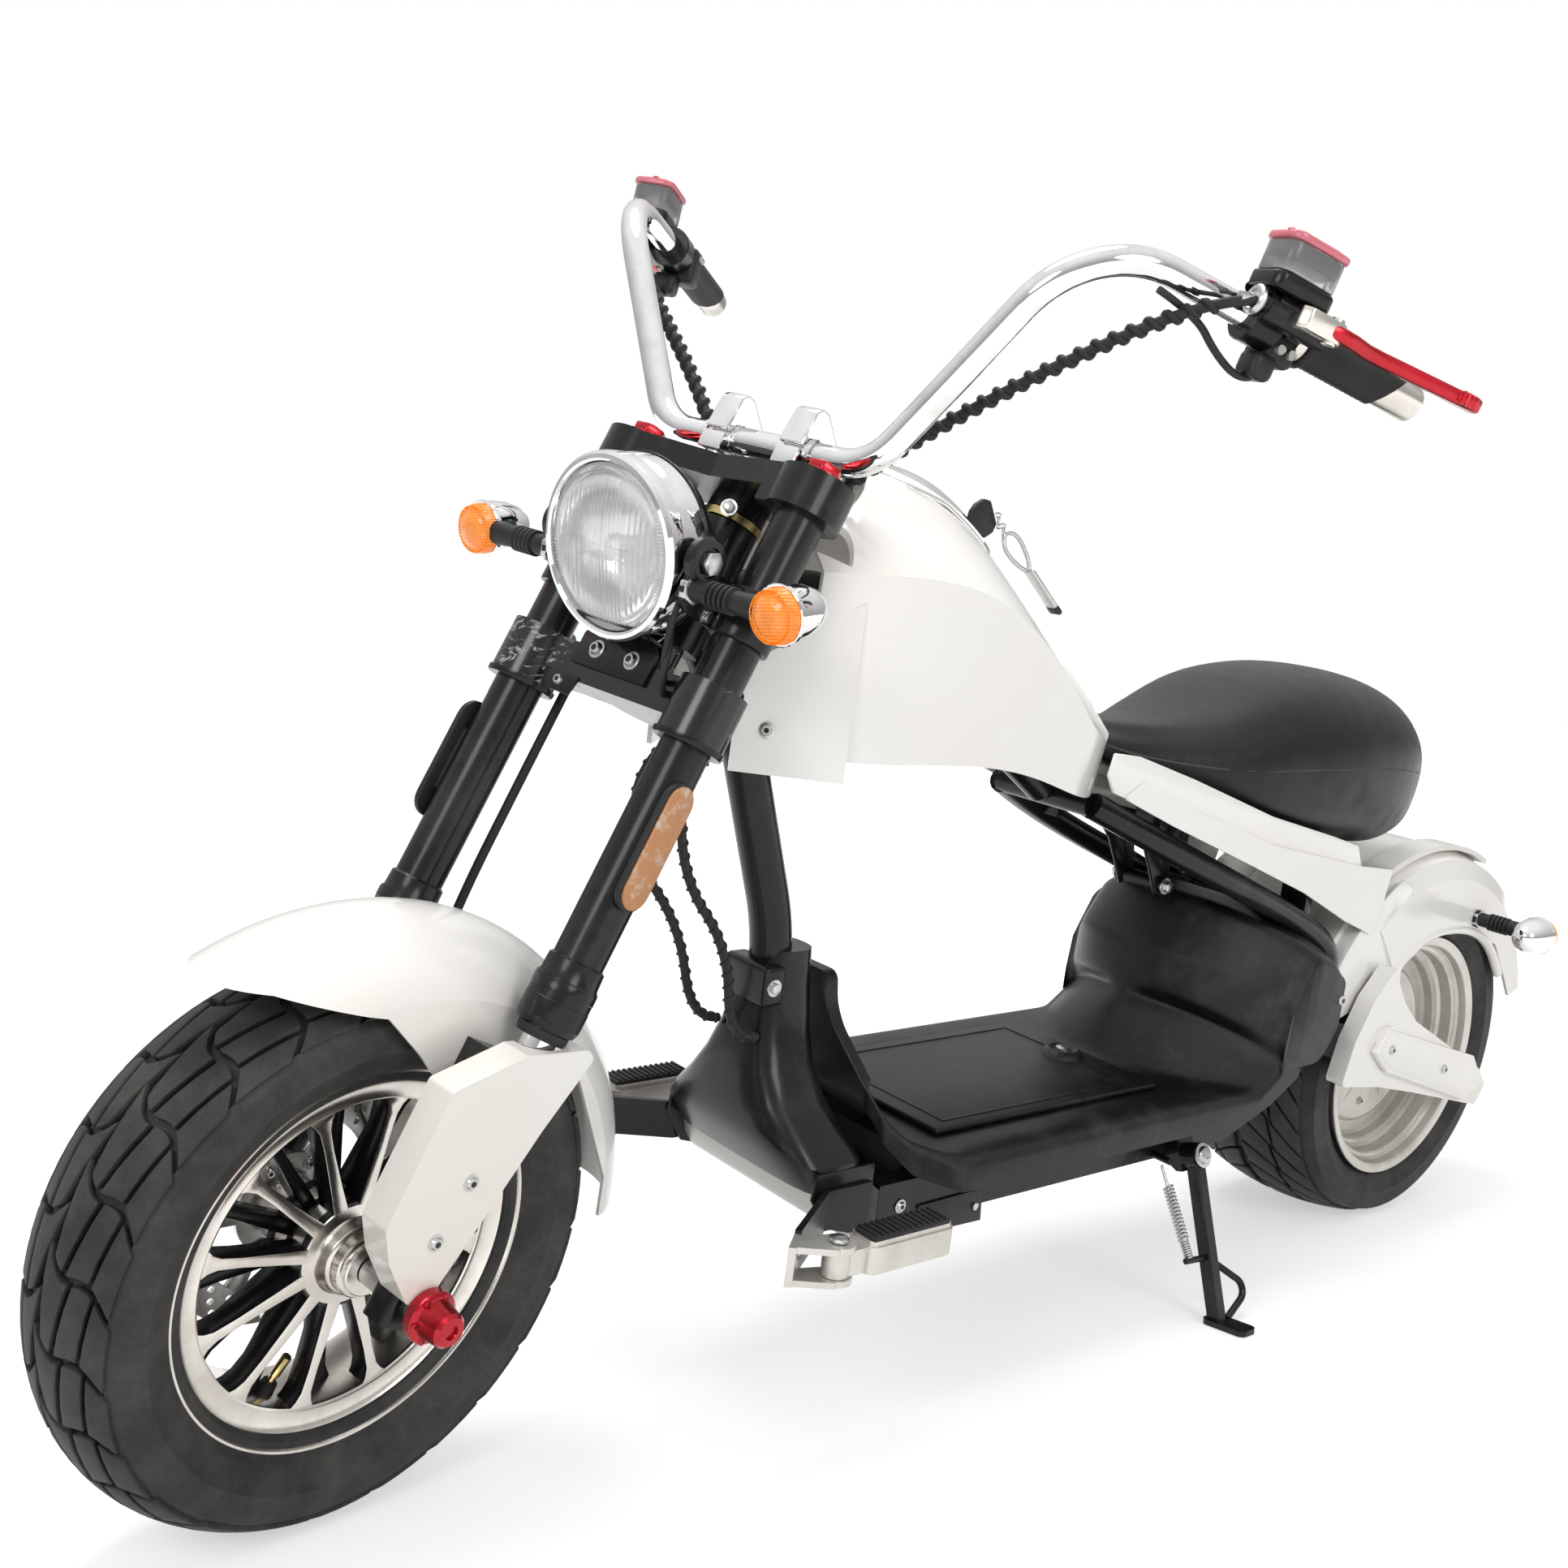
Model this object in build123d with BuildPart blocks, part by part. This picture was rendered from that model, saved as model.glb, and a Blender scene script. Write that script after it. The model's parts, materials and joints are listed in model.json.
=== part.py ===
from build123d import *
import os
from math import atan2, cos, degrees, radians, sin, sqrt

# An electric chopper scooter, parked on its side stand. Millimetres.
# Every piece is drawn on the upright vehicle: X forward, Y to the left, Z up,
# the rear axle over X 0 and the road at Z 0. The last section turns the
# steering, leans the whole vehicle on its stand and centres it.

# Driving dimensions: stance
wheelbase = 1514.0
rake = 25.5
fork_offset = 38.6
axle_lead = 5.6
lean = 8.0
steer_rest = 9.6
steer_lock = 22.0
clear = 0.3
wall = 4.0

# Driving dimensions: wheels
front_tyre_radius = 243.0
front_tyre_half = 65.0
front_crown_half = 58.0
front_crown_drop = 19.0
rear_tyre_radius = 238.0
rear_tyre_half = 110.0
rear_crown_half = 86.0
rear_crown_drop = 12.0
rim_lip_radius = 166.6
bead_radius = 155.0
front_rim_half = 47.0
rear_rim_half = 104.7
lip_thickness = 3.0
spoke_count = 12
spoke_phase = 12.0
hub_radius = 30.0
front_axle_radius = 8.0
rear_axle_radius = 9.0
front_disc_radius = 110.0
front_disc_y = -66.0
rear_disc_radius = 90.0
rear_disc_y = -88.0
disc_thickness = 4.0

# Driving dimensions: fork and bars
fork_half = 107.0
fork_tube_radius = 22.0
stanchion_radius = 15.0
seal_radius = 27.0
seal_low = 239.0
seal_high = 288.0
casting_high = 206.0
lower_clamp_low = 490.0
lower_clamp_high = 540.0
upper_clamp_low = 700.0
upper_clamp_high = 736.0
clamp_hollow = 14.0
head_tube_radius = 27.0
head_tube_low = 570.0
head_tube_high = 690.0
stem_radius = 14.0
clamp_boss_radius = 34.0
bar_radius = 12.7
bar_wall = 2.5
grip_radius = 17.0
grip_length = 122.0
riser_half = 45.0
lens_radius = 70.0
lamp_ring_radius = 79.0
lamp_depth = 78.0
lamp_up = 608.0
lamp_ahead = 117.0
lamp_dip = 8.9

# Driving dimensions: frame and body
tube_radius = 21.0
rail_radius = 15.0
deck_z = 272.0
deck_half = 168.0
deck_low = 236.0
tray_low = 190.0
tray_half = 118.0
rail_width = 24.0
lid_half = 112.0
lid_front = 915.0
lid_rear = 560.0
lid_thickness = 8.0
arm_inner = 120.0
arm_thickness = 9.0
pivot_x = 330.0
pivot_z = 322.0
pivot_radius = 13.0
rear_fender_radius = 285.0
rear_fender_half = 125.0
front_fender_radius = 288.0
front_fender_half = 78.0
tank_half = 150.0
seat_half = 150.0
stand_pivot = (521.0, 150.0, 201.0)
stand_foot = (526.0, 219.0)
stand_slant = 22.6
stand_bar = 16.0
peg_pivot = (1120.0, 202.0)
peg_length = 134.0
peg_low = 212.0
peg_high = 236.0
hose_radius = 6.0

# Frame of reference of the steering: X ahead, Z up along the steering axis
ahead = Vector(cos(radians(rake)), 0, sin(radians(rake)))
upward = Vector(-sin(radians(rake)), 0, cos(radians(rake)))
front_axle = Vector(wheelbase, 0, front_tyre_radius)
steering_foot = front_axle - ahead * (fork_offset + axle_lead)
fork_plane = Plane(origin=steering_foot, x_dir=ahead, z_dir=upward)
steering_axis = Axis(steering_foot, upward)
rear_axle = Vector(0, 0, rear_tyre_radius)

# Parking: the steering turned, the vehicle leant, then pitched until both tyres
# rest on the road. A leant tyre stands on its rounded crown.
crown_front = (front_crown_half**2 + front_crown_drop**2) / (2 * front_crown_drop)
crown_rear = (rear_crown_half**2 + rear_crown_drop**2) / (2 * rear_crown_drop)
leant = Rot(-lean, 0, 0)
front_spin = (leant * Pos(Vector(0, 1, 0).rotate(Axis((0, 0, 0), upward), steer_rest))).position
rear_spin = (leant * Pos(0, 1, 0)).position
front_leant = (leant * Pos(steering_foot + (front_axle - steering_foot).rotate(
    Axis((0, 0, 0), upward), steer_rest))).position
rear_leant = (leant * Pos(rear_axle)).position
front_rest = (front_tyre_radius - crown_front) * sqrt(1 - front_spin.Z**2) + crown_front
rear_rest = (rear_tyre_radius - crown_rear) * sqrt(1 - rear_spin.Z**2) + crown_rear
pitch = degrees(((front_rest - rear_rest) - (front_leant.Z - rear_leant.Z)) / (front_leant.X - rear_leant.X))
pitched = Rot(0, -pitch, 0) * leant
parked = Pos(0, 0, rear_rest - (pitched * Pos(rear_axle)).position.Z) * pitched
road = Plane(parked.inverse())


def at_side(y):
    """Drawing plane at a given Y: sketch X is vehicle X, sketch Y is Z."""
    return Plane.XZ.offset(-y)


def fork_point(x, y, z):
    """A place given ahead of, beside and up the steering axis."""
    return steering_foot + ahead * x + Vector(0, y, 0) + upward * z


def tube(points, radii, radius, inner=0, mode=Mode.ADD):
    """A round bar or tube along straight runs joined by arcs."""
    with BuildLine() as run:
        FilletPolyline(*points, radius=radii)
    route = run.wires()[0]
    with BuildSketch(Plane(route @ 0, z_dir=route % 0)) as ring:
        Circle(radius)
        if inner:
            Circle(inner, mode=Mode.SUBTRACT)
    return sweep(ring.sketch, path=route, mode=mode)


def rod(start, end, radius, inner=0):
    """A straight round bar between two points."""
    start = Vector(start)
    run = Vector(end) - start
    with BuildSketch(Plane(start, z_dir=run)) as ring:
        Circle(radius)
        if inner:
            Circle(inner, mode=Mode.SUBTRACT)
    return extrude(ring.sketch, amount=run.length)


def outline(points, y, depth, corner=0, mode=Mode.ADD):
    """A plate with a polygon outline seen from the side, from y inwards."""
    with BuildSketch(at_side(y)) as face:
        with BuildLine():
            Polyline(*points, close=True)
        make_face()
        if corner:
            fillet(face.vertices(), corner)
    return extrude(face.sketch, amount=depth, mode=mode)


pieces = {}
steered = []


def keep(name, builder, turns=False):
    pieces[name] = builder
    if turns:
        steered.append(name)


# Front wheel: a tyre, and a cast rim with slim spokes in two rows
seat_gap = 0.2
front_rim_bead = front_rim_half - lip_thickness
with BuildPart() as front_tyre:
    with BuildSketch() as section:
        with BuildLine():
            low = bead_radius + seat_gap
            side = front_rim_bead - seat_gap
            crown = front_tyre_radius - front_crown_drop
            inner_edge = Line((low, -side), (low, side))
            Line(inner_edge @ 1, (rim_lip_radius, side))
            wall_left = ThreePointArc(
                (rim_lip_radius, side),
                (200, front_tyre_half),
                (crown, front_crown_half),
            )
            top = ThreePointArc(
                wall_left @ 1, (front_tyre_radius, 0), (crown, -front_crown_half)
            )
            wall_right = ThreePointArc(
                top @ 1, (200, -front_tyre_half), (rim_lip_radius, -side)
            )
            Line(wall_right @ 1, (low, -side))
        make_face()
    revolve(axis=Axis.Y)
front_tyre.part = Pos(front_axle) * front_tyre.part
keep("front_tyre", front_tyre, turns=True)


def rim_section(half, well_radius, well_half, gauge):
    """Half of a rim's section, as radius and distance from its middle."""
    bead = half - lip_thickness
    return [
        (well_radius, 0),
        (well_radius, well_half),
        (bead_radius, well_half + 14),
        (bead_radius, bead),
        (rim_lip_radius, bead),
        (rim_lip_radius, half),
        (bead_radius - 2, half),
        (bead_radius - gauge, half - 8),
        (bead_radius - gauge, well_half + 15),
        (well_radius - gauge, well_half + 2),
        (well_radius - gauge, 0),
    ]


spoke_face = 33.0
spoke_root_width = 15.0
spoke_tip_width = 9.0
spoke_depth = 22.0
front_well_radius = 138.0
front_hub_left = 62.0
front_hub_right = -58.0
with BuildPart() as front_rim:
    with BuildSketch():
        with BuildLine():
            Polyline(*rim_section(front_rim_half, front_well_radius, 16, 6), close=True)
        make_face()
        mirror(about=Plane.XZ)
    revolve(axis=Axis.Y)
    with BuildSketch():
        with BuildLine():
            Polyline(
                (front_axle_radius + 0.05, front_hub_right),
                (22, front_hub_right),
                (26, -40),
                (hub_radius, -26),
                (hub_radius + 10, -12),
                (hub_radius + 14, spoke_face - spoke_depth),
                (hub_radius + 10, spoke_face - 2),
                (hub_radius, spoke_face + 4),
                (hub_radius - 3, front_hub_left - 4),
                (hub_radius - 6, front_hub_left),
                (front_axle_radius + 0.05, front_hub_left),
                close=True,
            )
        make_face()
    revolve(axis=Axis.Y)
    rows = [(spoke_face, spoke_phase), (spoke_face - spoke_depth - 6, spoke_phase + 15)]
    for row_face, row_phase in rows:
        with BuildSketch(at_side(row_face)):
            with PolarLocations(0, spoke_count, start_angle=row_phase):
                with Locations((hub_radius + 2, 0)):
                    Trapezoid(
                        spoke_root_width,
                        front_well_radius - hub_radius - 4,
                        90 - degrees(atan2(
                            (spoke_root_width - spoke_tip_width) / 2,
                            front_well_radius - hub_radius - 4,
                        )),
                        rotation=-90,
                        align=(Align.CENTER, Align.MIN),
                    )
        extrude(amount=spoke_depth)
front_rim.part = Pos(front_axle) * front_rim.part
keep("front_rim", front_rim, turns=True)

disc_slots = 9
with BuildPart() as front_disc:
    with BuildSketch(at_side(front_disc_y)):
        Circle(front_disc_radius)
        Circle(front_disc_radius - 32, mode=Mode.SUBTRACT)
        with PolarLocations(front_disc_radius - 14, 18):
            Circle(4, mode=Mode.SUBTRACT)
    extrude(amount=-disc_thickness)
    with BuildSketch(at_side(front_disc_y)):
        Circle(40)
        Circle(18, mode=Mode.SUBTRACT)
        with PolarLocations(57, 6):
            Rectangle(50, 14)
    extrude(amount=-disc_thickness)
    with BuildSketch(at_side(front_disc_y + disc_thickness)):
        Circle(24)
        Circle(12, mode=Mode.SUBTRACT)
    extrude(amount=-(front_hub_right - front_disc_y - disc_thickness))
front_disc.part = Pos(front_axle) * front_disc.part
keep("front_disc", front_disc, turns=True)

# Rear wheel: a wide tyre on a dished rim with the hub motor in its middle
with BuildPart() as rear_tyre:
    with BuildSketch():
        with BuildLine():
            low = bead_radius + seat_gap
            side = rear_rim_half - lip_thickness - seat_gap
            crown = rear_tyre_radius - rear_crown_drop
            Line((low, -side), (low, side))
            Line((low, side), (rim_lip_radius, side))
            wall_left = ThreePointArc(
                (rim_lip_radius, side), (198, rear_tyre_half), (crown, rear_crown_half)
            )
            top = ThreePointArc(
                wall_left @ 1, (rear_tyre_radius, 0), (crown, -rear_crown_half)
            )
            wall_right = ThreePointArc(
                top @ 1, (198, -rear_tyre_half), (rim_lip_radius, -side)
            )
            Line(wall_right @ 1, (low, -side))
        make_face()
    revolve(axis=Axis.Y)
rear_tyre.part = Pos(rear_axle) * rear_tyre.part
keep("rear_tyre", rear_tyre)

motor_radius = 112.0
motor_half = 52.0
motor_step = 8.0
star_points = 6
with BuildPart() as rear_rim:
    with BuildSketch():
        with BuildLine():
            Polyline(*rim_section(rear_rim_half, 132, 58, 6), close=True)
        make_face()
        mirror(about=Plane.XZ)
    revolve(axis=Axis.Y)
    with BuildSketch():
        with BuildLine():
            Polyline(
                (rear_axle_radius + 0.05, 0),
                (rear_axle_radius + 0.05, -rear_disc_y - disc_thickness - clear),
                (24, -rear_disc_y - disc_thickness - clear),
                (30, motor_half + 8),
                (motor_radius - 20, motor_half),
                (motor_radius - 4, motor_half - motor_step),
                (motor_radius - 4, 20),
                (128, 16),
                (128, 0),
                close=True,
            )
        make_face()
        mirror(about=Plane.XZ)
    revolve(axis=Axis.Y)
    for side in (1, -1):
        with BuildSketch(Plane.XZ.offset(-side * (motor_half + 4))):
            with PolarLocations(0, star_points, start_angle=30):
                with BuildLine():
                    Polyline((24, 0), (46, 17), (motor_radius - 16, 0), (46, -17), close=True)
                make_face()
        extrude(amount=-side * 9, taper=32)
rear_rim.part = Pos(rear_axle) * rear_rim.part
keep("rear_rim", rear_rim)

with BuildPart() as rear_disc:
    with BuildSketch(at_side(rear_disc_y)):
        Circle(rear_disc_radius)
        Circle(rear_disc_radius - 30, mode=Mode.SUBTRACT)
        with PolarLocations(rear_disc_radius - 14, 16):
            Circle(4, mode=Mode.SUBTRACT)
    extrude(amount=-disc_thickness)
    with BuildSketch(at_side(rear_disc_y)):
        Circle(42)
        with PolarLocations(52, 6):
            Rectangle(30, 14)
        Circle(rear_axle_radius + 3, mode=Mode.SUBTRACT)
    extrude(amount=-disc_thickness)
rear_disc.part = Pos(rear_axle) * rear_disc.part
keep("rear_disc", rear_disc)

# Fork: castings and stanchions, outer tubes with seals, and the two clamps
fork_places = [(fork_offset, fork_half), (fork_offset, -fork_half)]
boss_gap = front_fender_half + clear
with BuildPart() as fork_castings:
    with BuildSketch(fork_plane.offset(-22)):
        with Locations((fork_offset + axle_lead, fork_half), (fork_offset + axle_lead, -fork_half)):
            RectangleRounded(46, 30, 8)
    extrude(amount=60)
    with BuildSketch(fork_plane.offset(38)):
        with Locations(*fork_places):
            Circle(stanchion_radius + 6)
            Circle(stanchion_radius + clear / 3, mode=Mode.SUBTRACT)
    extrude(amount=casting_high - 38)
    with BuildSketch(fork_plane.offset(172)):
        with Locations((fork_offset + 22, boss_gap + 12), (fork_offset + 22, -boss_gap - 12)):
            Rectangle(44, 24)
    extrude(amount=30)
    with BuildSketch(fork_plane.offset(38)):
        with Locations(*fork_places):
            Circle(stanchion_radius + clear / 3)
    extrude(amount=casting_high, mode=Mode.SUBTRACT)
    with BuildSketch(at_side(fork_half + 40)):
        with Locations((front_axle.X, front_axle.Z)):
            Circle(front_axle_radius + 0.1)
    extrude(amount=2 * fork_half + 80, mode=Mode.SUBTRACT)
keep("fork_castings", fork_castings, turns=True)

with BuildPart() as stanchions:
    with BuildSketch(fork_plane.offset(38 + clear)):
        with Locations(*fork_places):
            Circle(stanchion_radius)
    extrude(amount=seal_high - 38)
keep("stanchions", stanchions, turns=True)

with BuildPart() as fork_tubes:
    with BuildSketch(fork_plane.offset(seal_high)):
        with Locations(*fork_places):
            Circle(fork_tube_radius)
    extrude(amount=upper_clamp_high - seal_high)
    for low, high, radius in [(seal_low, seal_high - 14, seal_radius), (seal_high - 14, seal_high, 24.5)]:
        with BuildSketch(fork_plane.offset(low)):
            with Locations(*fork_places):
                Circle(radius)
        extrude(amount=high - low)
    with BuildSketch(fork_plane.offset(seal_low)):
        with Locations(*fork_places):
            Circle(stanchion_radius + clear / 3)
    extrude(amount=seal_high - seal_low + 3, mode=Mode.SUBTRACT)
keep("fork_tubes", fork_tubes, turns=True)

with BuildPart() as fork_caps:
    with BuildSketch(fork_plane.offset(upper_clamp_high)):
        with Locations(*fork_places):
            Circle(fork_tube_radius - 2)
    extrude(amount=5)
    with BuildSketch(fork_plane.offset(upper_clamp_high + 5)):
        with Locations(*fork_places):
            RegularPolygon(15, 6)
    extrude(amount=9)
keep("fork_caps", fork_caps, turns=True)

with BuildPart() as upper_clamp:
    with BuildSketch(fork_plane.offset(upper_clamp_low)) as plate:
        with BuildLine():
            Polyline(
                (-24, -46), (fork_offset - 30, -fork_half - 4), (fork_offset + 30, -fork_half - 4),
                (52, 0), (fork_offset + 30, fork_half + 4), (fork_offset - 30, fork_half + 4),
                (-24, 46), close=True,
            )
        make_face()
        fillet(plate.vertices(), 10)
        with Locations(*fork_places):
            Circle(clamp_boss_radius)
        with Locations(*fork_places):
            Circle(fork_tube_radius + clear / 3, mode=Mode.SUBTRACT)
    extrude(amount=upper_clamp_high - upper_clamp_low)
    with BuildSketch(fork_plane.offset(upper_clamp_low)):
        Rectangle(180, 2 * (fork_half - clamp_boss_radius - 2))
        Circle(head_tube_radius, mode=Mode.SUBTRACT)
    extrude(amount=clamp_hollow, mode=Mode.SUBTRACT)
keep("upper_clamp", upper_clamp, turns=True)

# Room for the clamp in the tank at the ends of the steering
clamp_play = 12.0
boss_reach = sqrt(fork_offset**2 + fork_half**2)
boss_swing = degrees(atan2(fork_half, fork_offset)) + steer_lock

clamp_web = 34.0
with BuildPart() as lower_clamp:
    with BuildSketch(fork_plane.offset(lower_clamp_low)):
        with Locations(*fork_places):
            Circle(clamp_boss_radius - 4)
    extrude(amount=lower_clamp_high - lower_clamp_low)
    with BuildSketch(fork_plane.offset(lower_clamp_low + 14)):
        with Locations((fork_offset - 14, 0)):
            RectangleRounded(52, 2 * fork_half, 8)
        Circle(head_tube_radius + 4)
    extrude(amount=clamp_web)
    with BuildSketch(fork_plane.offset(lower_clamp_low + 14)):
        Circle(stem_radius)
    extrude(amount=upper_clamp_low - lower_clamp_low - 14)
    with BuildSketch(fork_plane.offset(lower_clamp_low)):
        with Locations(*fork_places):
            Circle(fork_tube_radius + clear / 3)
    extrude(amount=lower_clamp_high - lower_clamp_low, mode=Mode.SUBTRACT)
keep("lower_clamp", lower_clamp, turns=True)

plate_front = fork_offset + 12 + clear
with BuildPart() as clamp_bracket:
    with BuildSketch(Plane(fork_point(plate_front, 0, lower_clamp_low + 31), x_dir=(0, 1, 0), z_dir=ahead)):
        Rectangle(84, 40)
    extrude(amount=3)
    with BuildSketch(Plane(fork_point(plate_front, 0, lower_clamp_low + 48), x_dir=(0, 1, 0), z_dir=ahead)):
        Rectangle(60, 4)
    extrude(amount=14)
keep("clamp_bracket", clamp_bracket, turns=True)

# Front axle with its two end knobs
cover_inner = fork_half - 4
cover_outer = fork_half + 27
knob_inner = cover_outer + clear
with BuildPart() as front_axle_bar:
    with BuildSketch(at_side(knob_inner + 6)):
        with Locations((front_axle.X, front_axle.Z)):
            Circle(front_axle_radius)
    extrude(amount=2 * (knob_inner + 6))
    for side in (1, -1):
        hub_end = front_hub_left if side > 0 else -front_disc_y
        collars = [(hub_end + 4 * clear, fork_half - 15 - clear), (fork_half + 15 + clear, knob_inner - clear)]
        for near, far in collars:
            with BuildSketch(at_side(side * near)):
                with Locations((front_axle.X, front_axle.Z)):
                    Circle(12)
            extrude(amount=-side * (far - near))
keep("front_axle_bar", front_axle_bar, turns=True)

knob_radius = 20.0
with BuildPart() as axle_knobs:
    with BuildSketch(at_side(knob_inner)) as disc:
        with Locations((front_axle.X, front_axle.Z)):
            Circle(knob_radius)
            Circle(front_axle_radius + 0.1, mode=Mode.SUBTRACT)
    extrude(amount=-20)
    with BuildSketch(at_side(knob_inner + 20)):
        with Locations((front_axle.X, front_axle.Z)):
            Circle(knob_radius - 2)
    extrude(amount=-14, taper=24)
    mirror(about=Plane.XZ)
keep("axle_knobs", axle_knobs, turns=True)

# Front fender: a channel section swung about the axle, cut by its side line
with BuildPart() as front_fender:
    with BuildSketch():
        with BuildLine():
            knee = front_fender_radius - 53
            left = Line((165, front_fender_half), (knee, front_fender_half))
            ThreePointArc(left @ 1, (front_fender_radius, 0), (knee, -front_fender_half))
            Line((knee, -front_fender_half), (165, -front_fender_half))
            Line((165, -front_fender_half), (165, wall - front_fender_half))
            inner = Line((165, wall - front_fender_half), (knee, wall - front_fender_half))
            ThreePointArc(
                inner @ 1, (front_fender_radius - wall, 0), (knee, front_fender_half - wall)
            )
            Line((knee, front_fender_half - wall), (165, front_fender_half - wall))
            Line((165, front_fender_half - wall), (165, front_fender_half))
        make_face()
    revolve(axis=Axis.Y, revolution_arc=122)
front_fender.part = Pos(front_axle) * Rot(0, -182, 0) * front_fender.part
fender_skirt = [
    (front_axle.X + 400, front_axle.Z - 200), (front_axle.X + 400, front_axle.Z + 262),
    (front_axle.X + 110, front_axle.Z + 248), (front_axle.X + 26, front_axle.Z + 226),
    (front_axle.X - 8, front_axle.Z + 190), (front_axle.X - 36, front_axle.Z + 156),
    (front_axle.X - 86, front_axle.Z + 176), (front_axle.X - 128, front_axle.Z + 186),
    (front_axle.X - 180, front_axle.Z + 140), (front_axle.X - 232, front_axle.Z + 30),
    (front_axle.X - 236, front_axle.Z - 200),
]
with BuildPart() as fender_cut:
    outline(fender_skirt, 200, 400)
with BuildPart() as fender_plan:
    with BuildSketch(Plane.XY.offset(0)):
        with BuildLine():
            Polyline(
                (1175, -60), (1260, -72), (1330, -90), (1560, -90), (1640, -72), (1672, -40),
                (1680, 0), (1672, 40), (1640, 72), (1560, 90), (1330, 90), (1260, 72), (1175, 60),
                close=True,
            )
        make_face()
    extrude(amount=600)
front_fender.part = (front_fender.part - fender_cut.part) & fender_plan.part
keep("front_fender", front_fender, turns=True)

# Leg covers: a moulded shield on the outer side of each fork casting
cover_side = [
    (1382, 437), (1446, 444), (1515, 428), (1562, 326), (1555, 296), (1534, 256), (1514, 250),
    (1462, 318), (1420, 374), (1374, 428),
]
with BuildPart() as leg_covers:
    outline(cover_side, cover_outer, cover_outer - cover_inner, corner=6)
    with BuildSketch(at_side(cover_outer - wall)) as pocket:
        with BuildLine():
            Polyline(*cover_side, close=True)
        make_face()
        offset(amount=-wall, kind=Kind.INTERSECTION)
    extrude(amount=cover_outer, mode=Mode.SUBTRACT)
    with BuildSketch(fork_plane.offset(-60)):
        with Locations((fork_offset, fork_half)):
            Circle(stanchion_radius + 6 + clear)
            Rectangle(2 * (stanchion_radius + 6 + clear), 60, align=(Align.CENTER, Align.MAX))
    extrude(amount=300, mode=Mode.SUBTRACT)
    with BuildSketch(fork_plane.offset(-60)):
        with Locations((fork_offset + axle_lead, fork_half)):
            Rectangle(46 + 2 * clear, 30 + 2 * clear)
    extrude(amount=98 + clear, mode=Mode.SUBTRACT)
    with BuildSketch(at_side(cover_outer + 1)):
        with Locations((front_axle.X, front_axle.Z)):
            Circle(12 + clear)
    extrude(amount=40, mode=Mode.SUBTRACT)
    mirror(about=Plane.XZ)
keep("leg_covers", leg_covers, turns=True)

# Headlamp: bowl, bright ring and lens, held by a bracket between the tubes
lamp_facing = Vector(cos(radians(lamp_dip)), 0, -sin(radians(lamp_dip)))
lamp_centre = fork_point(lamp_ahead, 0, lamp_up)
lamp_plane = Plane(lamp_centre, x_dir=(0, 1, 0), z_dir=lamp_facing)
bowl_waist = lamp_ring_radius * 0.62
with BuildPart() as headlamp_shell:
    with BuildSketch(Plane.XZ):
        with BuildLine():
            Polyline(
                (lens_radius + clear, 0), (lamp_ring_radius - 3, 4), (lamp_ring_radius, -4),
                (lamp_ring_radius, -14), (lamp_ring_radius - 4, -20), (lamp_ring_radius - 4, -36),
            )
            ThreePointArc((lamp_ring_radius - 4, -36), (bowl_waist, -66), (10, -lamp_depth))
            Polyline((10, -lamp_depth), (0, -lamp_depth), (0, 3 - lamp_depth), (10, 3 - lamp_depth))
            ThreePointArc((10, 3 - lamp_depth), (bowl_waist - 3, -63), (lamp_ring_radius - 7, -36))
            Polyline((lamp_ring_radius - 7, -36), (lens_radius + clear, -20), (lens_radius + clear, 0))
        make_face()
    revolve(axis=Axis.Z)
headlamp_shell.part = lamp_plane.location * headlamp_shell.part
keep("headlamp_shell", headlamp_shell, turns=True)

with BuildPart() as headlamp_lens:
    with BuildSketch(Plane.XZ):
        with BuildLine():
            Polyline((6, 10), (0, 10), (0, -14), (lens_radius, -14), (lens_radius, 1))
            ThreePointArc((lens_radius, 1), (lens_radius * 0.52, 8), (6, 10))
        make_face()
    revolve(axis=Axis.Z)
headlamp_lens.part = lamp_plane.location * headlamp_lens.part
keep("headlamp_lens", headlamp_lens, turns=True)

signal_up = 600.0
signal_ahead = 94.0
ear_y = lamp_ring_radius + 0.6
with BuildPart() as headlamp_bracket:
    for side in (1, -1):
        with BuildSketch(Plane(fork_point(fork_offset, side * fork_half, signal_up - 20), x_dir=ahead, z_dir=upward)):
            Circle(fork_tube_radius + 4)
            Circle(fork_tube_radius + clear / 3, mode=Mode.SUBTRACT)
        extrude(amount=44)
        with BuildSketch(at_side(side * (ear_y + 4))):
            with BuildLine():
                Polyline(
                    *[(fork_point(x, 0, z).X, fork_point(x, 0, z).Z) for x, z in
                      [(fork_offset, signal_up - 16), (signal_ahead + 12, signal_up - 14),
                       (signal_ahead + 12, signal_up + 14), (fork_offset + 30, signal_up + 20),
                       (fork_offset, signal_up + 20)]],
                    close=True,
                )
            make_face()
        extrude(amount=side * 4)
keep("headlamp_bracket", headlamp_bracket, turns=True)

# Turn signals: a ribbed stem and a bullet housing; the same pair front and rear
signal_radius = 24.0
signal_tail = 46.0
signal_lens = 20.0
with BuildPart() as signal_housing:
    with BuildSketch(Plane.XZ):
        with BuildLine():
            Polyline((4, -signal_tail), (0, -signal_tail), (0, signal_lens), (4, signal_lens))
            ThreePointArc(
                (4, signal_lens), (signal_radius * 0.72, signal_lens * 0.72), (signal_radius, 0)
            )
            ThreePointArc(
                (signal_radius, 0), (signal_radius * 0.78, -signal_tail * 0.62), (4, -signal_tail)
            )
        make_face()
    revolve(axis=Axis.Z)


def signal(stem_start, housing_centre, facing):
    """One signal: its stem ends in the side of its housing."""
    add(Plane(housing_centre, z_dir=facing).location * signal_housing.part)
    return rod(stem_start, housing_centre, 8)


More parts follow.
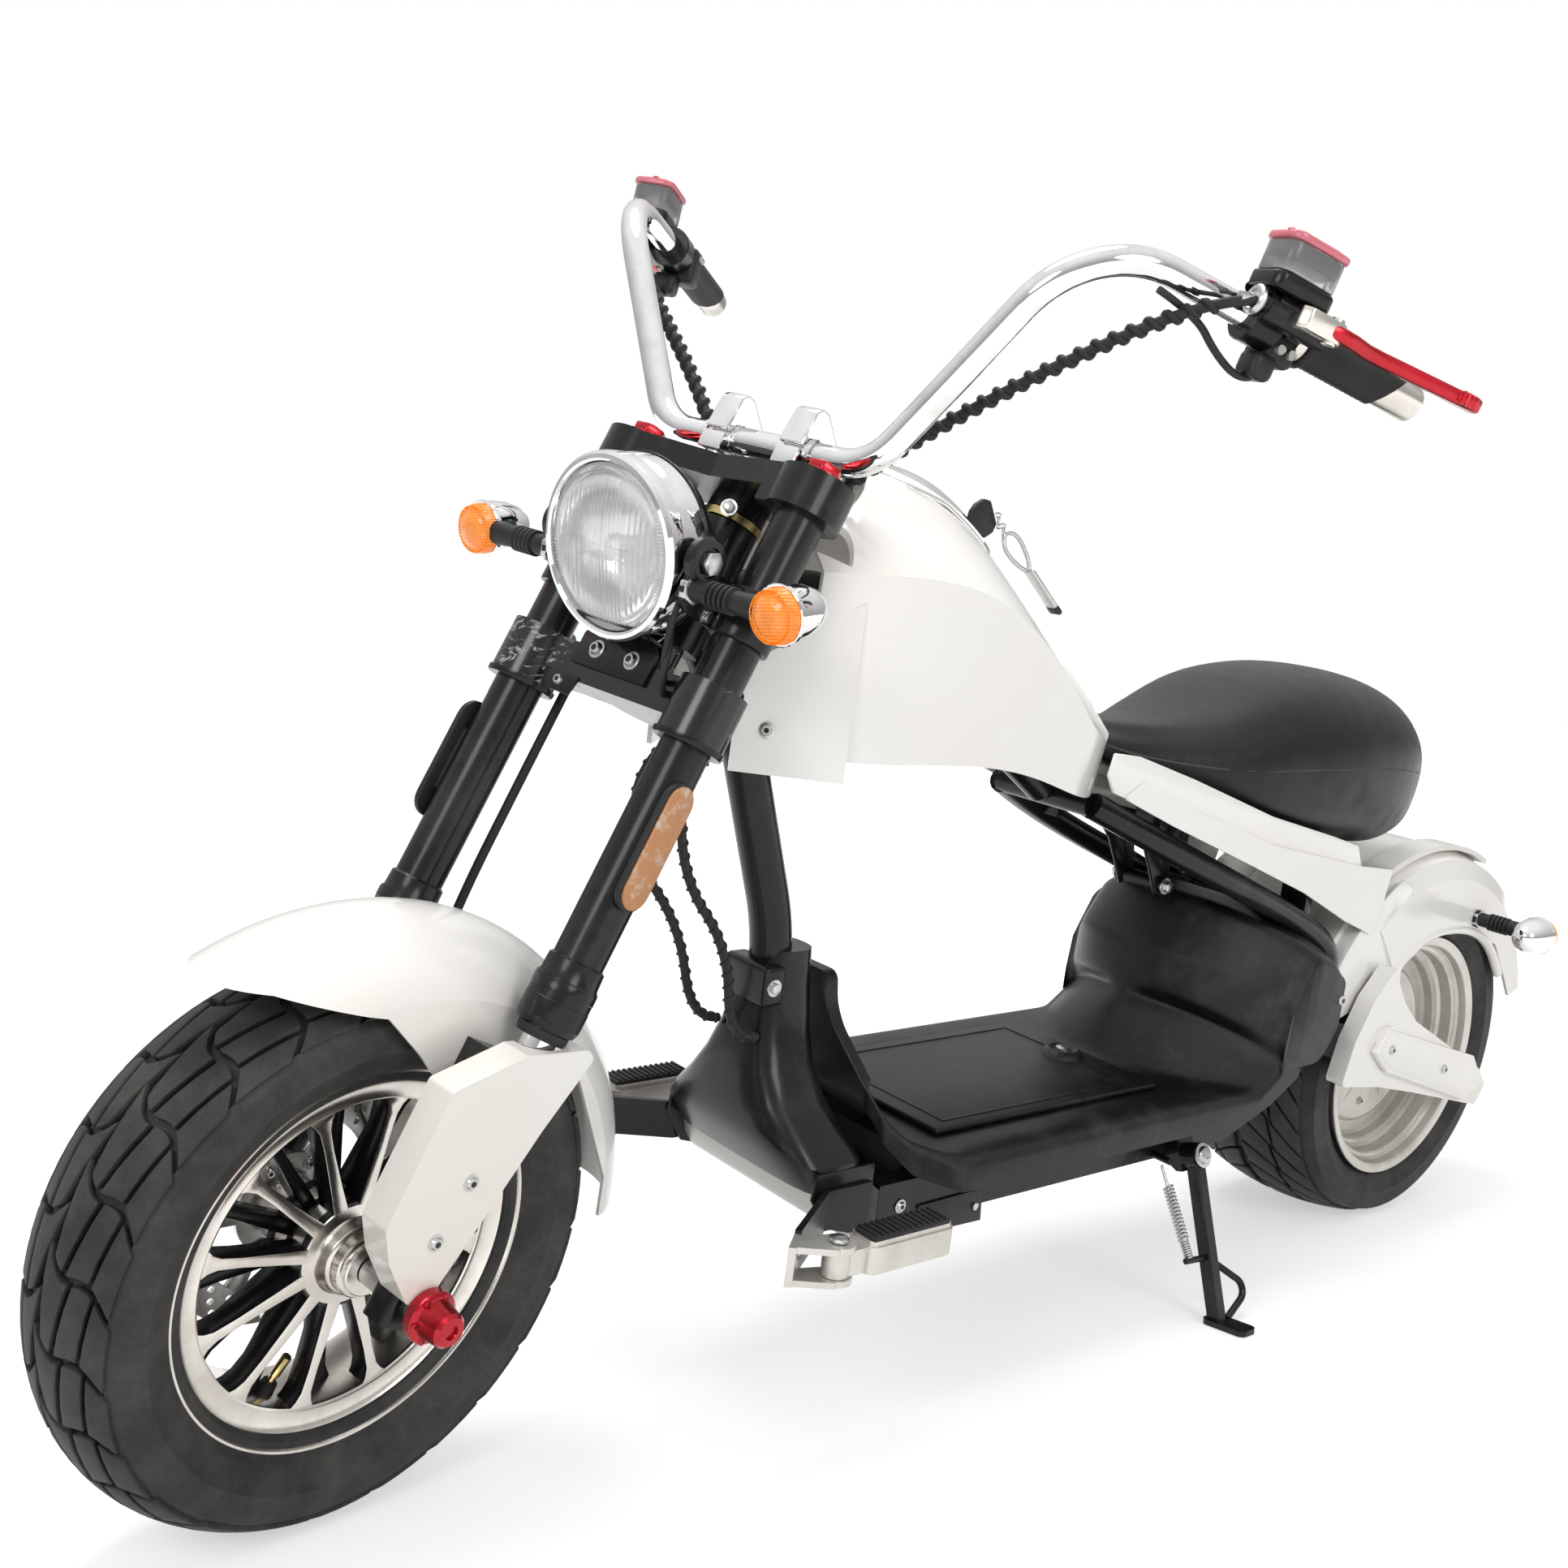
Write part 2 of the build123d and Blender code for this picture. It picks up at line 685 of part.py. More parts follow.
with BuildPart() as front_signals:
    for side in (1, -1):
        signal(
            fork_point(signal_ahead, side * (ear_y + 4 + clear), signal_up),
            fork_point(signal_ahead, side * 184, signal_up),
            lamp_facing,
        )
keep("front_signals", front_signals, turns=True)

# Reflectors on the outer tubes
with BuildPart() as reflectors:
    for side in (1, -1):
        with BuildSketch(Plane(
            fork_point(fork_offset + 8, side * (fork_half + fork_tube_radius + clear), 400),
            x_dir=upward, z_dir=(0, side, 0),
        )):
            SlotOverall(112, 30)
        extrude(amount=9)
keep("reflectors", reflectors, turns=True)

# Handlebar with risers, grips, brake levers and master cylinders
bar_low = Vector(1151, 0, 922)
bar_corner = Vector(1151, 125, 922)
bar_shoulder = Vector(1112, 272, 1135)
grip_end = Vector(820, 422, 1058)
bar_run = (grip_end - bar_shoulder).normalized()


def to_right(point):
    return Vector(point.X, -point.Y, point.Z)


bar_points = [grip_end, bar_shoulder, bar_corner, to_right(bar_corner), to_right(bar_shoulder), to_right(grip_end)]
with BuildPart() as handlebar:
    tube(bar_points, (95, 62, 62, 95), bar_radius, bar_radius - bar_wall)
keep("handlebar", handlebar, turns=True)

bar_up = (bar_low - steering_foot).dot(upward)
bar_ahead = (bar_low - steering_foot).dot(ahead)
with BuildPart() as risers:
    with BuildSketch(fork_plane.offset(upper_clamp_high + clear)):
        with Locations((bar_ahead, riser_half), (bar_ahead, -riser_half)):
            RectangleRounded(34, 26, 6)
    extrude(amount=bar_up - upper_clamp_high + 6)
    with BuildSketch(Plane(fork_point(bar_ahead, 0, bar_up + 6 + clear), x_dir=ahead, z_dir=upward)):
        with Locations((-6, riser_half), (-6, -riser_half)):
            RectangleRounded(46, 26, 6)
    extrude(amount=18, taper=8)
    with BuildSketch(Plane(fork_point(bar_ahead, 0, bar_up), x_dir=ahead, z_dir=(0, 1, 0))):
        Circle(bar_radius + clear / 3)
    extrude(amount=80, both=True, mode=Mode.SUBTRACT)
keep("risers", risers, turns=True)

with BuildPart() as grips:
    for flip in (1, -1):
        tip = Vector(grip_end.X, flip * grip_end.Y, grip_end.Z)
        run = Vector(bar_run.X, flip * bar_run.Y, bar_run.Z)
        rod(tip - run * grip_length, tip, grip_radius, bar_radius + clear / 3)
        rod(tip + run * clear, tip + run * 14, grip_radius + 1)
keep("grips", grips, turns=True)

bar_side = Vector(0, 0, 1).cross(bar_run).normalized()
bar_rise = bar_run.cross(bar_side).normalized() * -1
if bar_rise.Z < 0:
    bar_rise = bar_rise * -1
bar_front = bar_run.cross(bar_rise).normalized()
if bar_front.X < 0:
    bar_front = bar_front * -1
control_at = grip_end - bar_run * (grip_length + 44)


def on_bar(along, front, rise, flip=1):
    """A place beside the left grip end of the bar, mirrored for the right."""
    point = control_at + bar_run * along + bar_front * front + bar_rise * rise
    return Vector(point.X, flip * point.Y, point.Z)


with BuildPart() as master_cylinders:
    with BuildSketch(Plane(on_bar(-12, 0, 0), x_dir=bar_front, z_dir=bar_run)):
        Circle(bar_radius + 8)
        Circle(bar_radius + clear / 3, mode=Mode.SUBTRACT)
    extrude(amount=28)
    with BuildSketch(Plane(on_bar(-24, 30, 6), x_dir=bar_front, z_dir=bar_run)):
        RectangleRounded(26, 24, 6)
    extrude(amount=64)
    with BuildSketch(Plane(on_bar(20, -5, -6), x_dir=bar_front, z_dir=bar_run)):
        RectangleRounded(38, 40, 10)
        with Locations((5, -6)):
            Circle(bar_radius + clear / 3, mode=Mode.SUBTRACT)
    extrude(amount=22)
    with BuildSketch(Plane(on_bar(0, 28, 18 + clear), x_dir=bar_run, z_dir=bar_rise)):
        RectangleRounded(62, 44, 12)
    extrude(amount=14)
    mirror(about=Plane.XZ)
keep("master_cylinders", master_cylinders, turns=True)

with BuildPart() as reservoirs:
    with BuildSketch(Plane(on_bar(0, 28, 32 + 2 * clear), x_dir=bar_run, z_dir=bar_rise)):
        RectangleRounded(60, 42, 11)
    extrude(amount=34)
    mirror(about=Plane.XZ)
keep("reservoirs", reservoirs, turns=True)

with BuildPart() as brake_levers:
    with BuildSketch(Plane(on_bar(6, 0, 12), x_dir=bar_run, z_dir=bar_rise * -1)) as blade:
        with BuildLine():
            Polyline(
                (0, 43.4), (0, 56), (34, 56), (62, 64), (100, 62), (176, 68), (188, 66), (188, 56),
                (174, 55), (102, 50), (66, 51), (40, 44), close=True,
            )
        make_face()
        fillet(blade.vertices(), 2)
    extrude(amount=10)
    mirror(about=Plane.XZ)
keep("brake_levers", brake_levers, turns=True)

# Front brake caliper, on the right casting behind the disc
caliper_x = front_axle.X - 96
caliper_z = front_axle.Z + 62
with BuildPart() as front_caliper:
    with BuildSketch(at_side(-48)):
        with Locations(Location((caliper_x, caliper_z, 0), (0, 0, 60))):
            RectangleRounded(74, 46, 10)
    extrude(amount=44)
    with BuildSketch(at_side(front_disc_y + disc_thickness + 5)):
        with Locations((front_axle.X, front_axle.Z)):
            Circle(front_disc_radius + 5)
    extrude(amount=disc_thickness + 10, mode=Mode.SUBTRACT)
    with BuildSketch(at_side(-80)):
        with BuildLine():
            Polyline(
                (caliper_x + 18, caliper_z - 24), (caliper_x - 10, caliper_z + 30),
                (1420, 378), (1462, 352), (1476, 318), close=True,
            )
        make_face()
    extrude(amount=fork_half - 21 - clear - 80)
keep("front_caliper", front_caliper, turns=True)

# Frame: head tube, curved down tube and the backbone under the tank
head_low_point = fork_point(0, 0, head_tube_low)
head_mid = fork_point(0, 0, (head_tube_low + head_tube_high) / 2)
down_points = [
    fork_point(-4, 0, head_tube_low + 40), Vector(1128, 0, 641), Vector(1070, 0, 480), Vector(1050, 0, 330),
]
down_radii = (60, 260)
with BuildPart() as main_tube:
    rod(head_low_point, fork_point(0, 0, head_tube_high), head_tube_radius)
    tube(down_points, down_radii, tube_radius)
    tube(
        [head_mid + ahead * -4, Vector(1050, 0, 800), Vector(860, 0, 700), Vector(706, 0, 602)],
        (140, 160), rail_radius + 3,
    )
    with BuildSketch(fork_plane.offset(head_tube_low)):
        Circle(stem_radius + 1)
    extrude(amount=head_tube_high - head_tube_low, mode=Mode.SUBTRACT)
keep("main_tube", main_tube)

# Floor: a flared gusset, two rails, cross members and a tray for the battery
rail_front = 990.0
rail_rear = 420.0
gusset_sections = [
    (440, 1022, 1084, 58), (380, 1022, 1098, 74), (330, 1020, 1108, 108), (292, 1010, 1106, 176),
    (264, 999, 1094, 2 * tray_half), (deck_low, 1000, 1074, 2 * tray_half),
]
with BuildPart() as front_gusset:
    for height, back, front, width in gusset_sections:
        with BuildSketch(Plane.XY.offset(height)):
            with Locations(((back + front) / 2, 0)):
                RectangleRounded(front - back, width, 20)
    loft(ruled=True)
    tube(down_points, down_radii, tube_radius + clear / 3, mode=Mode.SUBTRACT)
    for side in (1, -1):
        outline(
            [(1072, 262), (1078, 236), (1056, 204), (1010, tray_low), (rail_front + clear, tray_low),
             (rail_front + clear, 230), (1001, 240), (1001, 262)],
            side * tray_half, side * wall,
        )
keep("front_gusset", front_gusset)

nose_radius = 44.0
with BuildPart() as nose_cover:
    with BuildSketch(at_side(tray_half - wall - clear)):
        with Locations((1012, deck_low - 4)):
            Circle(nose_radius)
            Circle(nose_radius - 3, mode=Mode.SUBTRACT)
            Rectangle(2 * nose_radius, 2 * nose_radius, align=(Align.MAX, Align.CENTER), mode=Mode.SUBTRACT)
            with Locations((0, 2 + clear)):
                Rectangle(2 * nose_radius, nose_radius, align=(Align.CENTER, Align.MIN), mode=Mode.SUBTRACT)
    extrude(amount=2 * (tray_half - wall - clear))
keep("nose_cover", nose_cover)

plate_thickness = 8.0
stand_hinge = Vector(0, cos(radians(stand_slant)), sin(radians(stand_slant)))
stand_centre = Vector(*stand_pivot)
lug_centre = stand_centre - stand_hinge * 10
lug_edge = Vector(0, -stand_hinge.Z, stand_hinge.Y) * 16
lug_top = ((lug_centre + lug_edge).Y, (lug_centre + lug_edge).Z)
lug_foot = ((lug_centre - lug_edge).Y, (lug_centre - lug_edge).Z)
spring_top = Vector(557, 128, 197)
with BuildPart() as floor_frame:
    for side in (1, -1):
        with BuildSketch(Plane.XY.offset(tray_low)):
            with Locations(((rail_front + rail_rear) / 2, side * (tray_half - rail_width / 2))):
                Rectangle(rail_front - rail_rear, rail_width)
        extrude(amount=deck_low - tray_low - clear)
        outline(
            [(236, 351.4), (282, 250), (330, 222), (rail_rear, tray_low), (rail_rear + 60, tray_low),
             (rail_rear + 60, 228), (372, 320), (304, 372), (282, 359.6)],
            side * tray_half, side * plate_thickness, corner=4,
        )
    for x in (rail_front - 20, 700, rail_rear + 20):
        with BuildSketch(Plane.XY.offset(tray_low)):
            with Locations((x, 0)):
                Rectangle(30, 2 * tray_half - 4)
        extrude(amount=12)
    with BuildSketch(Plane.XY.offset(tray_low)):
        with Locations(((rail_front + rail_rear) / 2, 0)):
            Rectangle(rail_front - rail_rear, 2 * tray_half - rail_width)
    extrude(amount=3)
    with BuildSketch(at_side(tray_half + 1)):
        with Locations((pivot_x, pivot_z)):
            Circle(pivot_radius + clear / 3)
    extrude(amount=2 * tray_half + 2, mode=Mode.SUBTRACT)
    with BuildSketch(Plane.YZ.offset(stand_pivot[0] - 14)):
        with BuildLine():
            Polyline(
                (tray_half - 4, 232), (tray_half + 9, 232), lug_top, lug_foot, (139, 180), (tray_half - 4, 190),
                close=True,
            )
        make_face()
    extrude(amount=28)
    rod((spring_top.X, tray_half - 4, spring_top.Z), spring_top + Vector(0, 16, 0), 4)
keep("floor_frame", floor_frame)

battery_low = tray_low + 12 + clear
with BuildPart() as battery:
    with BuildSketch(Plane.XY.offset(battery_low)):
        with Locations(((lid_front + lid_rear) / 2 + 10, 0)):
            RectangleRounded(380, 176, 6)
    extrude(amount=deck_z - lid_thickness - wall - battery_low - 4)
keep("battery", battery)

# Seat rails with the cross tube that holds the shock absorbers
seat_under = [
    (692, 684), (688, 640), (600, 612), (440, 566), (300, 540), (150, 528), (100, 545), (62, 590),
]
cover_line = 124.0 - clear


def under_seat(x):
    """Height of the seat's underside over a place on the centre line."""
    for (x_front, z_front), (x_back, z_back) in zip(seat_under, seat_under[1:]):
        if x_back <= x <= x_front:
            return z_back + (z_front - z_back) * (x - x_back) / (x_front - x_back)


seat_low_front = under_seat(593)
seat_low_rear = under_seat(313)
seat_low_tail = under_seat(117)
backbone_run = (Vector(706, 0, 602) - Vector(860, 0, 700)).normalized()
cross_tube = Vector(706, 0, 602) + backbone_run * (rail_radius - 2 + clear)
rail_points = [
    (cross_tube.X, 66, cross_tube.Z), (594, 100, 551), (300, 112, 443), (250, 112, 400), (258, 112, 356),
]
shock_top = (352, 462)
seat_posts = [(600, 56, 92, 552, seat_low_front), (320, 84, 106, 446, seat_low_rear)]
fender_arch = rear_fender_radius + clear
with BuildPart() as seat_rails:
    for side in (1, -1):
        tube([(x, side * y, z) for x, y, z in rail_points], (120, 60, 26), rail_radius)
        for x, near, far, low, high in seat_posts:
            with Locations((x, side * (near + far) / 2, (low + high - clear) / 2)):
                Box(14, far - near, high - clear - low)
            with Locations((x, side * (near + cover_line) / 2, high - 30)):
                Box(10, cover_line - near, 16)
    rod((cross_tube.X, -66, cross_tube.Z), (cross_tube.X, 66, cross_tube.Z), rail_radius - 2)
    rod((shock_top[0], -110, shock_top[1]), (shock_top[0], 110, shock_top[1]), 9)
with BuildPart() as tail_arch:
    with BuildSketch():
        with Locations((fender_arch + 3, 84), (fender_arch + 3, -84)):
            Rectangle(6, 36)
    revolve(axis=Axis.Y, revolution_arc=84)
tail_arch.part = Pos(rear_axle) * Rot(0, -112, 0) * tail_arch.part
with BuildPart() as tail_posts:
    with Locations((110, 84, 518), (110, -84, 518)):
        Box(14, 30, 60)
    with BuildSketch(at_side(110)):
        with Locations((0, rear_axle.Z)):
            Circle(fender_arch)
    extrude(amount=220, mode=Mode.SUBTRACT)
    outline([(90, seat_low_tail - clear), (130, seat_low_tail - clear), (130, 600), (90, 600)], 110, 220,
            mode=Mode.SUBTRACT)
seat_rails.part = seat_rails.part + tail_arch.part + tail_posts.part
keep("seat_rails", seat_rails)

# Swinging arm, its covers, the shock absorbers and the rear brake
arm_brace = (292, 322)
with BuildPart() as swingarm:
    for side in (1, -1):
        with BuildSketch(at_side(side * (arm_inner + arm_thickness))):
            with Locations((0, rear_axle.Z)):
                Circle(30)
            with Locations((pivot_x, pivot_z)):
                Circle(24)
            with BuildLine():
                Polyline(
                    (-6, rear_axle.Z + 26), (pivot_x - 4, pivot_z + 20), (pivot_x + 6, pivot_z - 20),
                    (6, rear_axle.Z - 26), close=True,
                )
            make_face()
        extrude(amount=side * arm_thickness)
        rod((0, side * 88, rear_axle.Z), (0, side * 140, rear_axle.Z), rear_axle_radius)
        rod((0, side * (arm_inner + arm_thickness), rear_axle.Z), (0, side * 138, rear_axle.Z), 16)
    rod((0, -92, rear_axle.Z), (0, 92, rear_axle.Z), rear_axle_radius)
    rod((pivot_x, -arm_inner - 4, pivot_z), (pivot_x, arm_inner + 4, pivot_z), pivot_radius)
keep("swingarm", swingarm)

arm_cover_side = [
    (-138, 196), (-120, 168), (60, 212), (150, 232), (238, 244), (224, 300), (196, 352), (150, 398),
    (146, 372), (120, 340), (84, 312), (-112, 222),
]
cover_face = arm_inner + arm_thickness + 24
with BuildPart() as swingarm_covers:
    outline(arm_cover_side, cover_face, cover_face - arm_inner - arm_thickness - clear, corner=8)
    with BuildSketch(at_side(cover_face - wall)):
        with BuildLine():
            Polyline(*arm_cover_side, close=True)
        make_face()
        offset(amount=-wall, kind=Kind.INTERSECTION)
    extrude(amount=60, mode=Mode.SUBTRACT)
    with BuildSketch(at_side(cover_face)):
        with Locations(Location((66, 262, 0), (0, 0, 18.9))):
            SlotOverall(230, 46)
    extrude(amount=-5)
    with BuildSketch(at_side(cover_face - 1)):
        with Locations((60, 254), (190, 287)):
            Circle(8)
    extrude(amount=cover_face - 1 - arm_inner - arm_thickness - clear)
    mirror(about=Plane.XZ)
keep("swingarm_covers", swingarm_covers)

shock_half = 40.0
with BuildPart() as shock_absorbers:
    for side in (1, -1):
        y = side * shock_half
        low_point = Vector(pivot_x, y, pivot_z)
        high_point = Vector(shock_top[0], y, shock_top[1])
        axis_up = (high_point - low_point).normalized()
        for centre, hole in ((low_point, pivot_radius), (high_point, 9)):
            rod(centre - Vector(0, 14, 0), centre + Vector(0, 14, 0), hole + 7, hole + clear / 3)
        rod(low_point + axis_up * (pivot_radius + 4), high_point - axis_up * 12, 7)
        rod(low_point + axis_up * 26, low_point + axis_up * 34, 24)
        rod(high_point - axis_up * 28, high_point - axis_up * 20, 24)
        rod(low_point + axis_up * 34, high_point - axis_up * 28, 20, 14)
keep("shock_absorbers", shock_absorbers)

with BuildPart() as rear_caliper:
    with BuildSketch(at_side(rear_disc_y + 22)):
        with Locations(Location((70, rear_axle.Z + 60, 0), (0, 0, -45))):
            RectangleRounded(66, 40, 9)
    extrude(amount=30)
    with BuildSketch(at_side(rear_disc_y + disc_thickness + 4)):
        with Locations((0, rear_axle.Z)):
            Circle(rear_disc_radius + 5)
    extrude(amount=disc_thickness + 8, mode=Mode.SUBTRACT)
    outline([(58, 300), (84, 300), (84, 262), (58, 256)], rear_disc_y - 8, arm_inner - clear + rear_disc_y - 8)
keep("rear_caliper", rear_caliper)

# Footboard: one bent sheet with rolled edges, a front neck and a rear hump
hump_half = 86.0
lobe_thickness = deck_half - arm_inner - arm_thickness - 8
with BuildPart() as footboard:
    with BuildSketch(Plane.XY.offset(deck_low)) as plan:
        with BuildLine():
            Polyline(
                (994, -118), (975, -150), (940, -deck_half), (480, -deck_half), (480, deck_half),
                (940, deck_half), (975, 150), (994, 118), close=True,
            )
        make_face()
        fillet(plan.vertices().filter_by_position(Axis.X, 900, 1000), 12)
    extrude(amount=deck_z - deck_low)
    fillet(footboard.faces().sort_by(Axis.Z)[-1].edges().filter_by(Axis.X), 22)
    outline(
        [(1016, 430), (1004, 340), (970, 268), (900, 262), (900, 250), (993, 250), (1020, 340)],
        96, 192,
    )
    outline(
        [(530, deck_z - 20), (508, 345), (498, 415), (470, 484), (410, 484), (392, 440), (392, 250)],
        hump_half, 2 * hump_half, corner=14,
    )
    for side in (1, -1):
        outline(
            [(440, 240), (410, 268), (404, 376), (388, 420), (340, 432), (290, 414), (258, 370),
             (262, 300), (300, 262)],
            side * deck_half, side * lobe_thickness, corner=6,
        )
        outline([(400, deck_low), (500, deck_low), (500, deck_z), (400, deck_z)],
                side * deck_half, side * (deck_half - tray_half - wall))
        with BuildSketch(Plane.XY.offset(deck_z - 10)) as band:
            with BuildLine():
                Polyline(
                    (500, side * 84), (506, side * 90), (454, side * 136), (410, side * deck_half),
                    (402, side * (deck_half - 3)), (446, side * 131), close=True,
                )
            make_face()
        extrude(band.sketch, amount=425 - deck_z)
    with BuildSketch(Plane.YZ.offset(940)):
        for side in (1, -1):
            with BuildLine():
                Polyline(
                    (40 * side, 440), (130 * side, 440), (130 * side, 286), (94 * side, 286),
                    (60 * side, 340), close=True,
                )
            make_face()
    extrude(amount=90, mode=Mode.SUBTRACT)
    with BuildSketch(Plane.XY.offset(0)):
        with Locations((640, 0)):
            Rectangle(800 - 30, 2 * tray_half + 2 * clear)
    extrude(amount=deck_z - lid_thickness - wall, mode=Mode.SUBTRACT)
    with BuildSketch(at_side(hump_half - wall)):
        with BuildLine():
            Polyline((524, 200), (503, 343), (493, 412), (466, 479), (300, 479), (300, 200), close=True)
        make_face()
    extrude(amount=2 * (hump_half - wall), mode=Mode.SUBTRACT)
keep("footboard", footboard)

lid_hinge = Vector(lid_front, 0, deck_z + clear + lid_thickness / 2)
with BuildPart() as battery_lid:
    with BuildSketch(Plane.XY.offset(deck_z + clear)) as lid_plan:
        with Locations(((lid_front + lid_rear) / 2, 0)):
            RectangleRounded(lid_front - lid_rear, 2 * lid_half, 16)
    extrude(amount=lid_thickness)
    with BuildSketch(Plane.XY.offset(deck_z + clear + lid_thickness)):
        with Locations((lid_rear + 36, 0)):
            Circle(17)
    extrude(amount=8, taper=25)
    rod(lid_hinge - Vector(0, lid_half - 16, 0), lid_hinge + Vector(0, lid_half - 16, 0), lid_thickness / 2)
keep("battery_lid", battery_lid)

# Tank: a hollow moulded cover, with a flat shroud on each side of its nose
tank_sections = [
    (1150, 104, 662, 822, 884, 1.0), (1060, 146, 658, 826, 912, 0.9),
    (960, tank_half, 656, 806, 908, 0.3), (840, 140, 634, 730, 828, 0.0), (700, 76, 613, 676, 735, 0.0),
]


def tank_loft(inset, drop):
    """The tank's outer form, or the hollow inside it."""
    faces = []
    for x, half, low, shoulder, top, full in tank_sections:
        half = half - inset
        top = top - inset
        crest = Vector(0.2 * half, top - (top - shoulder) * (0.1 - 0.06 * full))
        flank = Vector(0.6 * half, top - (top - shoulder) * (0.53 - 0.17 * full))
        with BuildSketch(Plane(origin=(x, 0, 0), x_dir=(0, 1, 0), z_dir=(1, 0, 0))) as face:
            with BuildLine():
                Polyline((half, shoulder), (half - 10, low - drop), (10 - half, low - drop), (-half, shoulder))
                ThreePointArc((-half, shoulder), (-flank.X, flank.Y), (-crest.X, crest.Y))
                ThreePointArc((-crest.X, crest.Y), (0, top), (crest.X, crest.Y))
                ThreePointArc((crest.X, crest.Y), (flank.X, flank.Y), (half, shoulder))
            make_face()
        faces.append(face.sketch)
    return faces


with BuildPart() as tank_cover:
    loft(tank_loft(0, 0))
    loft(tank_loft(wall, 20), mode=Mode.SUBTRACT)
    with BuildSketch(fork_plane.offset(300)):
        Circle(92)
    extrude(amount=600, mode=Mode.SUBTRACT)
    with BuildSketch(fork_plane.offset(upper_clamp_low - 6)):
        for side in (1, -1):
            with Locations((boss_reach * cos(radians(boss_swing)), side * boss_reach * sin(radians(boss_swing)))):
                Circle(clamp_boss_radius + clamp_play)
    extrude(amount=upper_clamp_high - upper_clamp_low + 12, mode=Mode.SUBTRACT)
with BuildPart() as shrouds:
    with BuildSketch(Plane.XY.offset(600)):
        with BuildLine():
            Polyline((1118, 122), (1118, 128), (1196, 62), (1193, 58), close=True)
        make_face()
        mirror(about=Plane.XZ)
    extrude(amount=260)
    outline([(1100, 640), (1200, 640), (1200, 728), (1118, 800), (1100, 806)], 150, 300, mode=Mode.INTERSECT)
tank_cover.part = tank_cover.part + shrouds.part
keep("tank_cover", tank_cover)

with BuildPart() as tank_posts:
    for x, low in ((1000, 760), (790, 655)):
        with Locations((x, 0, low + 100)):
            Box(34, 12, 200)
    loft(tank_loft(wall + clear, 20), mode=Mode.INTERSECT)
main_tube.part = main_tube.part + tank_posts.part

console_middle = 945.0
lock_radius = 13.0
lock_plane = Plane((880, -12, 868), x_dir=(1, 0, 0.45), z_dir=(-0.45, 0, 1))
with BuildPart() as tank_console:
    with BuildSketch(Plane.XY.offset(700)):
        with Locations((console_middle, 0)):
            Ellipse(92, 50)
    extrude(amount=400)
    loft(tank_loft(-6, 0), mode=Mode.INTERSECT)
    loft(tank_loft(-clear, 0), mode=Mode.SUBTRACT)
    with BuildSketch(lock_plane):
        Circle(lock_radius + clear)
    extrude(amount=60, both=True, mode=Mode.SUBTRACT)
keep("tank_console", tank_console)

with BuildPart() as ignition_lock:
    with BuildSketch(lock_plane.offset(-26)):
        Circle(lock_radius)
    extrude(amount=34)
    loft(tank_loft(-clear, 0), mode=Mode.SUBTRACT)
    with BuildSketch(lock_plane.offset(6)):
        Rectangle(12, 3)
    extrude(amount=20)
    with BuildSketch(Plane(lock_plane.origin, x_dir=lock_plane.x_dir, z_dir=(0, -1, 0)).offset(-1.5)):
        with Locations((0, 38)):
            RegularPolygon(17, 8)
    extrude(amount=3)
keep("ignition_lock", ignition_lock)

# The seat's crown: the place, half width, foot, edge and top of each section
seat_sections = [
    (694, 50, 620, 664, 684), (620, 69, 600, 655, 680), (540, 110, 575, 648, 683),
    (450, 139, 550, 650, 713), (350, 150, 530, 664, 740), (260, 151, 515, 668, 748),
    (190, 148, 510, 655, 742), (130, 132, 510, 640, 722), (90, 112, 515, 620, 690),
    (61, 84, 540, 600, 640),
]


def seat_crown():
    """The sections that round the seat's sides and top."""
    faces = []
    for x, half, foot, edge, top in seat_sections:
        with BuildSketch(Plane(origin=(x, 0, 0), x_dir=(0, 1, 0), z_dir=(1, 0, 0))) as face:
            with BuildLine():
                side = Polyline((half - 6, edge), (half - 14, foot), (14 - half, foot), (6 - half, edge))
                ThreePointArc(side @ 1, (0, top), side @ 0)
            make_face()
        faces.append(face.sketch)
    return faces


with BuildPart() as seat:
    with BuildSketch(at_side(seat_half)):
        with BuildLine():
            seat_line = Polyline(*seat_under)
            ThreePointArc(seat_line @ 1, (90, 684), (160, 736))
            ThreePointArc((160, 736), (260, 748), (380, 722))
            ThreePointArc((380, 722), (530, 678), (692, 684))
        make_face()
    extrude(amount=2 * seat_half)
    with BuildSketch(Plane.XY.offset(400)):
        with BuildLine():
            Polyline((693, 0), (693, 52), (620, 70))
            ThreePointArc((620, 70), (480, 134), (330, seat_half))
            ThreePointArc((330, seat_half), (245, 147), (168, 130))
            ThreePointArc((168, 130), (86, 82), (62, 0))
            Line((62, 0), (693, 0))
        make_face()
        mirror(about=Plane.XZ)
    extrude(amount=500, mode=Mode.INTERSECT)
    loft(seat_crown(), mode=Mode.INTERSECT)
keep("seat", seat)

rail_cover_side = [
    (720, 616), (630, 584), (483, 536), (358, 494), (257, 452), (192, 430), (176, 470), (168, 512),
    (240, 520), (441, 556), (600, 602), (690, 634),
]
with BuildPart() as side_covers:
    outline(rail_cover_side, cover_line + clear + wall, wall, corner=3)
    mirror(about=Plane.XZ)
keep("side_covers", side_covers)

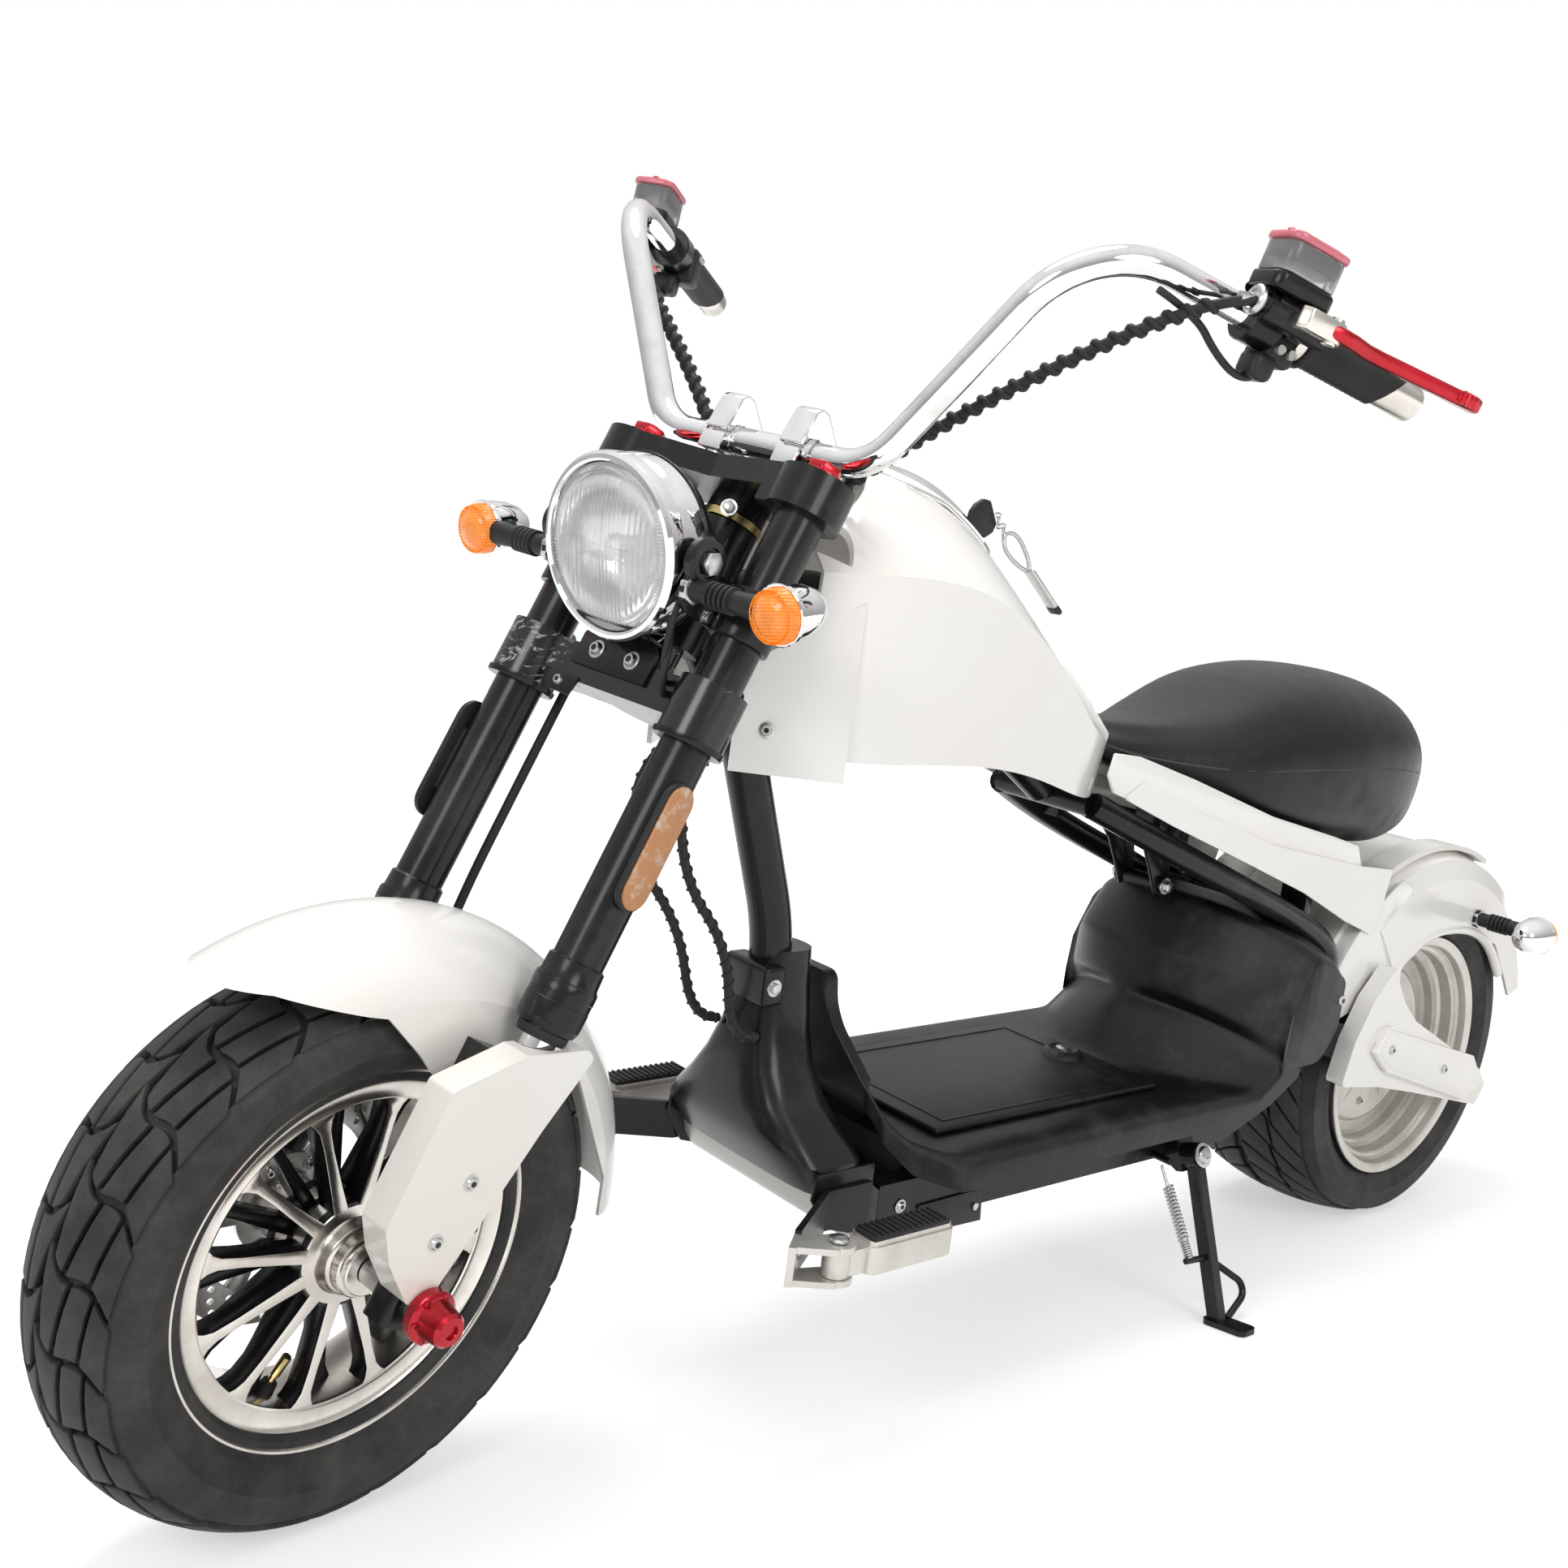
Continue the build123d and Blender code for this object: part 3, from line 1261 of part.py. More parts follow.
with BuildPart() as rear_fender:
    with BuildSketch():
        with BuildLine():
            half = rear_fender_half
            outer = rear_fender_radius
            Polyline(
                (168, half), (outer - 34, half), (outer - 10, half - 12), (outer, half - 40),
                (outer, 40 - half), (outer - 10, 12 - half), (outer - 34, -half), (168, -half),
                (168, wall - half), (outer - 36, wall - half), (outer - 14, 14 - half),
                (outer - wall, 42 - half), (outer - wall, half - 42), (outer - 14, half - 14),
                (outer - 36, half - wall), (168, half - wall), close=True,
            )
        make_face()
    revolve(axis=Axis.Y, revolution_arc=112)
rear_fender.part = Pos(rear_axle) * Rot(0, -162, 0) * rear_fender.part
with BuildPart() as rear_arch:
    outline(
        [(104, 321), (93, 375), (36, 414), (-70, 412), (-146, 388), (-190, 337), (-300, 200), (100, 200)],
        200, 400, corner=10,
    )
rear_fender.part = rear_fender.part - rear_arch.part
keep("rear_fender", rear_fender)

with BuildPart() as rear_signals:
    for side in (1, -1):
        signal((-77, side * (rear_fender_half + clear), 431), (-77, side * 210, 431), (-1, 0, 0))
keep("rear_signals", rear_signals)

with BuildPart() as tail_lamp:
    with BuildSketch():
        with Locations((rear_fender_radius + clear + 11, 0)):
            RectangleRounded(22, 96, 8)
    revolve(axis=Axis.Y, revolution_arc=9)
tail_lamp.part = Pos(rear_axle) * Rot(0, -146, 0) * tail_lamp.part
keep("tail_lamp", tail_lamp)

# Foot pegs: a bracket and a clevis on each side, and a folding peg on its pin
bracket_y = tray_half + clear
peg_x, peg_y = peg_pivot
clevis_plate = 6.0
clevis_play = 0.6
bracket_end = [(peg_x + 26, peg_y - 30), (peg_x + 22, peg_y - 25)]
end_gap = (0.78 * clear, 0.62 * clear)
with BuildPart() as peg_brackets:
    with BuildSketch(Plane.XY.offset(206)):
        with BuildLine():
            Polyline(
                (1006, bracket_y), (1064, bracket_y), *bracket_end,
                (1062, bracket_y + 5), (1006, bracket_y + 5), close=True,
            )
        make_face()
        mirror(about=Plane.XZ)
    extrude(amount=40)
keep("peg_brackets", peg_brackets)

with BuildPart() as peg_clevises:
    for low in (peg_low - clevis_play - clevis_plate, peg_high + clevis_play):
        with BuildSketch(Plane.XY.offset(low)):
            with BuildLine():
                Polyline(
                    (peg_x + 24, peg_y - 24), (peg_x + 44, peg_y - 8), (peg_x + 12, peg_y + 14),
                    (peg_x - 12, peg_y + 8), (peg_x, peg_y - 16), close=True,
                )
            make_face()
            with Locations(peg_pivot):
                Circle(16)
            with Locations(peg_pivot):
                Circle(4.1, mode=Mode.SUBTRACT)
            mirror(about=Plane.XZ)
        extrude(amount=clevis_plate)
    with BuildSketch(Plane.XY.offset(peg_low - clevis_play - clevis_plate)):
        with BuildLine():
            Polyline(
                *[(x + end_gap[0], y + end_gap[1]) for x, y in reversed(bracket_end)],
                (peg_x + 50, peg_y - 10), (peg_x + 44, peg_y - 6), close=True,
            )
        make_face()
        mirror(about=Plane.XZ)
    extrude(amount=peg_high - peg_low + 2 * (clevis_play + clevis_plate))
keep("peg_clevises", peg_clevises)

for side, peg_name in ((1, "peg_left"), (-1, "peg_right")):
    with BuildPart() as peg:
        with BuildSketch(Plane.XY.offset(peg_low)):
            with Locations((peg_x, side * peg_y)):
                Circle(13)
            with Locations((peg_x, side * peg_y)):
                Rectangle(peg_length, 22, align=(Align.MAX, Align.CENTER))
        extrude(amount=peg_high - peg_low)
        with BuildSketch(Plane.XY.offset(peg_low - 1)):
            with Locations((peg_x - peg_length / 2 - 12, side * peg_y)):
                RectangleRounded(peg_length - 28, 36, 8)
        extrude(amount=peg_high - peg_low + 2)
        with BuildSketch(Plane.XY.offset(peg_high + 1)):
            with Locations((peg_x - peg_length / 2 - 12, side * peg_y)):
                RectangleRounded(peg_length - 32, 32, 7)
        extrude(amount=5)
        with BuildSketch(Plane.XY.offset(peg_low - clevis_play - clevis_plate - 3)):
            with Locations((peg_x, side * peg_y)):
                Circle(4)
        extrude(amount=peg_high - peg_low + 2 * (clevis_play + clevis_plate) + 6)
    keep(peg_name, peg)

# Side stand: a square bar on a slanted pivot, its foot flat on the road
foot_point = Vector(*stand_foot, 0)
road_normal = road.z_dir
foot_rise = -((foot_point - road.origin).dot(road_normal)) / road_normal.Z
foot_point = foot_point + Vector(0, 0, foot_rise)
leg_run = foot_point + road_normal * 4 - stand_centre
foot_plane = Plane(foot_point, x_dir=(0, 1, 0), z_dir=road_normal)
hook_at = stand_centre + leg_run * 0.62
with BuildPart() as side_stand:
    rod(stand_centre - stand_hinge * (10 - clear), stand_centre + stand_hinge * 9, 15)
    rod(stand_centre + stand_hinge * 9, stand_centre + stand_hinge * 14, 8)
    with BuildSketch(Plane(stand_centre, x_dir=(1, 0, 0), z_dir=leg_run)):
        RectangleRounded(stand_bar, stand_bar, 2)
    extrude(amount=leg_run.length)
    with BuildSketch(foot_plane):
        with Locations((16, 0)):
            RectangleRounded(56, 28, 8)
    extrude(amount=6)
    tube(
        [stand_centre + leg_run * 0.63, stand_centre + leg_run * 0.86 + Vector(-52, 10, 4),
         foot_point + Vector(-10, 6, 7)],
        (14,), 4,
    )
    rod(hook_at, hook_at + Vector(40, -2, 2), 3.5)
keep("side_stand", side_stand)

spring_radius = 8.0
spring_start = spring_top + Vector(0, 5, -4 - clear)
spring_end = hook_at + Vector(32, -6, 9)
spring_tilt = (spring_end - spring_start).normalized()
spring_start = spring_start - Vector(0, 0, spring_radius * sqrt(spring_tilt.X**2 + spring_tilt.Y**2))
with BuildPart() as stand_spring:
    rod(spring_start, spring_end, spring_radius, 5.5)
keep("stand_spring", stand_spring)

# Hoses: one from each master cylinder to the lower clamp, one down to the front
# caliper, and the wiring sleeve that hangs in a loop before the down tube
hose_tail = fork_point(fork_offset - 40 - clear, 0, lower_clamp_low + 32)
hose_y = 48.0
with BuildPart() as steering_hoses:
    for flip in (1, -1):
        start = on_bar(-24 - clear, 32, 6, flip)
        away = Vector(bar_run.X, flip * bar_run.Y, bar_run.Z) * -1
        tube(
            [start, start + away * 70, fork_point(-34, flip * hose_y, upper_clamp_high + 20),
             fork_point(-34, flip * hose_y, lower_clamp_low + 32), Vector(hose_tail.X, flip * hose_y, hose_tail.Z)],
            (60, 50, 20), hose_radius,
        )
    tube(
        [fork_point(fork_offset - 34, -86, lower_clamp_low + 13), fork_point(fork_offset - 34, -86, 440),
         fork_point(fork_offset - 46, -96, 250), Vector(caliper_x - 8, -72, caliper_z + 38)],
        (60, 60), hose_radius - 1,
    )
keep("steering_hoses", steering_hoses, turns=True)

with BuildPart() as frame_loom:
    for side in (1, -1):
        tube(
            [(1150, side * 27, 676), (1224, side * 34, 640), (1216, side * 38, 540), (1150, side * 38, 466),
             (1130, side * 30, 372), (1100.3, side * 30, 372)],
            (40, 50, 70, 24), hose_radius - 1,
        )
keep("frame_loom", frame_loom)

# Parked pose: every piece turned, leant and centred over the origin
for name in steered:
    pieces[name].part = pieces[name].part.rotate(steering_axis, steer_rest)
for builder in pieces.values():
    builder.part = parked * builder.part
boxes = [builder.part.bounding_box() for builder in pieces.values()]
middle = Pos(
    -(min(box.min.X for box in boxes) + max(box.max.X for box in boxes)) / 2,
    -(min(box.min.Y for box in boxes) + max(box.max.Y for box in boxes)) / 2,
    0,
)

os.makedirs("parts", exist_ok=True)
for name, builder in pieces.items():
    builder.part = middle * builder.part
    builder.part.label = name
    export_step(builder.part, f"parts/{name}.step")
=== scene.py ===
import json
from math import asin, atan2, cos, log, pi, radians, sin, sqrt

import bmesh
import bpy
from mathutils import Matrix, Vector
from mathutils.bvhtree import BVHTree


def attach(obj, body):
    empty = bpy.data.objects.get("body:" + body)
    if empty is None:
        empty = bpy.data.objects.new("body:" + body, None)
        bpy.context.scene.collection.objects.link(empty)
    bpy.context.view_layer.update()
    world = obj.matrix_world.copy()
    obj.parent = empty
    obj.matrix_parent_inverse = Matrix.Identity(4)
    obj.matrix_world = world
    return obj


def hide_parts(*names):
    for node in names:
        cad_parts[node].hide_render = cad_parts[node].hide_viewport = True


bl_info = {
    "name": "Chopper scooter",
    "version": (1, 0, 0),
    "blender": (4, 5, 0),
    "location": "View3D > Sidebar > Chopper",
    "description": "Builds the looks of an electric chopper scooter around its packed frame",
    "category": "Add Mesh",
}

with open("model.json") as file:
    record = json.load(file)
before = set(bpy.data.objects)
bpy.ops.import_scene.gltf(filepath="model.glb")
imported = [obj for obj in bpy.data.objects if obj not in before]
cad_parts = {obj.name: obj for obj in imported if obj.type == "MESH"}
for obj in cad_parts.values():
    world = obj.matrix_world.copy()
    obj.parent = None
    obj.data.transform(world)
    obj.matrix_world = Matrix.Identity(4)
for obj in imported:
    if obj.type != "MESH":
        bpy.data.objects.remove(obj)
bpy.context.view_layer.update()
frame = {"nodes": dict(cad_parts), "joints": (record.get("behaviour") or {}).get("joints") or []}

# Places. Pieces are drawn in millimetres on the upright vehicle: X forward, Y to
# the left, Z up, the rear axle over X 0.
MM = 0.001
LEAN = radians(-8.0)
PITCH = radians(0.0978057)
STEER = radians(9.6)
REAR_AXLE = Vector((0.0, 0.0, 238.0))
FRONT_AXLE = Vector((1514.0, 0.0, 243.0))
FORK_FOOT = Vector((1474.106, 0.0, 223.971))
FORK_AHEAD = Vector((0.902585, 0.0, 0.430511))
FORK_UP = Vector((-0.430511, 0.0, 0.902585))

rear_joint = next(j for j in frame["joints"] if j["name"] == "rear_wheel_spin")
TURN = Matrix.Rotation(PITCH, 4, "Y") @ Matrix.Rotation(LEAN, 4, "X") @ Matrix.Scale(MM, 4)
ORIGIN = Vector(rear_joint["pos_m"]) - TURN @ REAR_AXLE
VEHICLE = Matrix.Translation(ORIGIN) @ TURN
STEERED = (VEHICLE @ Matrix.Translation(FORK_FOOT) @ Matrix.Rotation(STEER, 4, FORK_UP)
           @ Matrix.Translation(-FORK_FOOT))
FORK_BASIS = Matrix.Translation(FORK_FOOT) @ Matrix(
    (FORK_AHEAD, (0, 1, 0), FORK_UP)).transposed().to_4x4()
FORK = STEERED @ FORK_BASIS
TO_WHEEL = Matrix.Rotation(radians(-90.0), 4, "X")
FRONT_WHEEL = STEERED @ Matrix.Translation(FRONT_AXLE) @ TO_WHEEL
REAR_WHEEL = VEHICLE @ Matrix.Translation(REAR_AXLE) @ TO_WHEEL
MIRROR = Matrix.Scale(-1.0, 4, (0, 1, 0))
BOTH_SIDES = (Matrix.Identity(4), MIRROR)
LEG_AHEAD, LEG_ASIDE = 38.6, 107.0

# The finishes of bolts: the heads, and their sockets.
BOLTED = ("bright_steel", "black_plastic")

# Where a piece belongs: its place, and the body that it rides on.
ON_FRAME = (VEHICLE, "chassis")
ON_STEERING = (STEERED, "steering")
ON_FORK = (FORK, "steering")


def along(a, b, up=(0, 0, 1)):
    """A matrix at a whose Z points to b."""
    a, b = Vector(a), Vector(b)
    z = (b - a).normalized()
    x = Vector(up).cross(z)
    if x.length < 1e-4:
        x = Vector((0, 1, 0)).cross(z)
    x.normalize()
    return Matrix.Translation(a) @ Matrix((x, z.cross(x), z)).transposed().to_4x4()


def shift(x, y, z):
    return Matrix.Translation((x, y, z))


def turned_by(degrees, axis="Z"):
    return Matrix.Rotation(radians(degrees), 4, axis)


def on_leg(side):
    """The axis of one fork leg, in the fork's own places."""
    return shift(LEG_AHEAD, side * LEG_ASIDE, 0)


def show(name, data):
    """An object of a mesh, or of a curve, in the scene."""
    made = bpy.data.objects.new(name, data)
    bpy.context.collection.objects.link(made)
    return made


def settled(holder):
    """The mesh of an object once its curve or its modifiers are worked out."""
    bpy.context.view_layer.update()
    ready = holder.evaluated_get(bpy.context.evaluated_depsgraph_get())
    return bpy.data.meshes.new_from_object(ready)


# Shapes
class Shape:
    """A mesh in the making, in millimetres."""

    def __init__(self):
        self.bm = bmesh.new()

    def mesh(self, name):
        mesh = bpy.data.meshes.new(name)
        self.bm.to_mesh(mesh)
        return mesh

    def face(self, points):
        return self.bm.faces.new([self.bm.verts.new(point) for point in points])

    def pull(self, faces, height):
        """Extrudes flat faces upwards."""
        pulled = bmesh.ops.extrude_face_region(self.bm, geom=faces)
        up = [v for v in pulled["geom"] if isinstance(v, bmesh.types.BMVert)]
        bmesh.ops.translate(self.bm, verts=up, vec=(0, 0, height))
        return self.outward()

    def at(self, *matrices):
        for matrix in matrices:
            self.bm.transform(matrix)
        return self

    def paint(self, index):
        for face in self.bm.faces:
            face.material_index = index
        return self

    def add(self, other, *places):
        for place in places or (Matrix.Identity(4),):
            mesh = other.mesh("passing")
            mesh.transform(place)
            if place.determinant() < 0:
                mesh.flip_normals()
            self.bm.from_mesh(mesh)
            bpy.data.meshes.remove(mesh)
        return self

    def bevel(self, width, segments=2, limit=35.0):
        edges = [e for e in self.bm.edges
                 if len(e.link_faces) == 2 and e.calc_face_angle(0.0) > radians(limit)]
        bmesh.ops.bevel(self.bm, geom=edges, offset=width, segments=segments, profile=0.5,
                        affect="EDGES", material=-1, clamp_overlap=True)
        return self

    def warp(self, move):
        for vert in self.bm.verts:
            vert.co = move(vert.co)
        return self

    def outward(self):
        bmesh.ops.remove_doubles(self.bm, verts=self.bm.verts, dist=0.01)
        bmesh.ops.recalc_face_normals(self.bm, faces=self.bm.faces)
        return self


def lathe(profile, steps=96, closed=True):
    """A profile of (radius, height) turned about Z. A closed one joins its ends."""
    shape = Shape()
    verts = [shape.bm.verts.new((r, 0.0, z)) for r, z in profile]
    pairs = list(zip(verts, verts[1:])) + ([(verts[-1], verts[0])] if closed else [])
    edges = [shape.bm.edges.new(pair) for pair in pairs]
    bmesh.ops.spin(shape.bm, geom=verts + edges, cent=(0, 0, 0), axis=(0, 0, 1),
                   angle=2 * pi, steps=steps, use_merge=True)
    return shape.outward()


def dome(profile, steps=96):
    """A profile turned about Z, with its ends left open or on the axis."""
    return lathe(profile, steps, closed=False)


def rod(a, b, radius, sides=24, edge=0.0):
    """A round bar from a to b."""
    a, b = Vector(a), Vector(b)
    shape = Shape()
    bmesh.ops.create_cone(shape.bm, cap_ends=True, segments=sides, radius1=radius,
                          radius2=radius, depth=(b - a).length)
    shape.at(shift(0, 0, (b - a).length / 2), along(a, b))
    return shape.bevel(edge, 2, 60.0) if edge else shape


def block(size, at=(0, 0, 0), edge=1.0, segments=2):
    shape = Shape()
    bmesh.ops.create_cube(shape.bm, size=1.0)
    shape.at(Matrix.Diagonal((*size, 1.0)), shift(*at))
    return shape.bevel(edge, segments) if edge else shape


def plate(outline, thickness, edge=1.0, segments=2, limit=35.0):
    """A flat outline of (x, y) pulled up along Z, its edges rounded."""
    shape = Shape()
    shape.pull([shape.face([(x, y, 0.0) for x, y in outline])], thickness)
    return shape.bevel(edge, segments, limit) if edge else shape


def pipe(points, radius, order=3, sides=6, straight=False, resolution=10):
    """A round tube along a smooth line through the controls."""
    curve = bpy.data.curves.new("passing", "CURVE")
    curve.dimensions = "3D"
    spline = curve.splines.new("POLY" if straight else "NURBS")
    spline.points.add(len(points) - 1)
    for target, point in zip(spline.points, points):
        target.co = (*point, 1.0)
    if not straight:
        spline.order_u = order
        spline.use_endpoint_u = True
        spline.resolution_u = resolution
    if radius:
        curve.bevel_depth = radius
        curve.bevel_resolution = sides
        curve.use_fill_caps = True
    holder = show("passing", curve)
    mesh = settled(holder)
    shape = Shape()
    shape.bm.from_mesh(mesh)
    bpy.data.objects.remove(holder)
    bpy.data.curves.remove(curve)
    bpy.data.meshes.remove(mesh)
    return shape.outward() if radius else shape


def ring(major, minor, steps=48, sides=12):
    """A round ring about Z."""
    return lathe([(major + minor * cos(2 * pi * i / sides), minor * sin(2 * pi * i / sides))
                  for i in range(sides)], steps)


def coil(radius, wire, pitch, turns, sides=8, steps=20):
    """A helical spring about Z, from Z 0 up."""
    shape = Shape()
    made = bmesh.ops.create_circle(shape.bm, cap_ends=True, segments=sides, radius=wire)
    bmesh.ops.rotate(shape.bm, verts=made["verts"], cent=(0, 0, 0),
                     matrix=Matrix.Rotation(pi / 2, 3, "X"))
    bmesh.ops.translate(shape.bm, verts=made["verts"], vec=(radius, 0, 0))
    bmesh.ops.spin(shape.bm, geom=shape.bm.faces[:], cent=(0, 0, 0), dvec=(0, 0, pitch / steps),
                   axis=(0, 0, 1), angle=2 * pi * turns, steps=int(steps * turns))
    return shape.outward()


def bolt(radius=5.0, height=4.0, socket=True):
    """A button head on a washer, with a hexagon socket, pointing up Z."""
    shape = dome([(0.0, 0.0), (radius * 1.35, 0.0), (radius * 1.35, 1.0), (radius, 1.2),
                   (radius * 0.96, height * 0.55), (radius * 0.75, height),
                   (0.0, height)], 24)
    if socket:
        top = rod((0, 0, height - 0.4), (0, 0, height + 0.25), radius * 0.5, 6)
        shape.add(top.paint(1))
    return shape


def hex_bolt(radius=6.0, height=5.0):
    shape = dome([(0.0, 0.0), (radius * 1.4, 0.0), (radius * 1.4, 1.2), (0.0, 1.2)], 24)
    return shape.add(rod((0, 0, 1.0), (0, 0, height), radius, 6, edge=0.7))


def piece(name, shape, place, body, slot, finishes, replaces=(), sharp=32.0):
    """Puts a finished shape into the scene, riding on a body of the frame."""
    shape.bm.transform(place)
    shape.bm.normal_update()
    for face in shape.bm.faces:
        face.smooth = True
    for edge in shape.bm.edges:
        if len(edge.link_faces) == 2:
            edge.smooth = edge.calc_face_angle(0.0) < radians(sharp)
    mesh = shape.mesh(name)
    shape.bm.free()
    for kind in finishes:
        mesh.materials.append(FINISHES[kind]())
    made = show(name, mesh)
    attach(made, body)
    if replaces:
        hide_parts(*replaces)


# Finishes
class Value:
    """A shader socket that takes part in arithmetic."""

    def __init__(self, tree, socket):
        self.tree, self.socket = tree, socket

    def math(self, operation, *others, clamp=False):
        node = self.tree.nodes.new("ShaderNodeMath")
        node.operation, node.use_clamp = operation, clamp
        for slot, value in zip(node.inputs, (self, *others)):
            join(self.tree, slot, value)
        return Value(self.tree, node.outputs[0])

    def __add__(self, other):
        return self.math("ADD", other)

    def __sub__(self, other):
        return self.math("SUBTRACT", other)

    def __rsub__(self, other):
        return self * -1.0 + other

    def __mul__(self, other):
        return self.math("MULTIPLY", other)

    __radd__, __rmul__ = __add__, __mul__

    def smooth(self, low, high):
        """0 below low, 1 above high."""
        return ((self - low) * (1.0 / (high - low))).math("ADD", 0.0, clamp=True)


def join(tree, slot, value):
    """Links a value to a socket, or sets the socket to a plain value."""
    if isinstance(value, Value):
        tree.links.new(value.socket, slot)
    elif slot.type == "RGBA" and len(value) == 3:
        slot.default_value = (*value, 1.0)
    else:
        slot.default_value = value


def rays(tree, *kinds):
    """1 for rays of the kinds named."""
    path = tree.nodes.new("ShaderNodeLightPath")
    seen = [Value(tree, path.outputs["Is " + kind + " Ray"]) for kind in kinds]
    return sum(seen[1:], seen[0]).math("MINIMUM", 1.0)


class Finish:
    """A procedural material and the nodes that vary it."""

    def __init__(self, name, **constants):
        self.material = bpy.data.materials.new(name)
        self.material.use_nodes = True
        self.tree = self.material.node_tree
        self.shader = self.tree.nodes["Principled BSDF"]
        for socket, value in constants.items():
            self.set(socket.replace("_", " ").title().replace("Ior", "IOR"), value)

    def set(self, socket, value):
        join(self.tree, self.shader.inputs[socket], value)

    def node(self, kind, settings=None, output=0, **sockets):
        node = self.tree.nodes.new("ShaderNode" + kind)
        for key, value in (settings or {}).items():
            setattr(node, key, value)
        for key, value in sockets.items():
            name = key.replace("_", " ")
            slot = next(s for s in node.inputs if s.name == name and s.enabled)
            join(self.tree, slot, value)
        return Value(self.tree, node.outputs[output])

    def coords(self, scale=(1.0, 1.0, 1.0)):
        node = self.tree.nodes.new("ShaderNodeTexCoord")
        return self.node("Mapping", Vector=Value(self.tree, node.outputs["Object"]), Scale=scale)

    def noise(self, scale, detail=3.0, roughness=0.55, coords=None, distortion=0.0):
        return self.node("TexNoise", Vector=coords or self.coords(), Scale=scale,
                         Detail=detail, Roughness=roughness, Distortion=distortion)

    def blend(self, factor, a, b):
        node = self.tree.nodes.new("ShaderNodeMix")
        node.data_type = "RGBA"
        for index, value in ((0, factor), (6, a), (7, b)):
            join(self.tree, node.inputs[index], value)
        return Value(self.tree, node.outputs[2])

    def cells(self, scale, feature="F1", **settings):
        return self.node("TexVoronoi", {"feature": feature, **settings}, Vector=self.coords(),
                         Scale=scale)

    def dress(self, colour, roughness=None, bump=None):
        """Feeds what varies: a bump is a height, its distance in metres and its strength."""
        self.set("Base Color", colour)
        if roughness:
            self.set("Roughness", roughness)
        if bump:
            height, distance, strength = bump
            self.set("Normal", self.node("Bump", Height=height, Distance=distance,
                                         Strength=strength))


FINISHES = {}


def finish(**constants):
    """Keeps one material for each finish, made when a piece first asks for it."""
    def keep(maker):
        kept = []

        def get():
            if not kept:
                f = Finish(maker.__name__, **constants)
                f.dress(*maker(f))
                kept.append(f.material)
            return kept[0]

        FINISHES[maker.__name__] = get
        return get

    return keep


def colours():
    return bpy.context.scene.chopper_colours


@finish(coat_weight=0.5, coat_roughness=0.06, ior=1.5)
def white_gloss(f):
    """Sprayed plastic panels, with faintly warmer clouds."""
    tone = tuple(colours().panel)
    warm = (tone[0] * 0.97, tone[1] * 0.94, tone[2] * 0.89)
    return (f.blend(f.noise(2.4, 2.0).smooth(0.35, 0.75), tone, warm),
            f.noise(26.0, 4.0) * 0.10 + 0.16, (f.noise(340.0, 2.0), 0.0003, 0.12))


@finish(specular_ior_level=0.24, coat_weight=0.12, coat_roughness=0.06)
def black_gloss(f):
    """Stove-enamelled steel with a little dust and rubbing."""
    dust = f.noise(9.0, 6.0, 0.65).smooth(0.50, 0.85)
    return (f.blend(dust, tuple(colours().enamel), (0.045, 0.043, 0.04)),
            f.noise(40.0, 4.0) * 0.16 + 0.19, (f.noise(420.0, 3.0), 0.0004, 0.14))


@finish(coat_roughness=0.1)
def scuffed_black(f):
    """Enamel rubbed through to pale metal in short strokes."""
    strokes = f.noise(60.0, 6.0, 0.7, f.coords((0.35, 1.0, 2.2)), 1.4)
    worn = strokes.smooth(0.565, 0.60) * f.noise(17.0, 3.0).smooth(0.53, 0.62)
    return (f.blend(worn, tuple(colours().enamel), (0.42, 0.41, 0.39)), worn * 0.35 + 0.2,
            (worn * -1.0 + f.noise(420.0) * 0.2, 0.0006, 0.4))


@finish(metallic=1.0)
def chrome(f):
    """Bright plating with fingermarks."""
    smear = f.noise(22.0, 5.0, 0.6, distortion=0.6)
    return (f.blend(smear.smooth(0.45, 0.8), (0.80, 0.80, 0.80), (0.62, 0.61, 0.59)),
            smear * 0.09 + 0.02)


@finish(metallic=0.75)
def cast_alloy(f):
    """Pale cast aluminium with a fine grain."""
    grain = f.noise(130.0, 5.0, 0.6)
    stain = f.noise(11.0, 5.0, 0.65).smooth(0.42, 0.8)
    return (f.blend(stain, (0.66, 0.64, 0.60), (0.44, 0.40, 0.35)), grain * 0.22 + 0.30,
            (grain, 0.0005, 0.35))


@finish(metallic=1.0)
def turned_alloy(f):
    """Lathe-cut aluminium, with fine tool marks and water spots."""
    stain = f.noise(14.0, 5.0, 0.65)
    return (f.blend(stain.smooth(0.40, 0.85), (0.74, 0.71, 0.66), (0.50, 0.45, 0.39)),
            stain * 0.20 + 0.13, (f.noise(700.0, 2.0, 0.5), 0.0003, 0.2))


@finish(metallic=1.0)
def bright_steel(f):
    """Plated bolts and springs, finely scratched."""
    scratch = f.noise(180.0, 4.0, 0.6, f.coords((1.0, 0.12, 1.0)))
    return (f.blend(scratch, (0.62, 0.62, 0.61), (0.44, 0.44, 0.43)), scratch * 0.25 + 0.18,
            (scratch, 0.0003, 0.3))


@finish(metallic=1.0)
def brass(f):
    """Yellow-passivated steel."""
    cloud = f.noise(60.0, 4.0)
    return f.blend(cloud, (0.72, 0.55, 0.24), (0.45, 0.38, 0.18)), cloud * 0.2 + 0.22


@finish(metallic=0.85, coat_weight=0.4, coat_roughness=0.1)
def red_anodised(f):
    """Dyed caps, knobs and levers."""
    cloud = f.noise(45.0, 4.0)
    tone = tuple(colours().accent)
    return f.blend(cloud, tone, tuple(c * 0.7 for c in tone)), cloud * 0.16 + 0.2


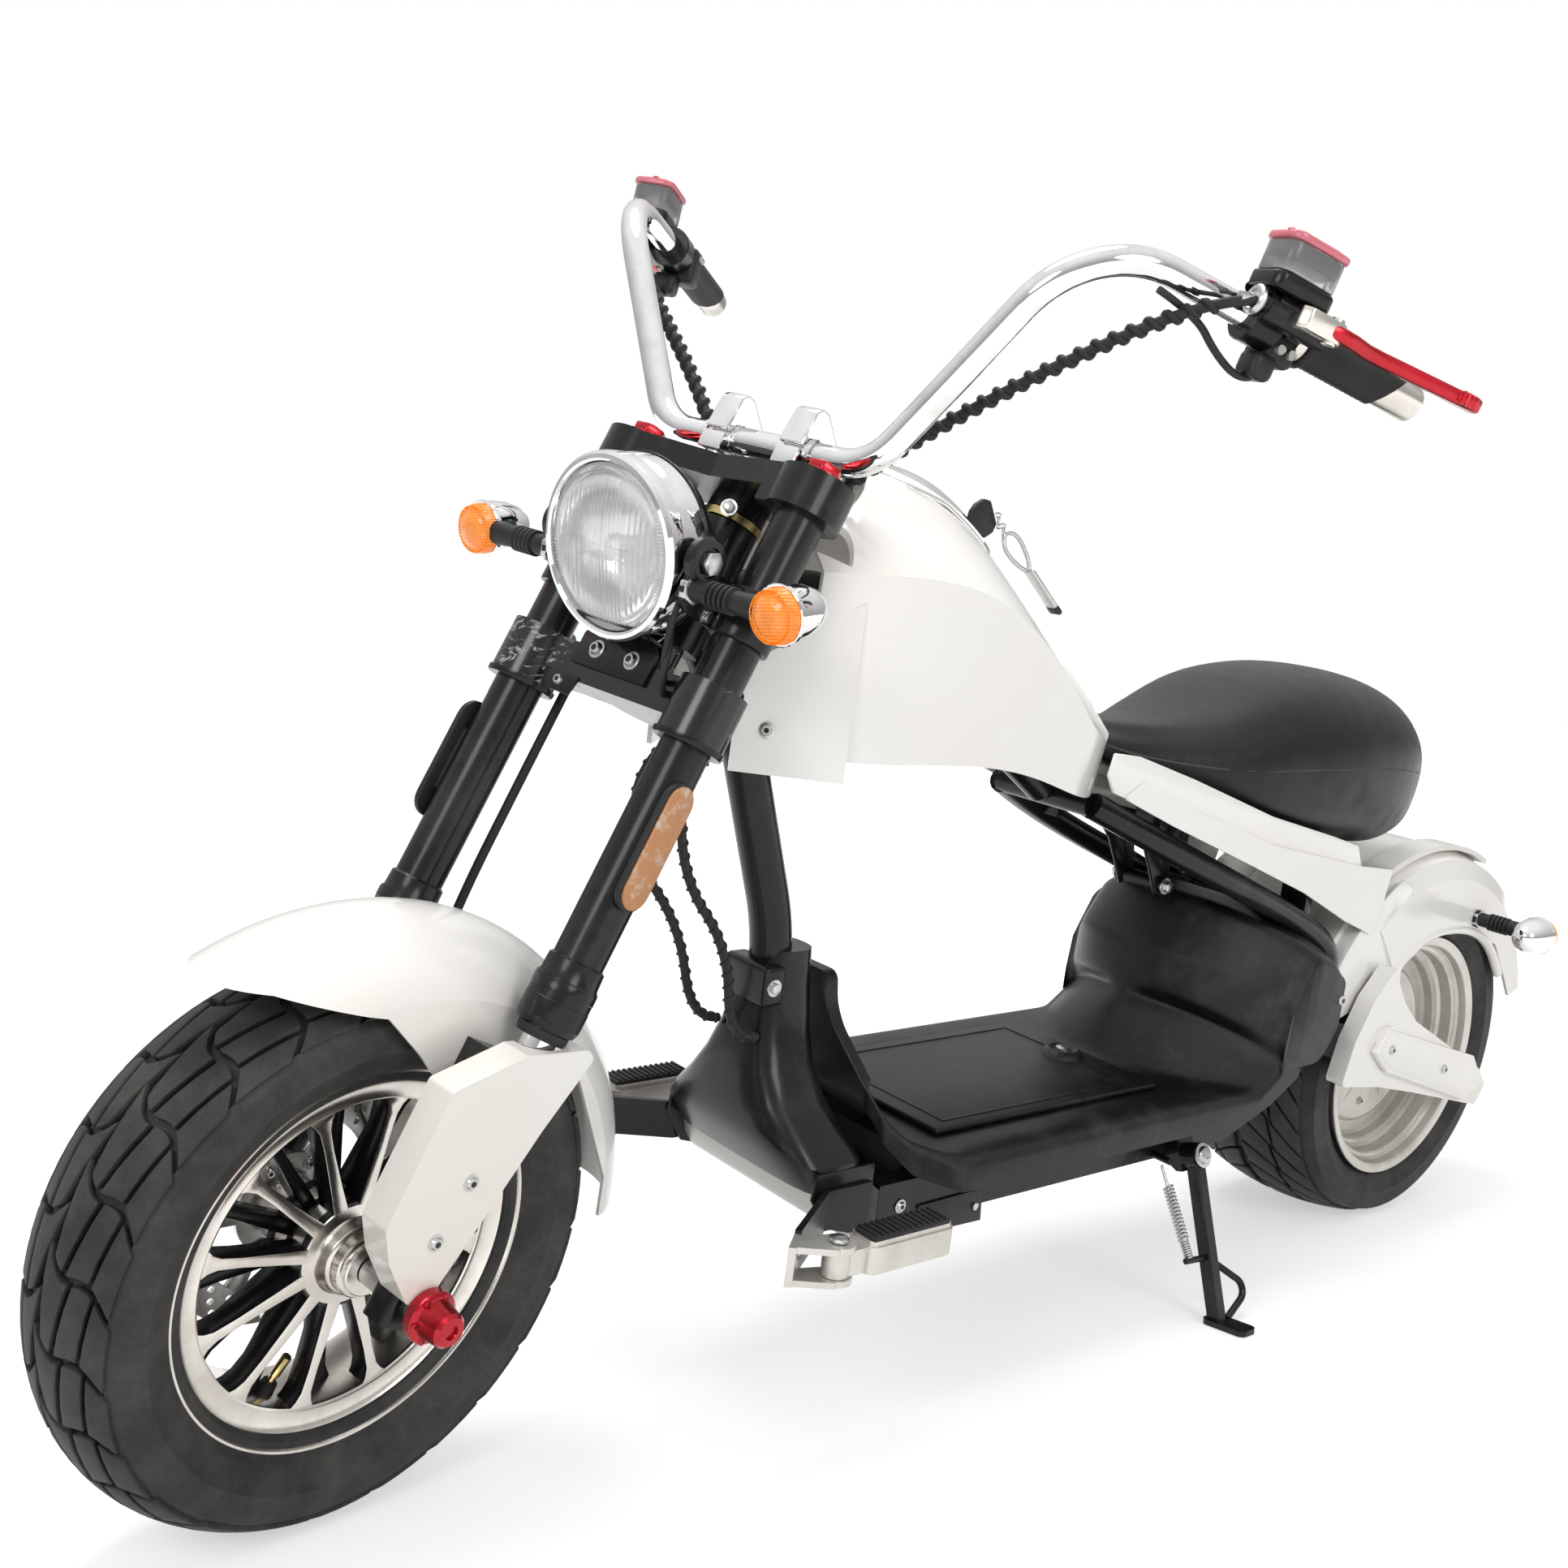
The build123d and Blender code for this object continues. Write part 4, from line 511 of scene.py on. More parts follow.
@finish(specular_ior_level=0.35)
def tyre_rubber(f):
    """Dry black rubber with road dust on its faces."""
    dust = f.noise(16.0, 8.0, 0.7)
    return (f.blend(dust.smooth(0.42, 0.78), tuple(colours().rubber), (0.075, 0.07, 0.062)),
            dust * 0.25 + 0.5, (f.noise(900.0, 3.0, 0.6) + dust * 0.6, 0.0005, 0.5))


@finish(specular_ior_level=0.22)
def soft_rubber(f):
    """Moulded grip and hose rubber."""
    grain = f.noise(650.0, 3.0)
    return (f.blend(f.noise(20.0, 4.0), (0.012, 0.012, 0.013), (0.035, 0.034, 0.034)),
            grain * 0.2 + 0.42, (grain, 0.0004, 0.35))


@finish(specular_ior_level=0.3)
def grained_plastic(f):
    """Spark-eroded mould texture of the foot deck."""
    scuff = f.noise(13.0, 6.0, 0.7)
    return (f.blend(scuff.smooth(0.5, 0.85), tuple(colours().deck), (0.05, 0.05, 0.052)),
            scuff * 0.14 + 0.27, (f.noise(900.0, 4.0, 0.65), 0.0007, 0.5))


@finish(specular_ior_level=0.26)
def black_plastic(f):
    """Plain moulded fittings."""
    grain = f.noise(700.0, 3.0)
    return (f.blend(f.noise(30.0, 4.0), (0.014, 0.014, 0.015), (0.03, 0.03, 0.031)),
            grain * 0.15 + 0.33, (grain, 0.0004, 0.3))


@finish(coat_weight=0.2, metallic=0.55)
def grey_satin(f):
    """Silver-grey sprayed panel behind the front plates."""
    fleck = f.noise(900.0, 2.0)
    return f.blend(fleck, (0.34, 0.33, 0.31), (0.50, 0.49, 0.46)), fleck * 0.12 + 0.32


@finish(specular_ior_level=0.3)
def seat_leather(f):
    """Fine-grained black leathercloth."""
    pebbles = f.cells(620.0, "DISTANCE_TO_EDGE")
    creases = f.noise(75.0, 5.0, 0.6)
    tone = tuple(colours().leather)
    return (f.blend(f.noise(6.0, 5.0).smooth(0.4, 0.85), tone, tuple(c * 1.9 for c in tone)),
            creases * 0.16 + 0.27,
            (pebbles.smooth(0.0, 0.35) * 0.6 + creases * 0.5, 0.0005, 0.4))


@finish(roughness=0.7)
def thread(f):
    """Black piping of the seat's seam."""
    return (f.blend(f.noise(500.0), (0.02, 0.02, 0.02), (0.06, 0.06, 0.06)),)


@finish(transmission_weight=0.35, ior=1.45, coat_weight=0.6, emission_strength=0.22)
def amber_glass(f):
    """Moulded amber lens with fine ribs, each rib coloured with a painted highlight and painted
    shade, that glows a little.
    """
    ribs = f.node("TexWave", {"bands_direction": "Z"}, Vector=f.coords(), Scale=120.0,
                  Distortion=0.0)
    cells = f.cells(260.0)
    red, green, blue = colours().amber
    f.set("Emission Color", (red, green, 0.0))
    # The colour bands follow the ribs: a painted highlight and painted shade on each rib, varied at
    # random by the cells; the ribs also feed the bump.
    return (f.blend(ribs * 0.5 + cells * 0.3, (red, green * 1.35, 0.02),
                    (red * 0.92, green * 0.7, blue * 0.4)),
            cells * 0.1 + 0.06, (ribs * 0.7 + cells * 0.6, 0.0016, 0.7))


@finish(coat_weight=0.4)
def amber_reflector(f):
    """Prismatic reflector behind a scratched face."""
    scratch = f.noise(42.0, 7.0, 0.75)
    return (f.blend(scratch.smooth(0.52, 0.66), (0.48, 0.20, 0.06), (0.62, 0.50, 0.40)),
            scratch * 0.4 + 0.2, (f.cells(420.0, distance="CHEBYCHEV"), 0.001, 0.6))


@finish(transmission_weight=0.62, ior=1.48)
def lamp_glass(f):
    """Clear pressed lens."""
    return (0.97, 0.98, 0.98), f.noise(12.0, 3.0) * 0.03 + 0.01


@finish(roughness=0.12, coat_weight=0.5)
def bulb_glass(f):
    """Pale bulb behind the lens."""
    return (f.blend(f.noise(60.0), (0.93, 0.92, 0.88), (0.86, 0.85, 0.82)),)


@finish(metallic=1.0)
def mirror_bowl(f):
    """Silvered reflector."""
    return (f.blend(f.noise(20.0, 3.0), (0.9, 0.9, 0.9), (0.72, 0.72, 0.74)),
            f.noise(60.0, 2.0) * 0.12 + 0.06)


@finish(transmission_weight=0.85, ior=1.3)
def cup_plastic(f):
    """Clear reservoir cup."""
    return (f.blend(f.noise(40.0), (0.93, 0.93, 0.93), (0.86, 0.86, 0.87)),
            f.noise(60.0) * 0.15 + 0.12)


@finish(transmission_weight=0.3)
def rose_lid(f):
    """Translucent red lid of a reservoir."""
    return (f.blend(f.noise(50.0), (0.80, 0.09, 0.16), (0.9, 0.35, 0.4)),
            f.noise(90.0) * 0.1 + 0.18)


@finish(transmission_weight=0.35)
def red_glass(f):
    """Moulded tail lens."""
    cells = f.cells(220.0)
    return (f.blend(cells, (0.55, 0.01, 0.015), (0.28, 0.0, 0.005)),
            f.noise(80.0) * 0.1 + 0.1, (cells, 0.0015, 0.5))


NODE_FINISHES = {
    "tyre_rubber": ("front_tyre", "rear_tyre"),
    "cast_alloy": ("front_rim", "rear_rim", "front_caliper", "rear_caliper", "peg_clevises",
                   "peg_left", "peg_right"),
    "bright_steel": ("front_disc", "rear_disc", "front_axle_bar", "ignition_lock",
                     "stand_spring"),
    "black_gloss": ("fork_castings", "fork_tubes", "upper_clamp", "clamp_bracket",
                    "headlamp_bracket", "main_tube", "front_gusset", "floor_frame", "seat_rails",
                    "swingarm", "shock_absorbers", "peg_brackets", "side_stand"),
    "scuffed_black": ("lower_clamp",),
    "chrome": ("stanchions", "headlamp_shell", "handlebar", "risers", "tank_console"),
    "red_anodised": ("fork_caps", "axle_knobs", "brake_levers"),
    "white_gloss": ("front_fender", "leg_covers", "swingarm_covers", "tank_cover",
                    "side_covers", "rear_fender"),
    "lamp_glass": ("headlamp_lens",),
    "amber_glass": ("front_signals", "rear_signals"),
    "amber_reflector": ("reflectors",),
    "soft_rubber": ("grips", "steering_hoses", "frame_loom"),
    "black_plastic": ("master_cylinders", "battery"),
    "grained_plastic": ("footboard", "battery_lid"),
    "cup_plastic": ("reservoirs",),
    "grey_satin": ("nose_cover",),
    "seat_leather": ("seat",),
    "red_glass": ("tail_lamp",),
}


class ChopperColours(bpy.types.PropertyGroup):
    panel: bpy.props.FloatVectorProperty(
        name="Panels", description="Colour of the body panels", subtype="COLOR",
        default=(0.86, 0.845, 0.815), min=0.0, max=1.0)
    enamel: bpy.props.FloatVectorProperty(
        name="Frame enamel", description="Colour of the frame and fork", subtype="COLOR",
        default=(0.008, 0.008, 0.009), min=0.0, max=1.0)
    accent: bpy.props.FloatVectorProperty(
        name="Anodised parts", description="Colour of levers, caps and knobs", subtype="COLOR",
        default=(0.52, 0.008, 0.02), min=0.0, max=1.0)
    rubber: bpy.props.FloatVectorProperty(
        name="Tyres", description="Colour of the tyre rubber", subtype="COLOR",
        default=(0.018, 0.018, 0.019), min=0.0, max=1.0)
    deck: bpy.props.FloatVectorProperty(
        name="Foot deck", description="Colour of the grained deck", subtype="COLOR",
        default=(0.006, 0.0065, 0.008), min=0.0, max=1.0)
    leather: bpy.props.FloatVectorProperty(
        name="Seat", description="Colour of the seat cover", subtype="COLOR",
        default=(0.005, 0.005, 0.006), min=0.0, max=1.0)
    amber: bpy.props.FloatVectorProperty(
        name="Signals", description="Colour of the signal lenses", subtype="COLOR",
        default=(1.0, 0.30, 0.02), min=0.0, max=1.0)


class ChopperSizes(bpy.types.PropertyGroup):
    front_radius: bpy.props.FloatProperty(
        name="Front tyre radius", description="Outer radius of the front tyre, in millimetres",
        default=243.0, min=200.0, max=300.0)
    rear_radius: bpy.props.FloatProperty(
        name="Rear tyre radius", description="Outer radius of the rear tyre, in millimetres",
        default=238.0, min=200.0, max=300.0)
    front_pitches: bpy.props.IntProperty(
        name="Front tread pitches", description="Rows of blocks round the front tyre",
        default=24, min=12, max=40)
    rear_pitches: bpy.props.IntProperty(
        name="Rear tread pitches", description="Rows of ribs round the rear tyre",
        default=34, min=12, max=60)
    spokes: bpy.props.IntProperty(
        name="Spokes", description="Spokes in each row of the front wheel",
        default=12, min=6, max=20)


def sizes():
    return bpy.context.scene.chopper_sizes


# Stage
class CHOPPER_OT_stage(bpy.types.Operator):
    """Pale floor, white surroundings, soft lamps and the camera"""
    bl_idname = "chopper.stage"
    bl_label = "Stage"

    def execute(self, context):
        scene = context.scene
        scene.view_settings.view_transform = "Standard"
        self.surroundings(scene)
        self.floor()
        for name, place, size, power in (
                ("overhead", (0.2, -0.3, 3.4), 1.9, 54.0), ("front", (3.2, 1.2, 2.1), 1.3, 28.0),
                ("near_side", (0.6, 3.4, 1.9), 1.5, 37.0)):
            lamp = bpy.data.lights.new(name, "AREA")
            lamp.shape, lamp.size, lamp.energy = "DISK", size, power
            holder = bpy.data.objects.new(name, lamp)
            holder.location = place
            aim = Vector((0.0, 0.0, 0.45)) - Vector(place)
            holder.rotation_euler = aim.to_track_quat("-Z", "Y").to_euler()
            scene.collection.objects.link(holder)
        self.camera(scene)
        return {"FINISHED"}

    def surroundings(self, scene):
        """White to the camera and in reflections, a level light for the rest."""
        world = bpy.data.worlds.new("surroundings")
        world.use_nodes = True
        scene.world = world
        tree = world.node_tree
        shader = tree.nodes["Background"]
        shader.inputs["Color"].default_value = (1.0, 1.0, 1.0, 1.0)
        seen = rays(tree, "Camera")
        mirrored = rays(tree, "Glossy", "Transmission")
        coords = tree.nodes.new("ShaderNodeTexCoord")
        split = tree.nodes.new("ShaderNodeSeparateXYZ")
        tree.links.new(coords.outputs["Generated"], split.inputs[0])
        height = Value(tree, split.outputs["Z"])
        level = 0.56 + mirrored * (height.smooth(0.10, 0.80) * 0.62 - 0.12)
        join(tree, shader.inputs["Strength"], level + seen * (1.0 - level))

    def floor(self):
        shape = Shape()
        bmesh.ops.create_grid(shape.bm, x_segments=1, y_segments=1, size=30000.0)
        mesh = shape.at(Matrix.Scale(MM, 4), shift(0, 0, -0.001)).mesh("floor")
        shape.bm.free()
        f = Finish("floor_paint", roughness=0.9)
        seen = rays(f.tree, "Camera", "Glossy", "Transmission")
        f.set("Base Color", (0.72, 0.72, 0.72))
        f.set("Emission Color", (1.0, 1.0, 1.0))
        away = f.node("VectorMath", {"operation": "LENGTH"}, output=1, Vector=f.coords())
        f.set("Emission Strength", seen * (away.smooth(1.2, 5.0) * 0.6 + 0.5))
        mesh.materials.append(f.material)
        made = show("floor", mesh)

    def camera(self, scene):
        """The photograph's viewing place, found from the wheels and the fork."""
        right = Vector((-0.76277, 0.63483, 0.12321))
        down = Vector((0.01920, 0.21268, -0.97693))
        forward = Vector((-0.64639, -0.74280, -0.17442))
        turn = TURN.to_3x3().normalized()
        axes = Matrix((turn @ right, turn @ -down, turn @ -forward)).transposed()
        lens = bpy.data.cameras.new("photo_view")
        lens.lens, lens.sensor_width = 39.26, 36.0
        lens.dof.use_dof = False
        lens.clip_start, lens.clip_end = 0.05, 100.0
        holder = bpy.data.objects.new("photo_view", lens)
        holder.matrix_world = (Matrix.Translation(VEHICLE @ Vector((2127.0, 1208.9, 895.8)))
                               @ axes.to_4x4())
        scene.collection.objects.link(holder)
        scene.camera = holder


class CHOPPER_OT_frame_finishes(bpy.types.Operator):
    """Gives every solid of the frame its finish"""
    bl_idname = "chopper.frame_finishes"
    bl_label = "Frame finishes"

    def execute(self, context):
        for name, nodes in NODE_FINISHES.items():
            for node in nodes:
                mesh = frame["nodes"][node].data
                mesh.materials.clear()
                mesh.materials.append(FINISHES[name]())
        return {"FINISHED"}


# Tyres
def crown_place(radius, curve, turned, across, height):
    """The point at an arc length round a tyre and across its crown, raised by height."""
    swing = across / curve
    reach = radius - curve + (curve + height) * cos(swing)
    angle = turned / radius
    return Vector((reach * cos(angle), reach * sin(angle), (curve + height) * sin(swing)))


def tread_block(near, far, inner, outer, rise, columns=3, rows=5):
    """A block of tread, flat: X round the tyre, Y across. The four edges are functions."""
    shape = Shape()
    bmesh.ops.create_grid(shape.bm, x_segments=columns, y_segments=rows, size=0.5)
    grid = shape.bm.faces[:]

    def mould(point):
        a, b = point.x + 0.5, point.y + 0.5
        across = (inner(a) * (1 - b)) + outer(a) * b
        return Vector((near(across) * (1 - a) + far(across) * a, across, 0.0))

    shape.warp(mould)
    return shape.pull(grid, rise).bevel(1.3, 2, 50.0)


def lay_tread(carcass, radius, curve, depth, count, blocks):
    """Two mirrored sets of blocks round a carcass, half a pitch apart, a little sunk."""
    pitch, sunk = 2 * pi * radius / count, 0.6
    side = Shape()
    for made in blocks:
        side.add(made)
    for shape, start in ((side, 0.0), (Shape().add(side, MIRROR), pitch / 2)):
        for i in range(count):
            lifted = Shape().add(shape, shift(start + i * pitch, 0, -sunk))
            lifted.warp(lambda p: crown_place(radius, curve, p.x, p.y, p.z - depth + sunk))
            carcass.add(lifted)


def tyre_walls(radius, half, crown_half, crown_drop, depth, curve):
    """The carcass from bead to bead, with the groove floor as its crown."""
    shoulder = crown_half / curve
    crown = []
    for i in range(-12, 13):
        swing = asin(shoulder) * i / 12
        crown.append((radius - curve + (curve - depth) * cos(swing), (curve - depth) * sin(swing)))
    edge = radius - crown_drop
    side = [(edge - 4, crown_half - 0.5), (edge - 10, half - 2.0), (edge - 20, half - 0.3),
            (edge - 30, half - 0.6), (edge - 33, half + 0.4), (edge - 36, half - 1.6),
            (184, half - 5.0), (173, half - 9.5), (168.5, half - 14.0), (162.5, half - 19.5),
            (156, half - 20.5)]
    scale = min(1.0, (half - 20) / 40)
    side = [(r, y if r > 170 else y - (1 - scale)) for r, y in side]
    walls = crown + side + [(152.5, half - 24.0), (152.5, -half + 24.0)]
    walls += [(r, -y) for r, y in reversed(side)]
    return lathe(walls, 144)


class CHOPPER_OT_front_tyre(bpy.types.Operator):
    """Front tyre with leaf-shaped blocks that meet in a zigzag groove"""
    bl_idname = "chopper.front_tyre"
    bl_label = "Front tyre"

    def execute(self, context):
        radius, count = sizes().front_radius, sizes().front_pitches
        curve, depth, gap = 98.0, 7.0, 6.5
        pitch = 2 * pi * radius / count
        carcass = tyre_walls(radius, 65.0, 58.0, 19.0, depth, curve)

        def near(across):
            return 36.0 * across / 62.0 + 8.0 * sin(across / 62.0 * 2 * pi) + gap / 2

        def far(across):
            return near(across) + pitch - gap

        lay_tread(carcass, radius, curve, depth, count, (
            tread_block(near, far, lambda a: -2.0 + 10.0 * a, lambda a: 27.0 - 8.0 * a, depth),
            tread_block(near, far, lambda a: 31.5 - 8.0 * a, lambda a: 49.0 - 5.0 * a, depth),
            tread_block(near, far, lambda a: 52.0 - 5.0 * a, lambda a: 67.0 - 2.0 * a, depth)))
        piece("front_tyre_treaded", carcass, FRONT_WHEEL, "front_wheel", "tyre", ["tyre_rubber"],
              ["front_tyre"])
        return {"FINISHED"}


class CHOPPER_OT_rear_tyre(bpy.types.Operator):
    """Wide rear tyre with long curved ribs"""
    bl_idname = "chopper.rear_tyre"
    bl_label = "Rear tyre"

    def execute(self, context):
        radius, count = sizes().rear_radius, sizes().rear_pitches
        curve, depth, gap = 314.0, 6.0, 5.5
        pitch = 2 * pi * radius / count
        carcass = tyre_walls(radius, 110.0, 86.0, 12.0, depth, curve)

        def near(across):
            return (95.0 * (across / 92.0) ** 1.5 if across > 0 else 0.0) + gap / 2

        def far(across):
            return near(across) + pitch - gap

        lay_tread(carcass, radius, curve, depth, count, (
            tread_block(near, far, lambda a: 5.0 + 3.0 * a, lambda a: 46.0 + 5.0 * a, depth, 2, 6),
            tread_block(near, far, lambda a: 51.0 + 5.0 * a, lambda a: 92.0, depth, 2, 6)))
        piece("rear_tyre_treaded", carcass, REAR_WHEEL, "rear_wheel", "tyre", ["tyre_rubber"],
              ["rear_tyre"])
        return {"FINISHED"}


# Wheels
def drilled_disc(radius, inner, holes, rows, thickness=4.0):
    """A brake disc about Z with rows of drilled holes, its near face at Z 0."""
    disc = lathe([(inner, 0.0), (radius, 0.0), (radius, thickness), (inner, thickness)], 96)
    disc.bevel(0.6, 1, 60.0)
    drills = Shape()
    for row, (reach, size) in enumerate(rows):
        for i in range(holes):
            angle = (i + row / len(rows)) * 360.0 / holes
            drills.add(rod((reach, 0, -5), (reach, 0, thickness + 5), size, 12),
                       turned_by(angle))
    blank, drill = (show("passing", shape.mesh("passing")) for shape in (disc, drills))
    cut = blank.modifiers.new("cut", "BOOLEAN")
    cut.operation, cut.object, cut.solver = "DIFFERENCE", drill, "EXACT"
    shape = Shape()
    shape.bm.from_mesh(settled(blank))
    for thing in (blank, drill):
        bpy.data.objects.remove(thing)
    return shape


def spoke_outline(root, tip, narrow, flare, foot):
    """One side of a spoke and back down the other: wide at the hub, flared at the rim."""
    side = [(root, foot), (root + 12, foot * 0.78), (root + 34, narrow * 1.25),
            (tip - 34, narrow), (tip - 14, narrow * 1.15), (tip - 6, narrow * 1.8), (tip, flare)]
    return side + [(x, -y) for x, y in reversed(side)]


class CHOPPER_OT_front_wheel(bpy.types.Operator):
    """Cast front wheel: turned lips, a machined row of spokes and a black row behind"""
    bl_idname = "chopper.front_wheel"
    bl_label = "Front wheel"

    def execute(self, context):
        lip = [(163.8, 43.6), (166.6, 45.0), (166.6, 46.6), (165.2, 47.6), (162.8, 47.4),
               (161.6, 45.6), (160.8, 43.2), (158.6, 42.4), (156.8, 42.8), (155.4, 41.4),
               (152.0, 37.0), (146.0, 33.8), (139.4, 32.8), (136.0, 33.6), (134.2, 32.6),
               (133.6, 30.0)]
        barrel = lip + [(r, -y) for r, y in reversed(lip)]
        barrel += [(157.0, -41.0), (155.0, -34.0), (142.0, -28.0), (142.0, 28.0),
                   (155.0, 34.0), (157.0, 41.0)]
        wheel = lathe(barrel, 128).paint(1)
        hub = lathe([(12.0, 62.0), (22.0, 62.0), (23.2, 60.8), (23.2, 57.0), (26.0, 56.4),
                     (27.2, 55.0), (27.6, 46.0), (29.6, 45.0), (30.6, 43.6), (31.6, 38.0),
                     (34.0, 34.6), (38.0, 33.2), (43.0, 33.0), (44.0, 32.0), (44.0, 12.0),
                     (32.0, 9.0), (30.0, 6.0), (44.0, 4.6), (44.0, -16.0), (32.0, -20.0),
                     (30.0, -30.0), (30.0, -56.0), (28.0, -58.0), (12.0, -58.0)], 72)
        wheel.add(hub.paint(1))
        wheel.add(lathe([(11.0, 54.0), (21.5, 54.0), (21.5, 59.5), (18.5, 60.5), (11.0, 60.0)],
                        48).paint(2))
        step = 360.0 / sizes().spokes
        front = plate(spoke_outline(30.0, 135.2, 4.4, 12.5, 8.6), 22.0, 1.2, 2, 60.0)
        back = plate(spoke_outline(30.0, 135.2, 4.6, 11.0, 8.0), 22.0, 1.2, 2, 60.0)
        for face in front.bm.faces:
            face.material_index = 0 if face.normal.z > 0.9 and face.calc_center_median().z > 21 \
                else 2
        back.paint(2)
        for i in range(sizes().spokes):
            wheel.add(front, turned_by(-(12.0 + i * step)) @ shift(0, 0, 11.0))
            wheel.add(back, turned_by(-(12.0 + step / 2 + i * step)) @ shift(0, 0, -17.0))
        ring_front = lathe([(133.8, 32.4), (137.0, 32.4), (137.0, 12.0), (133.8, 12.0)], 96)
        wheel.add(ring_front.paint(2))
        for row in (-17.0, 26.0):
            wheel.add(lathe([(30, row), (46, row), (46, row + 6), (30, row + 6)], 64).paint(2))
        piece("front_wheel_cast", wheel, FRONT_WHEEL, "front_wheel", "alloy", ["turned_alloy",
              "turned_alloy", "black_gloss"], ["front_rim"], 28.0)
        valve = rod((132, 0, 2), (104, 0, 10), 3.2, 12, edge=0.6)
        valve.add(rod((118, 0, 6), (100, 0, 11.2), 4.4, 12, edge=0.8)).paint(0)
        valve.add(dome([(0, 0), (8, 0), (6.5, 9), (0, 9)], 20).paint(1),
                  along((134, 0, 1.4), (120, 0, 5.4)))
        piece("front_valve", valve, FRONT_WHEEL @ turned_by(71.0), "front_wheel", "steel", ["brass",
              "soft_rubber"])
        disc = drilled_disc(110.0, 80.0, 24, ((88.0, 3.2), (96.0, 3.2), (103.5, 3.2)))
        for i in range(6):
            arm = plate([(26, 10), (60, 7), (84, 11), (84, -11), (60, -7), (26, -10)], 3.6, 0.6)
            disc.add(arm, turned_by(i * 60.0) @ shift(0, 0, 0.2))
            disc.add(bolt(4.2, 3.6), turned_by(i * 60.0) @ shift(38, 0, 3.8))
        disc.add(lathe([(20, 0.1), (46, 0.1), (46, 3.9), (20, 3.9)], 64))
        piece("front_disc_drilled", disc, FRONT_WHEEL @ shift(0, 0, -66.0), "front_wheel", "steel",
              BOLTED, ["front_disc"])
        return {"FINISHED"}


class CHOPPER_OT_rear_wheel(bpy.types.Operator):
    """Deep rear dish round the hub motor, with a faceted star on its cover"""
    bl_idname = "chopper.rear_wheel"
    bl_label = "Rear wheel"

    def execute(self, context):
        side = [(165.5, 101.0), (166.6, 103.0), (165.8, 104.6), (162.0, 104.6), (158.0, 104.0),
                (154.0, 101.6), (152.6, 98.0), (152.0, 92.0), (149.0, 88.6), (145.0, 88.0),
                (143.0, 86.0), (142.4, 70.0), (138.0, 66.6), (134.0, 66.0), (131.6, 63.6),
                (130.6, 52.0), (127.0, 48.6), (112.0, 47.4)]
        outer = [(155.0, 97.0), (155.0, 88.0), (147.0, 80.0), (146.0, 64.0), (136.0, 58.0)]
        profile = side + [(112.0, 40.0), (128.0, 40.0), (131.0, 30.0), (131.0, -30.0),
                          (128.0, -40.0), (112.0, -40.0)]
        profile += [(r, -y) for r, y in reversed(side)]
        profile += [(r, -y) for r, y in outer] + [(r, y) for r, y in reversed(outer)]
        wheel = lathe(profile, 128).paint(0)
        motor = lathe([(16.0, 52.0), (36.0, 52.0), (38.0, 50.4), (104.0, 50.4), (108.0, 51.8),
                       (112.0, 50.6), (113.4, 47.0), (113.4, -47.0), (112.0, -50.6),
                       (38.0, -50.4), (36.0, -52.0), (16.0, -52.0)], 96)
        wheel.add(motor.paint(0))
        star = Shape()
        tip = star.bm.verts.new((0, 0, 9.0))
        rim = []
        for i in range(12):
            reach = 98.0 if i % 2 == 0 else 44.0
            rim.append(star.bm.verts.new((reach * cos(i * pi / 6), reach * sin(i * pi / 6), 0)))
        for a, b in zip(rim, rim[1:] + rim[:1]):
            star.bm.faces.new((a, b, tip))
        star.bm.faces.new(list(reversed(rim)))
        star.outward()
        wheel.add(star, shift(0, 0, 50.2),
                  turned_by(180, "X") @ shift(0, 0, 50.2))
        for i in range(6):
            wheel.add(bolt(4.6, 4.0), turned_by(30 + i * 60) @ shift(84, 0, 50.4))
        wheel.add(dome([(0, 0), (19, 0), (17, 9), (12, 11), (0, 11)], 40),
                  shift(0, 0, 55.0))
        piece("rear_wheel_dish", wheel, REAR_WHEEL, "rear_wheel", "alloy", ["cast_alloy",
              "black_plastic"], ["rear_rim"], 24.0)
        valve = rod((139, 0, 74), (112, 0, 92), 3.2, 12, edge=0.6)
        valve.add(rod((117, 0, 88.6), (106, 0, 96), 5.0, 12, edge=0.8).paint(1))
        valve.add(dome([(0, 0), (8.5, 0), (6, 10), (0, 10)], 20).paint(1),
                  along((142, 0, 72), (126, 0, 82.6)))
        piece("rear_valve", valve, REAR_WHEEL @ turned_by(-62.0), "rear_wheel", "steel", ["brass",
              "soft_rubber"])
        disc = drilled_disc(90.0, 58.0, 20, ((66.0, 3.4), (74.0, 3.4), (82.5, 3.4)))
        disc.add(lathe([(20, 0.2), (61, 0.2), (61, 3.6), (20, 3.6)], 64))
        for i in range(5):
            disc.add(bolt(4.2, 3.6), turned_by(180, "X") @ turned_by(i * 72.0) @ shift(40, 0, -0.4))
        piece("rear_disc_drilled", disc, REAR_WHEEL @ shift(0, 0, -88.0), "rear_wheel", "steel",
              BOLTED, ["rear_disc"])
        return {"FINISHED"}


# Seat
SEAT_SECTIONS = (
    # place along X, half width, underside, widest height, crown
    (690, 42, 650, 662, 680), (655, 54, 634, 652, 674), (600, 72, 616, 642, 673),
    (540, 102, 600, 638, 677), (470, 128, 580, 638, 698), (400, 141, 562, 642, 724),
    (330, 147, 549, 644, 738), (260, 147, 542, 644, 742), (200, 142, 536, 640, 739),
    (150, 129, 540, 634, 725), (112, 110, 550, 628, 700), (84, 84, 566, 622, 670),
    (68, 48, 584, 614, 642),
)


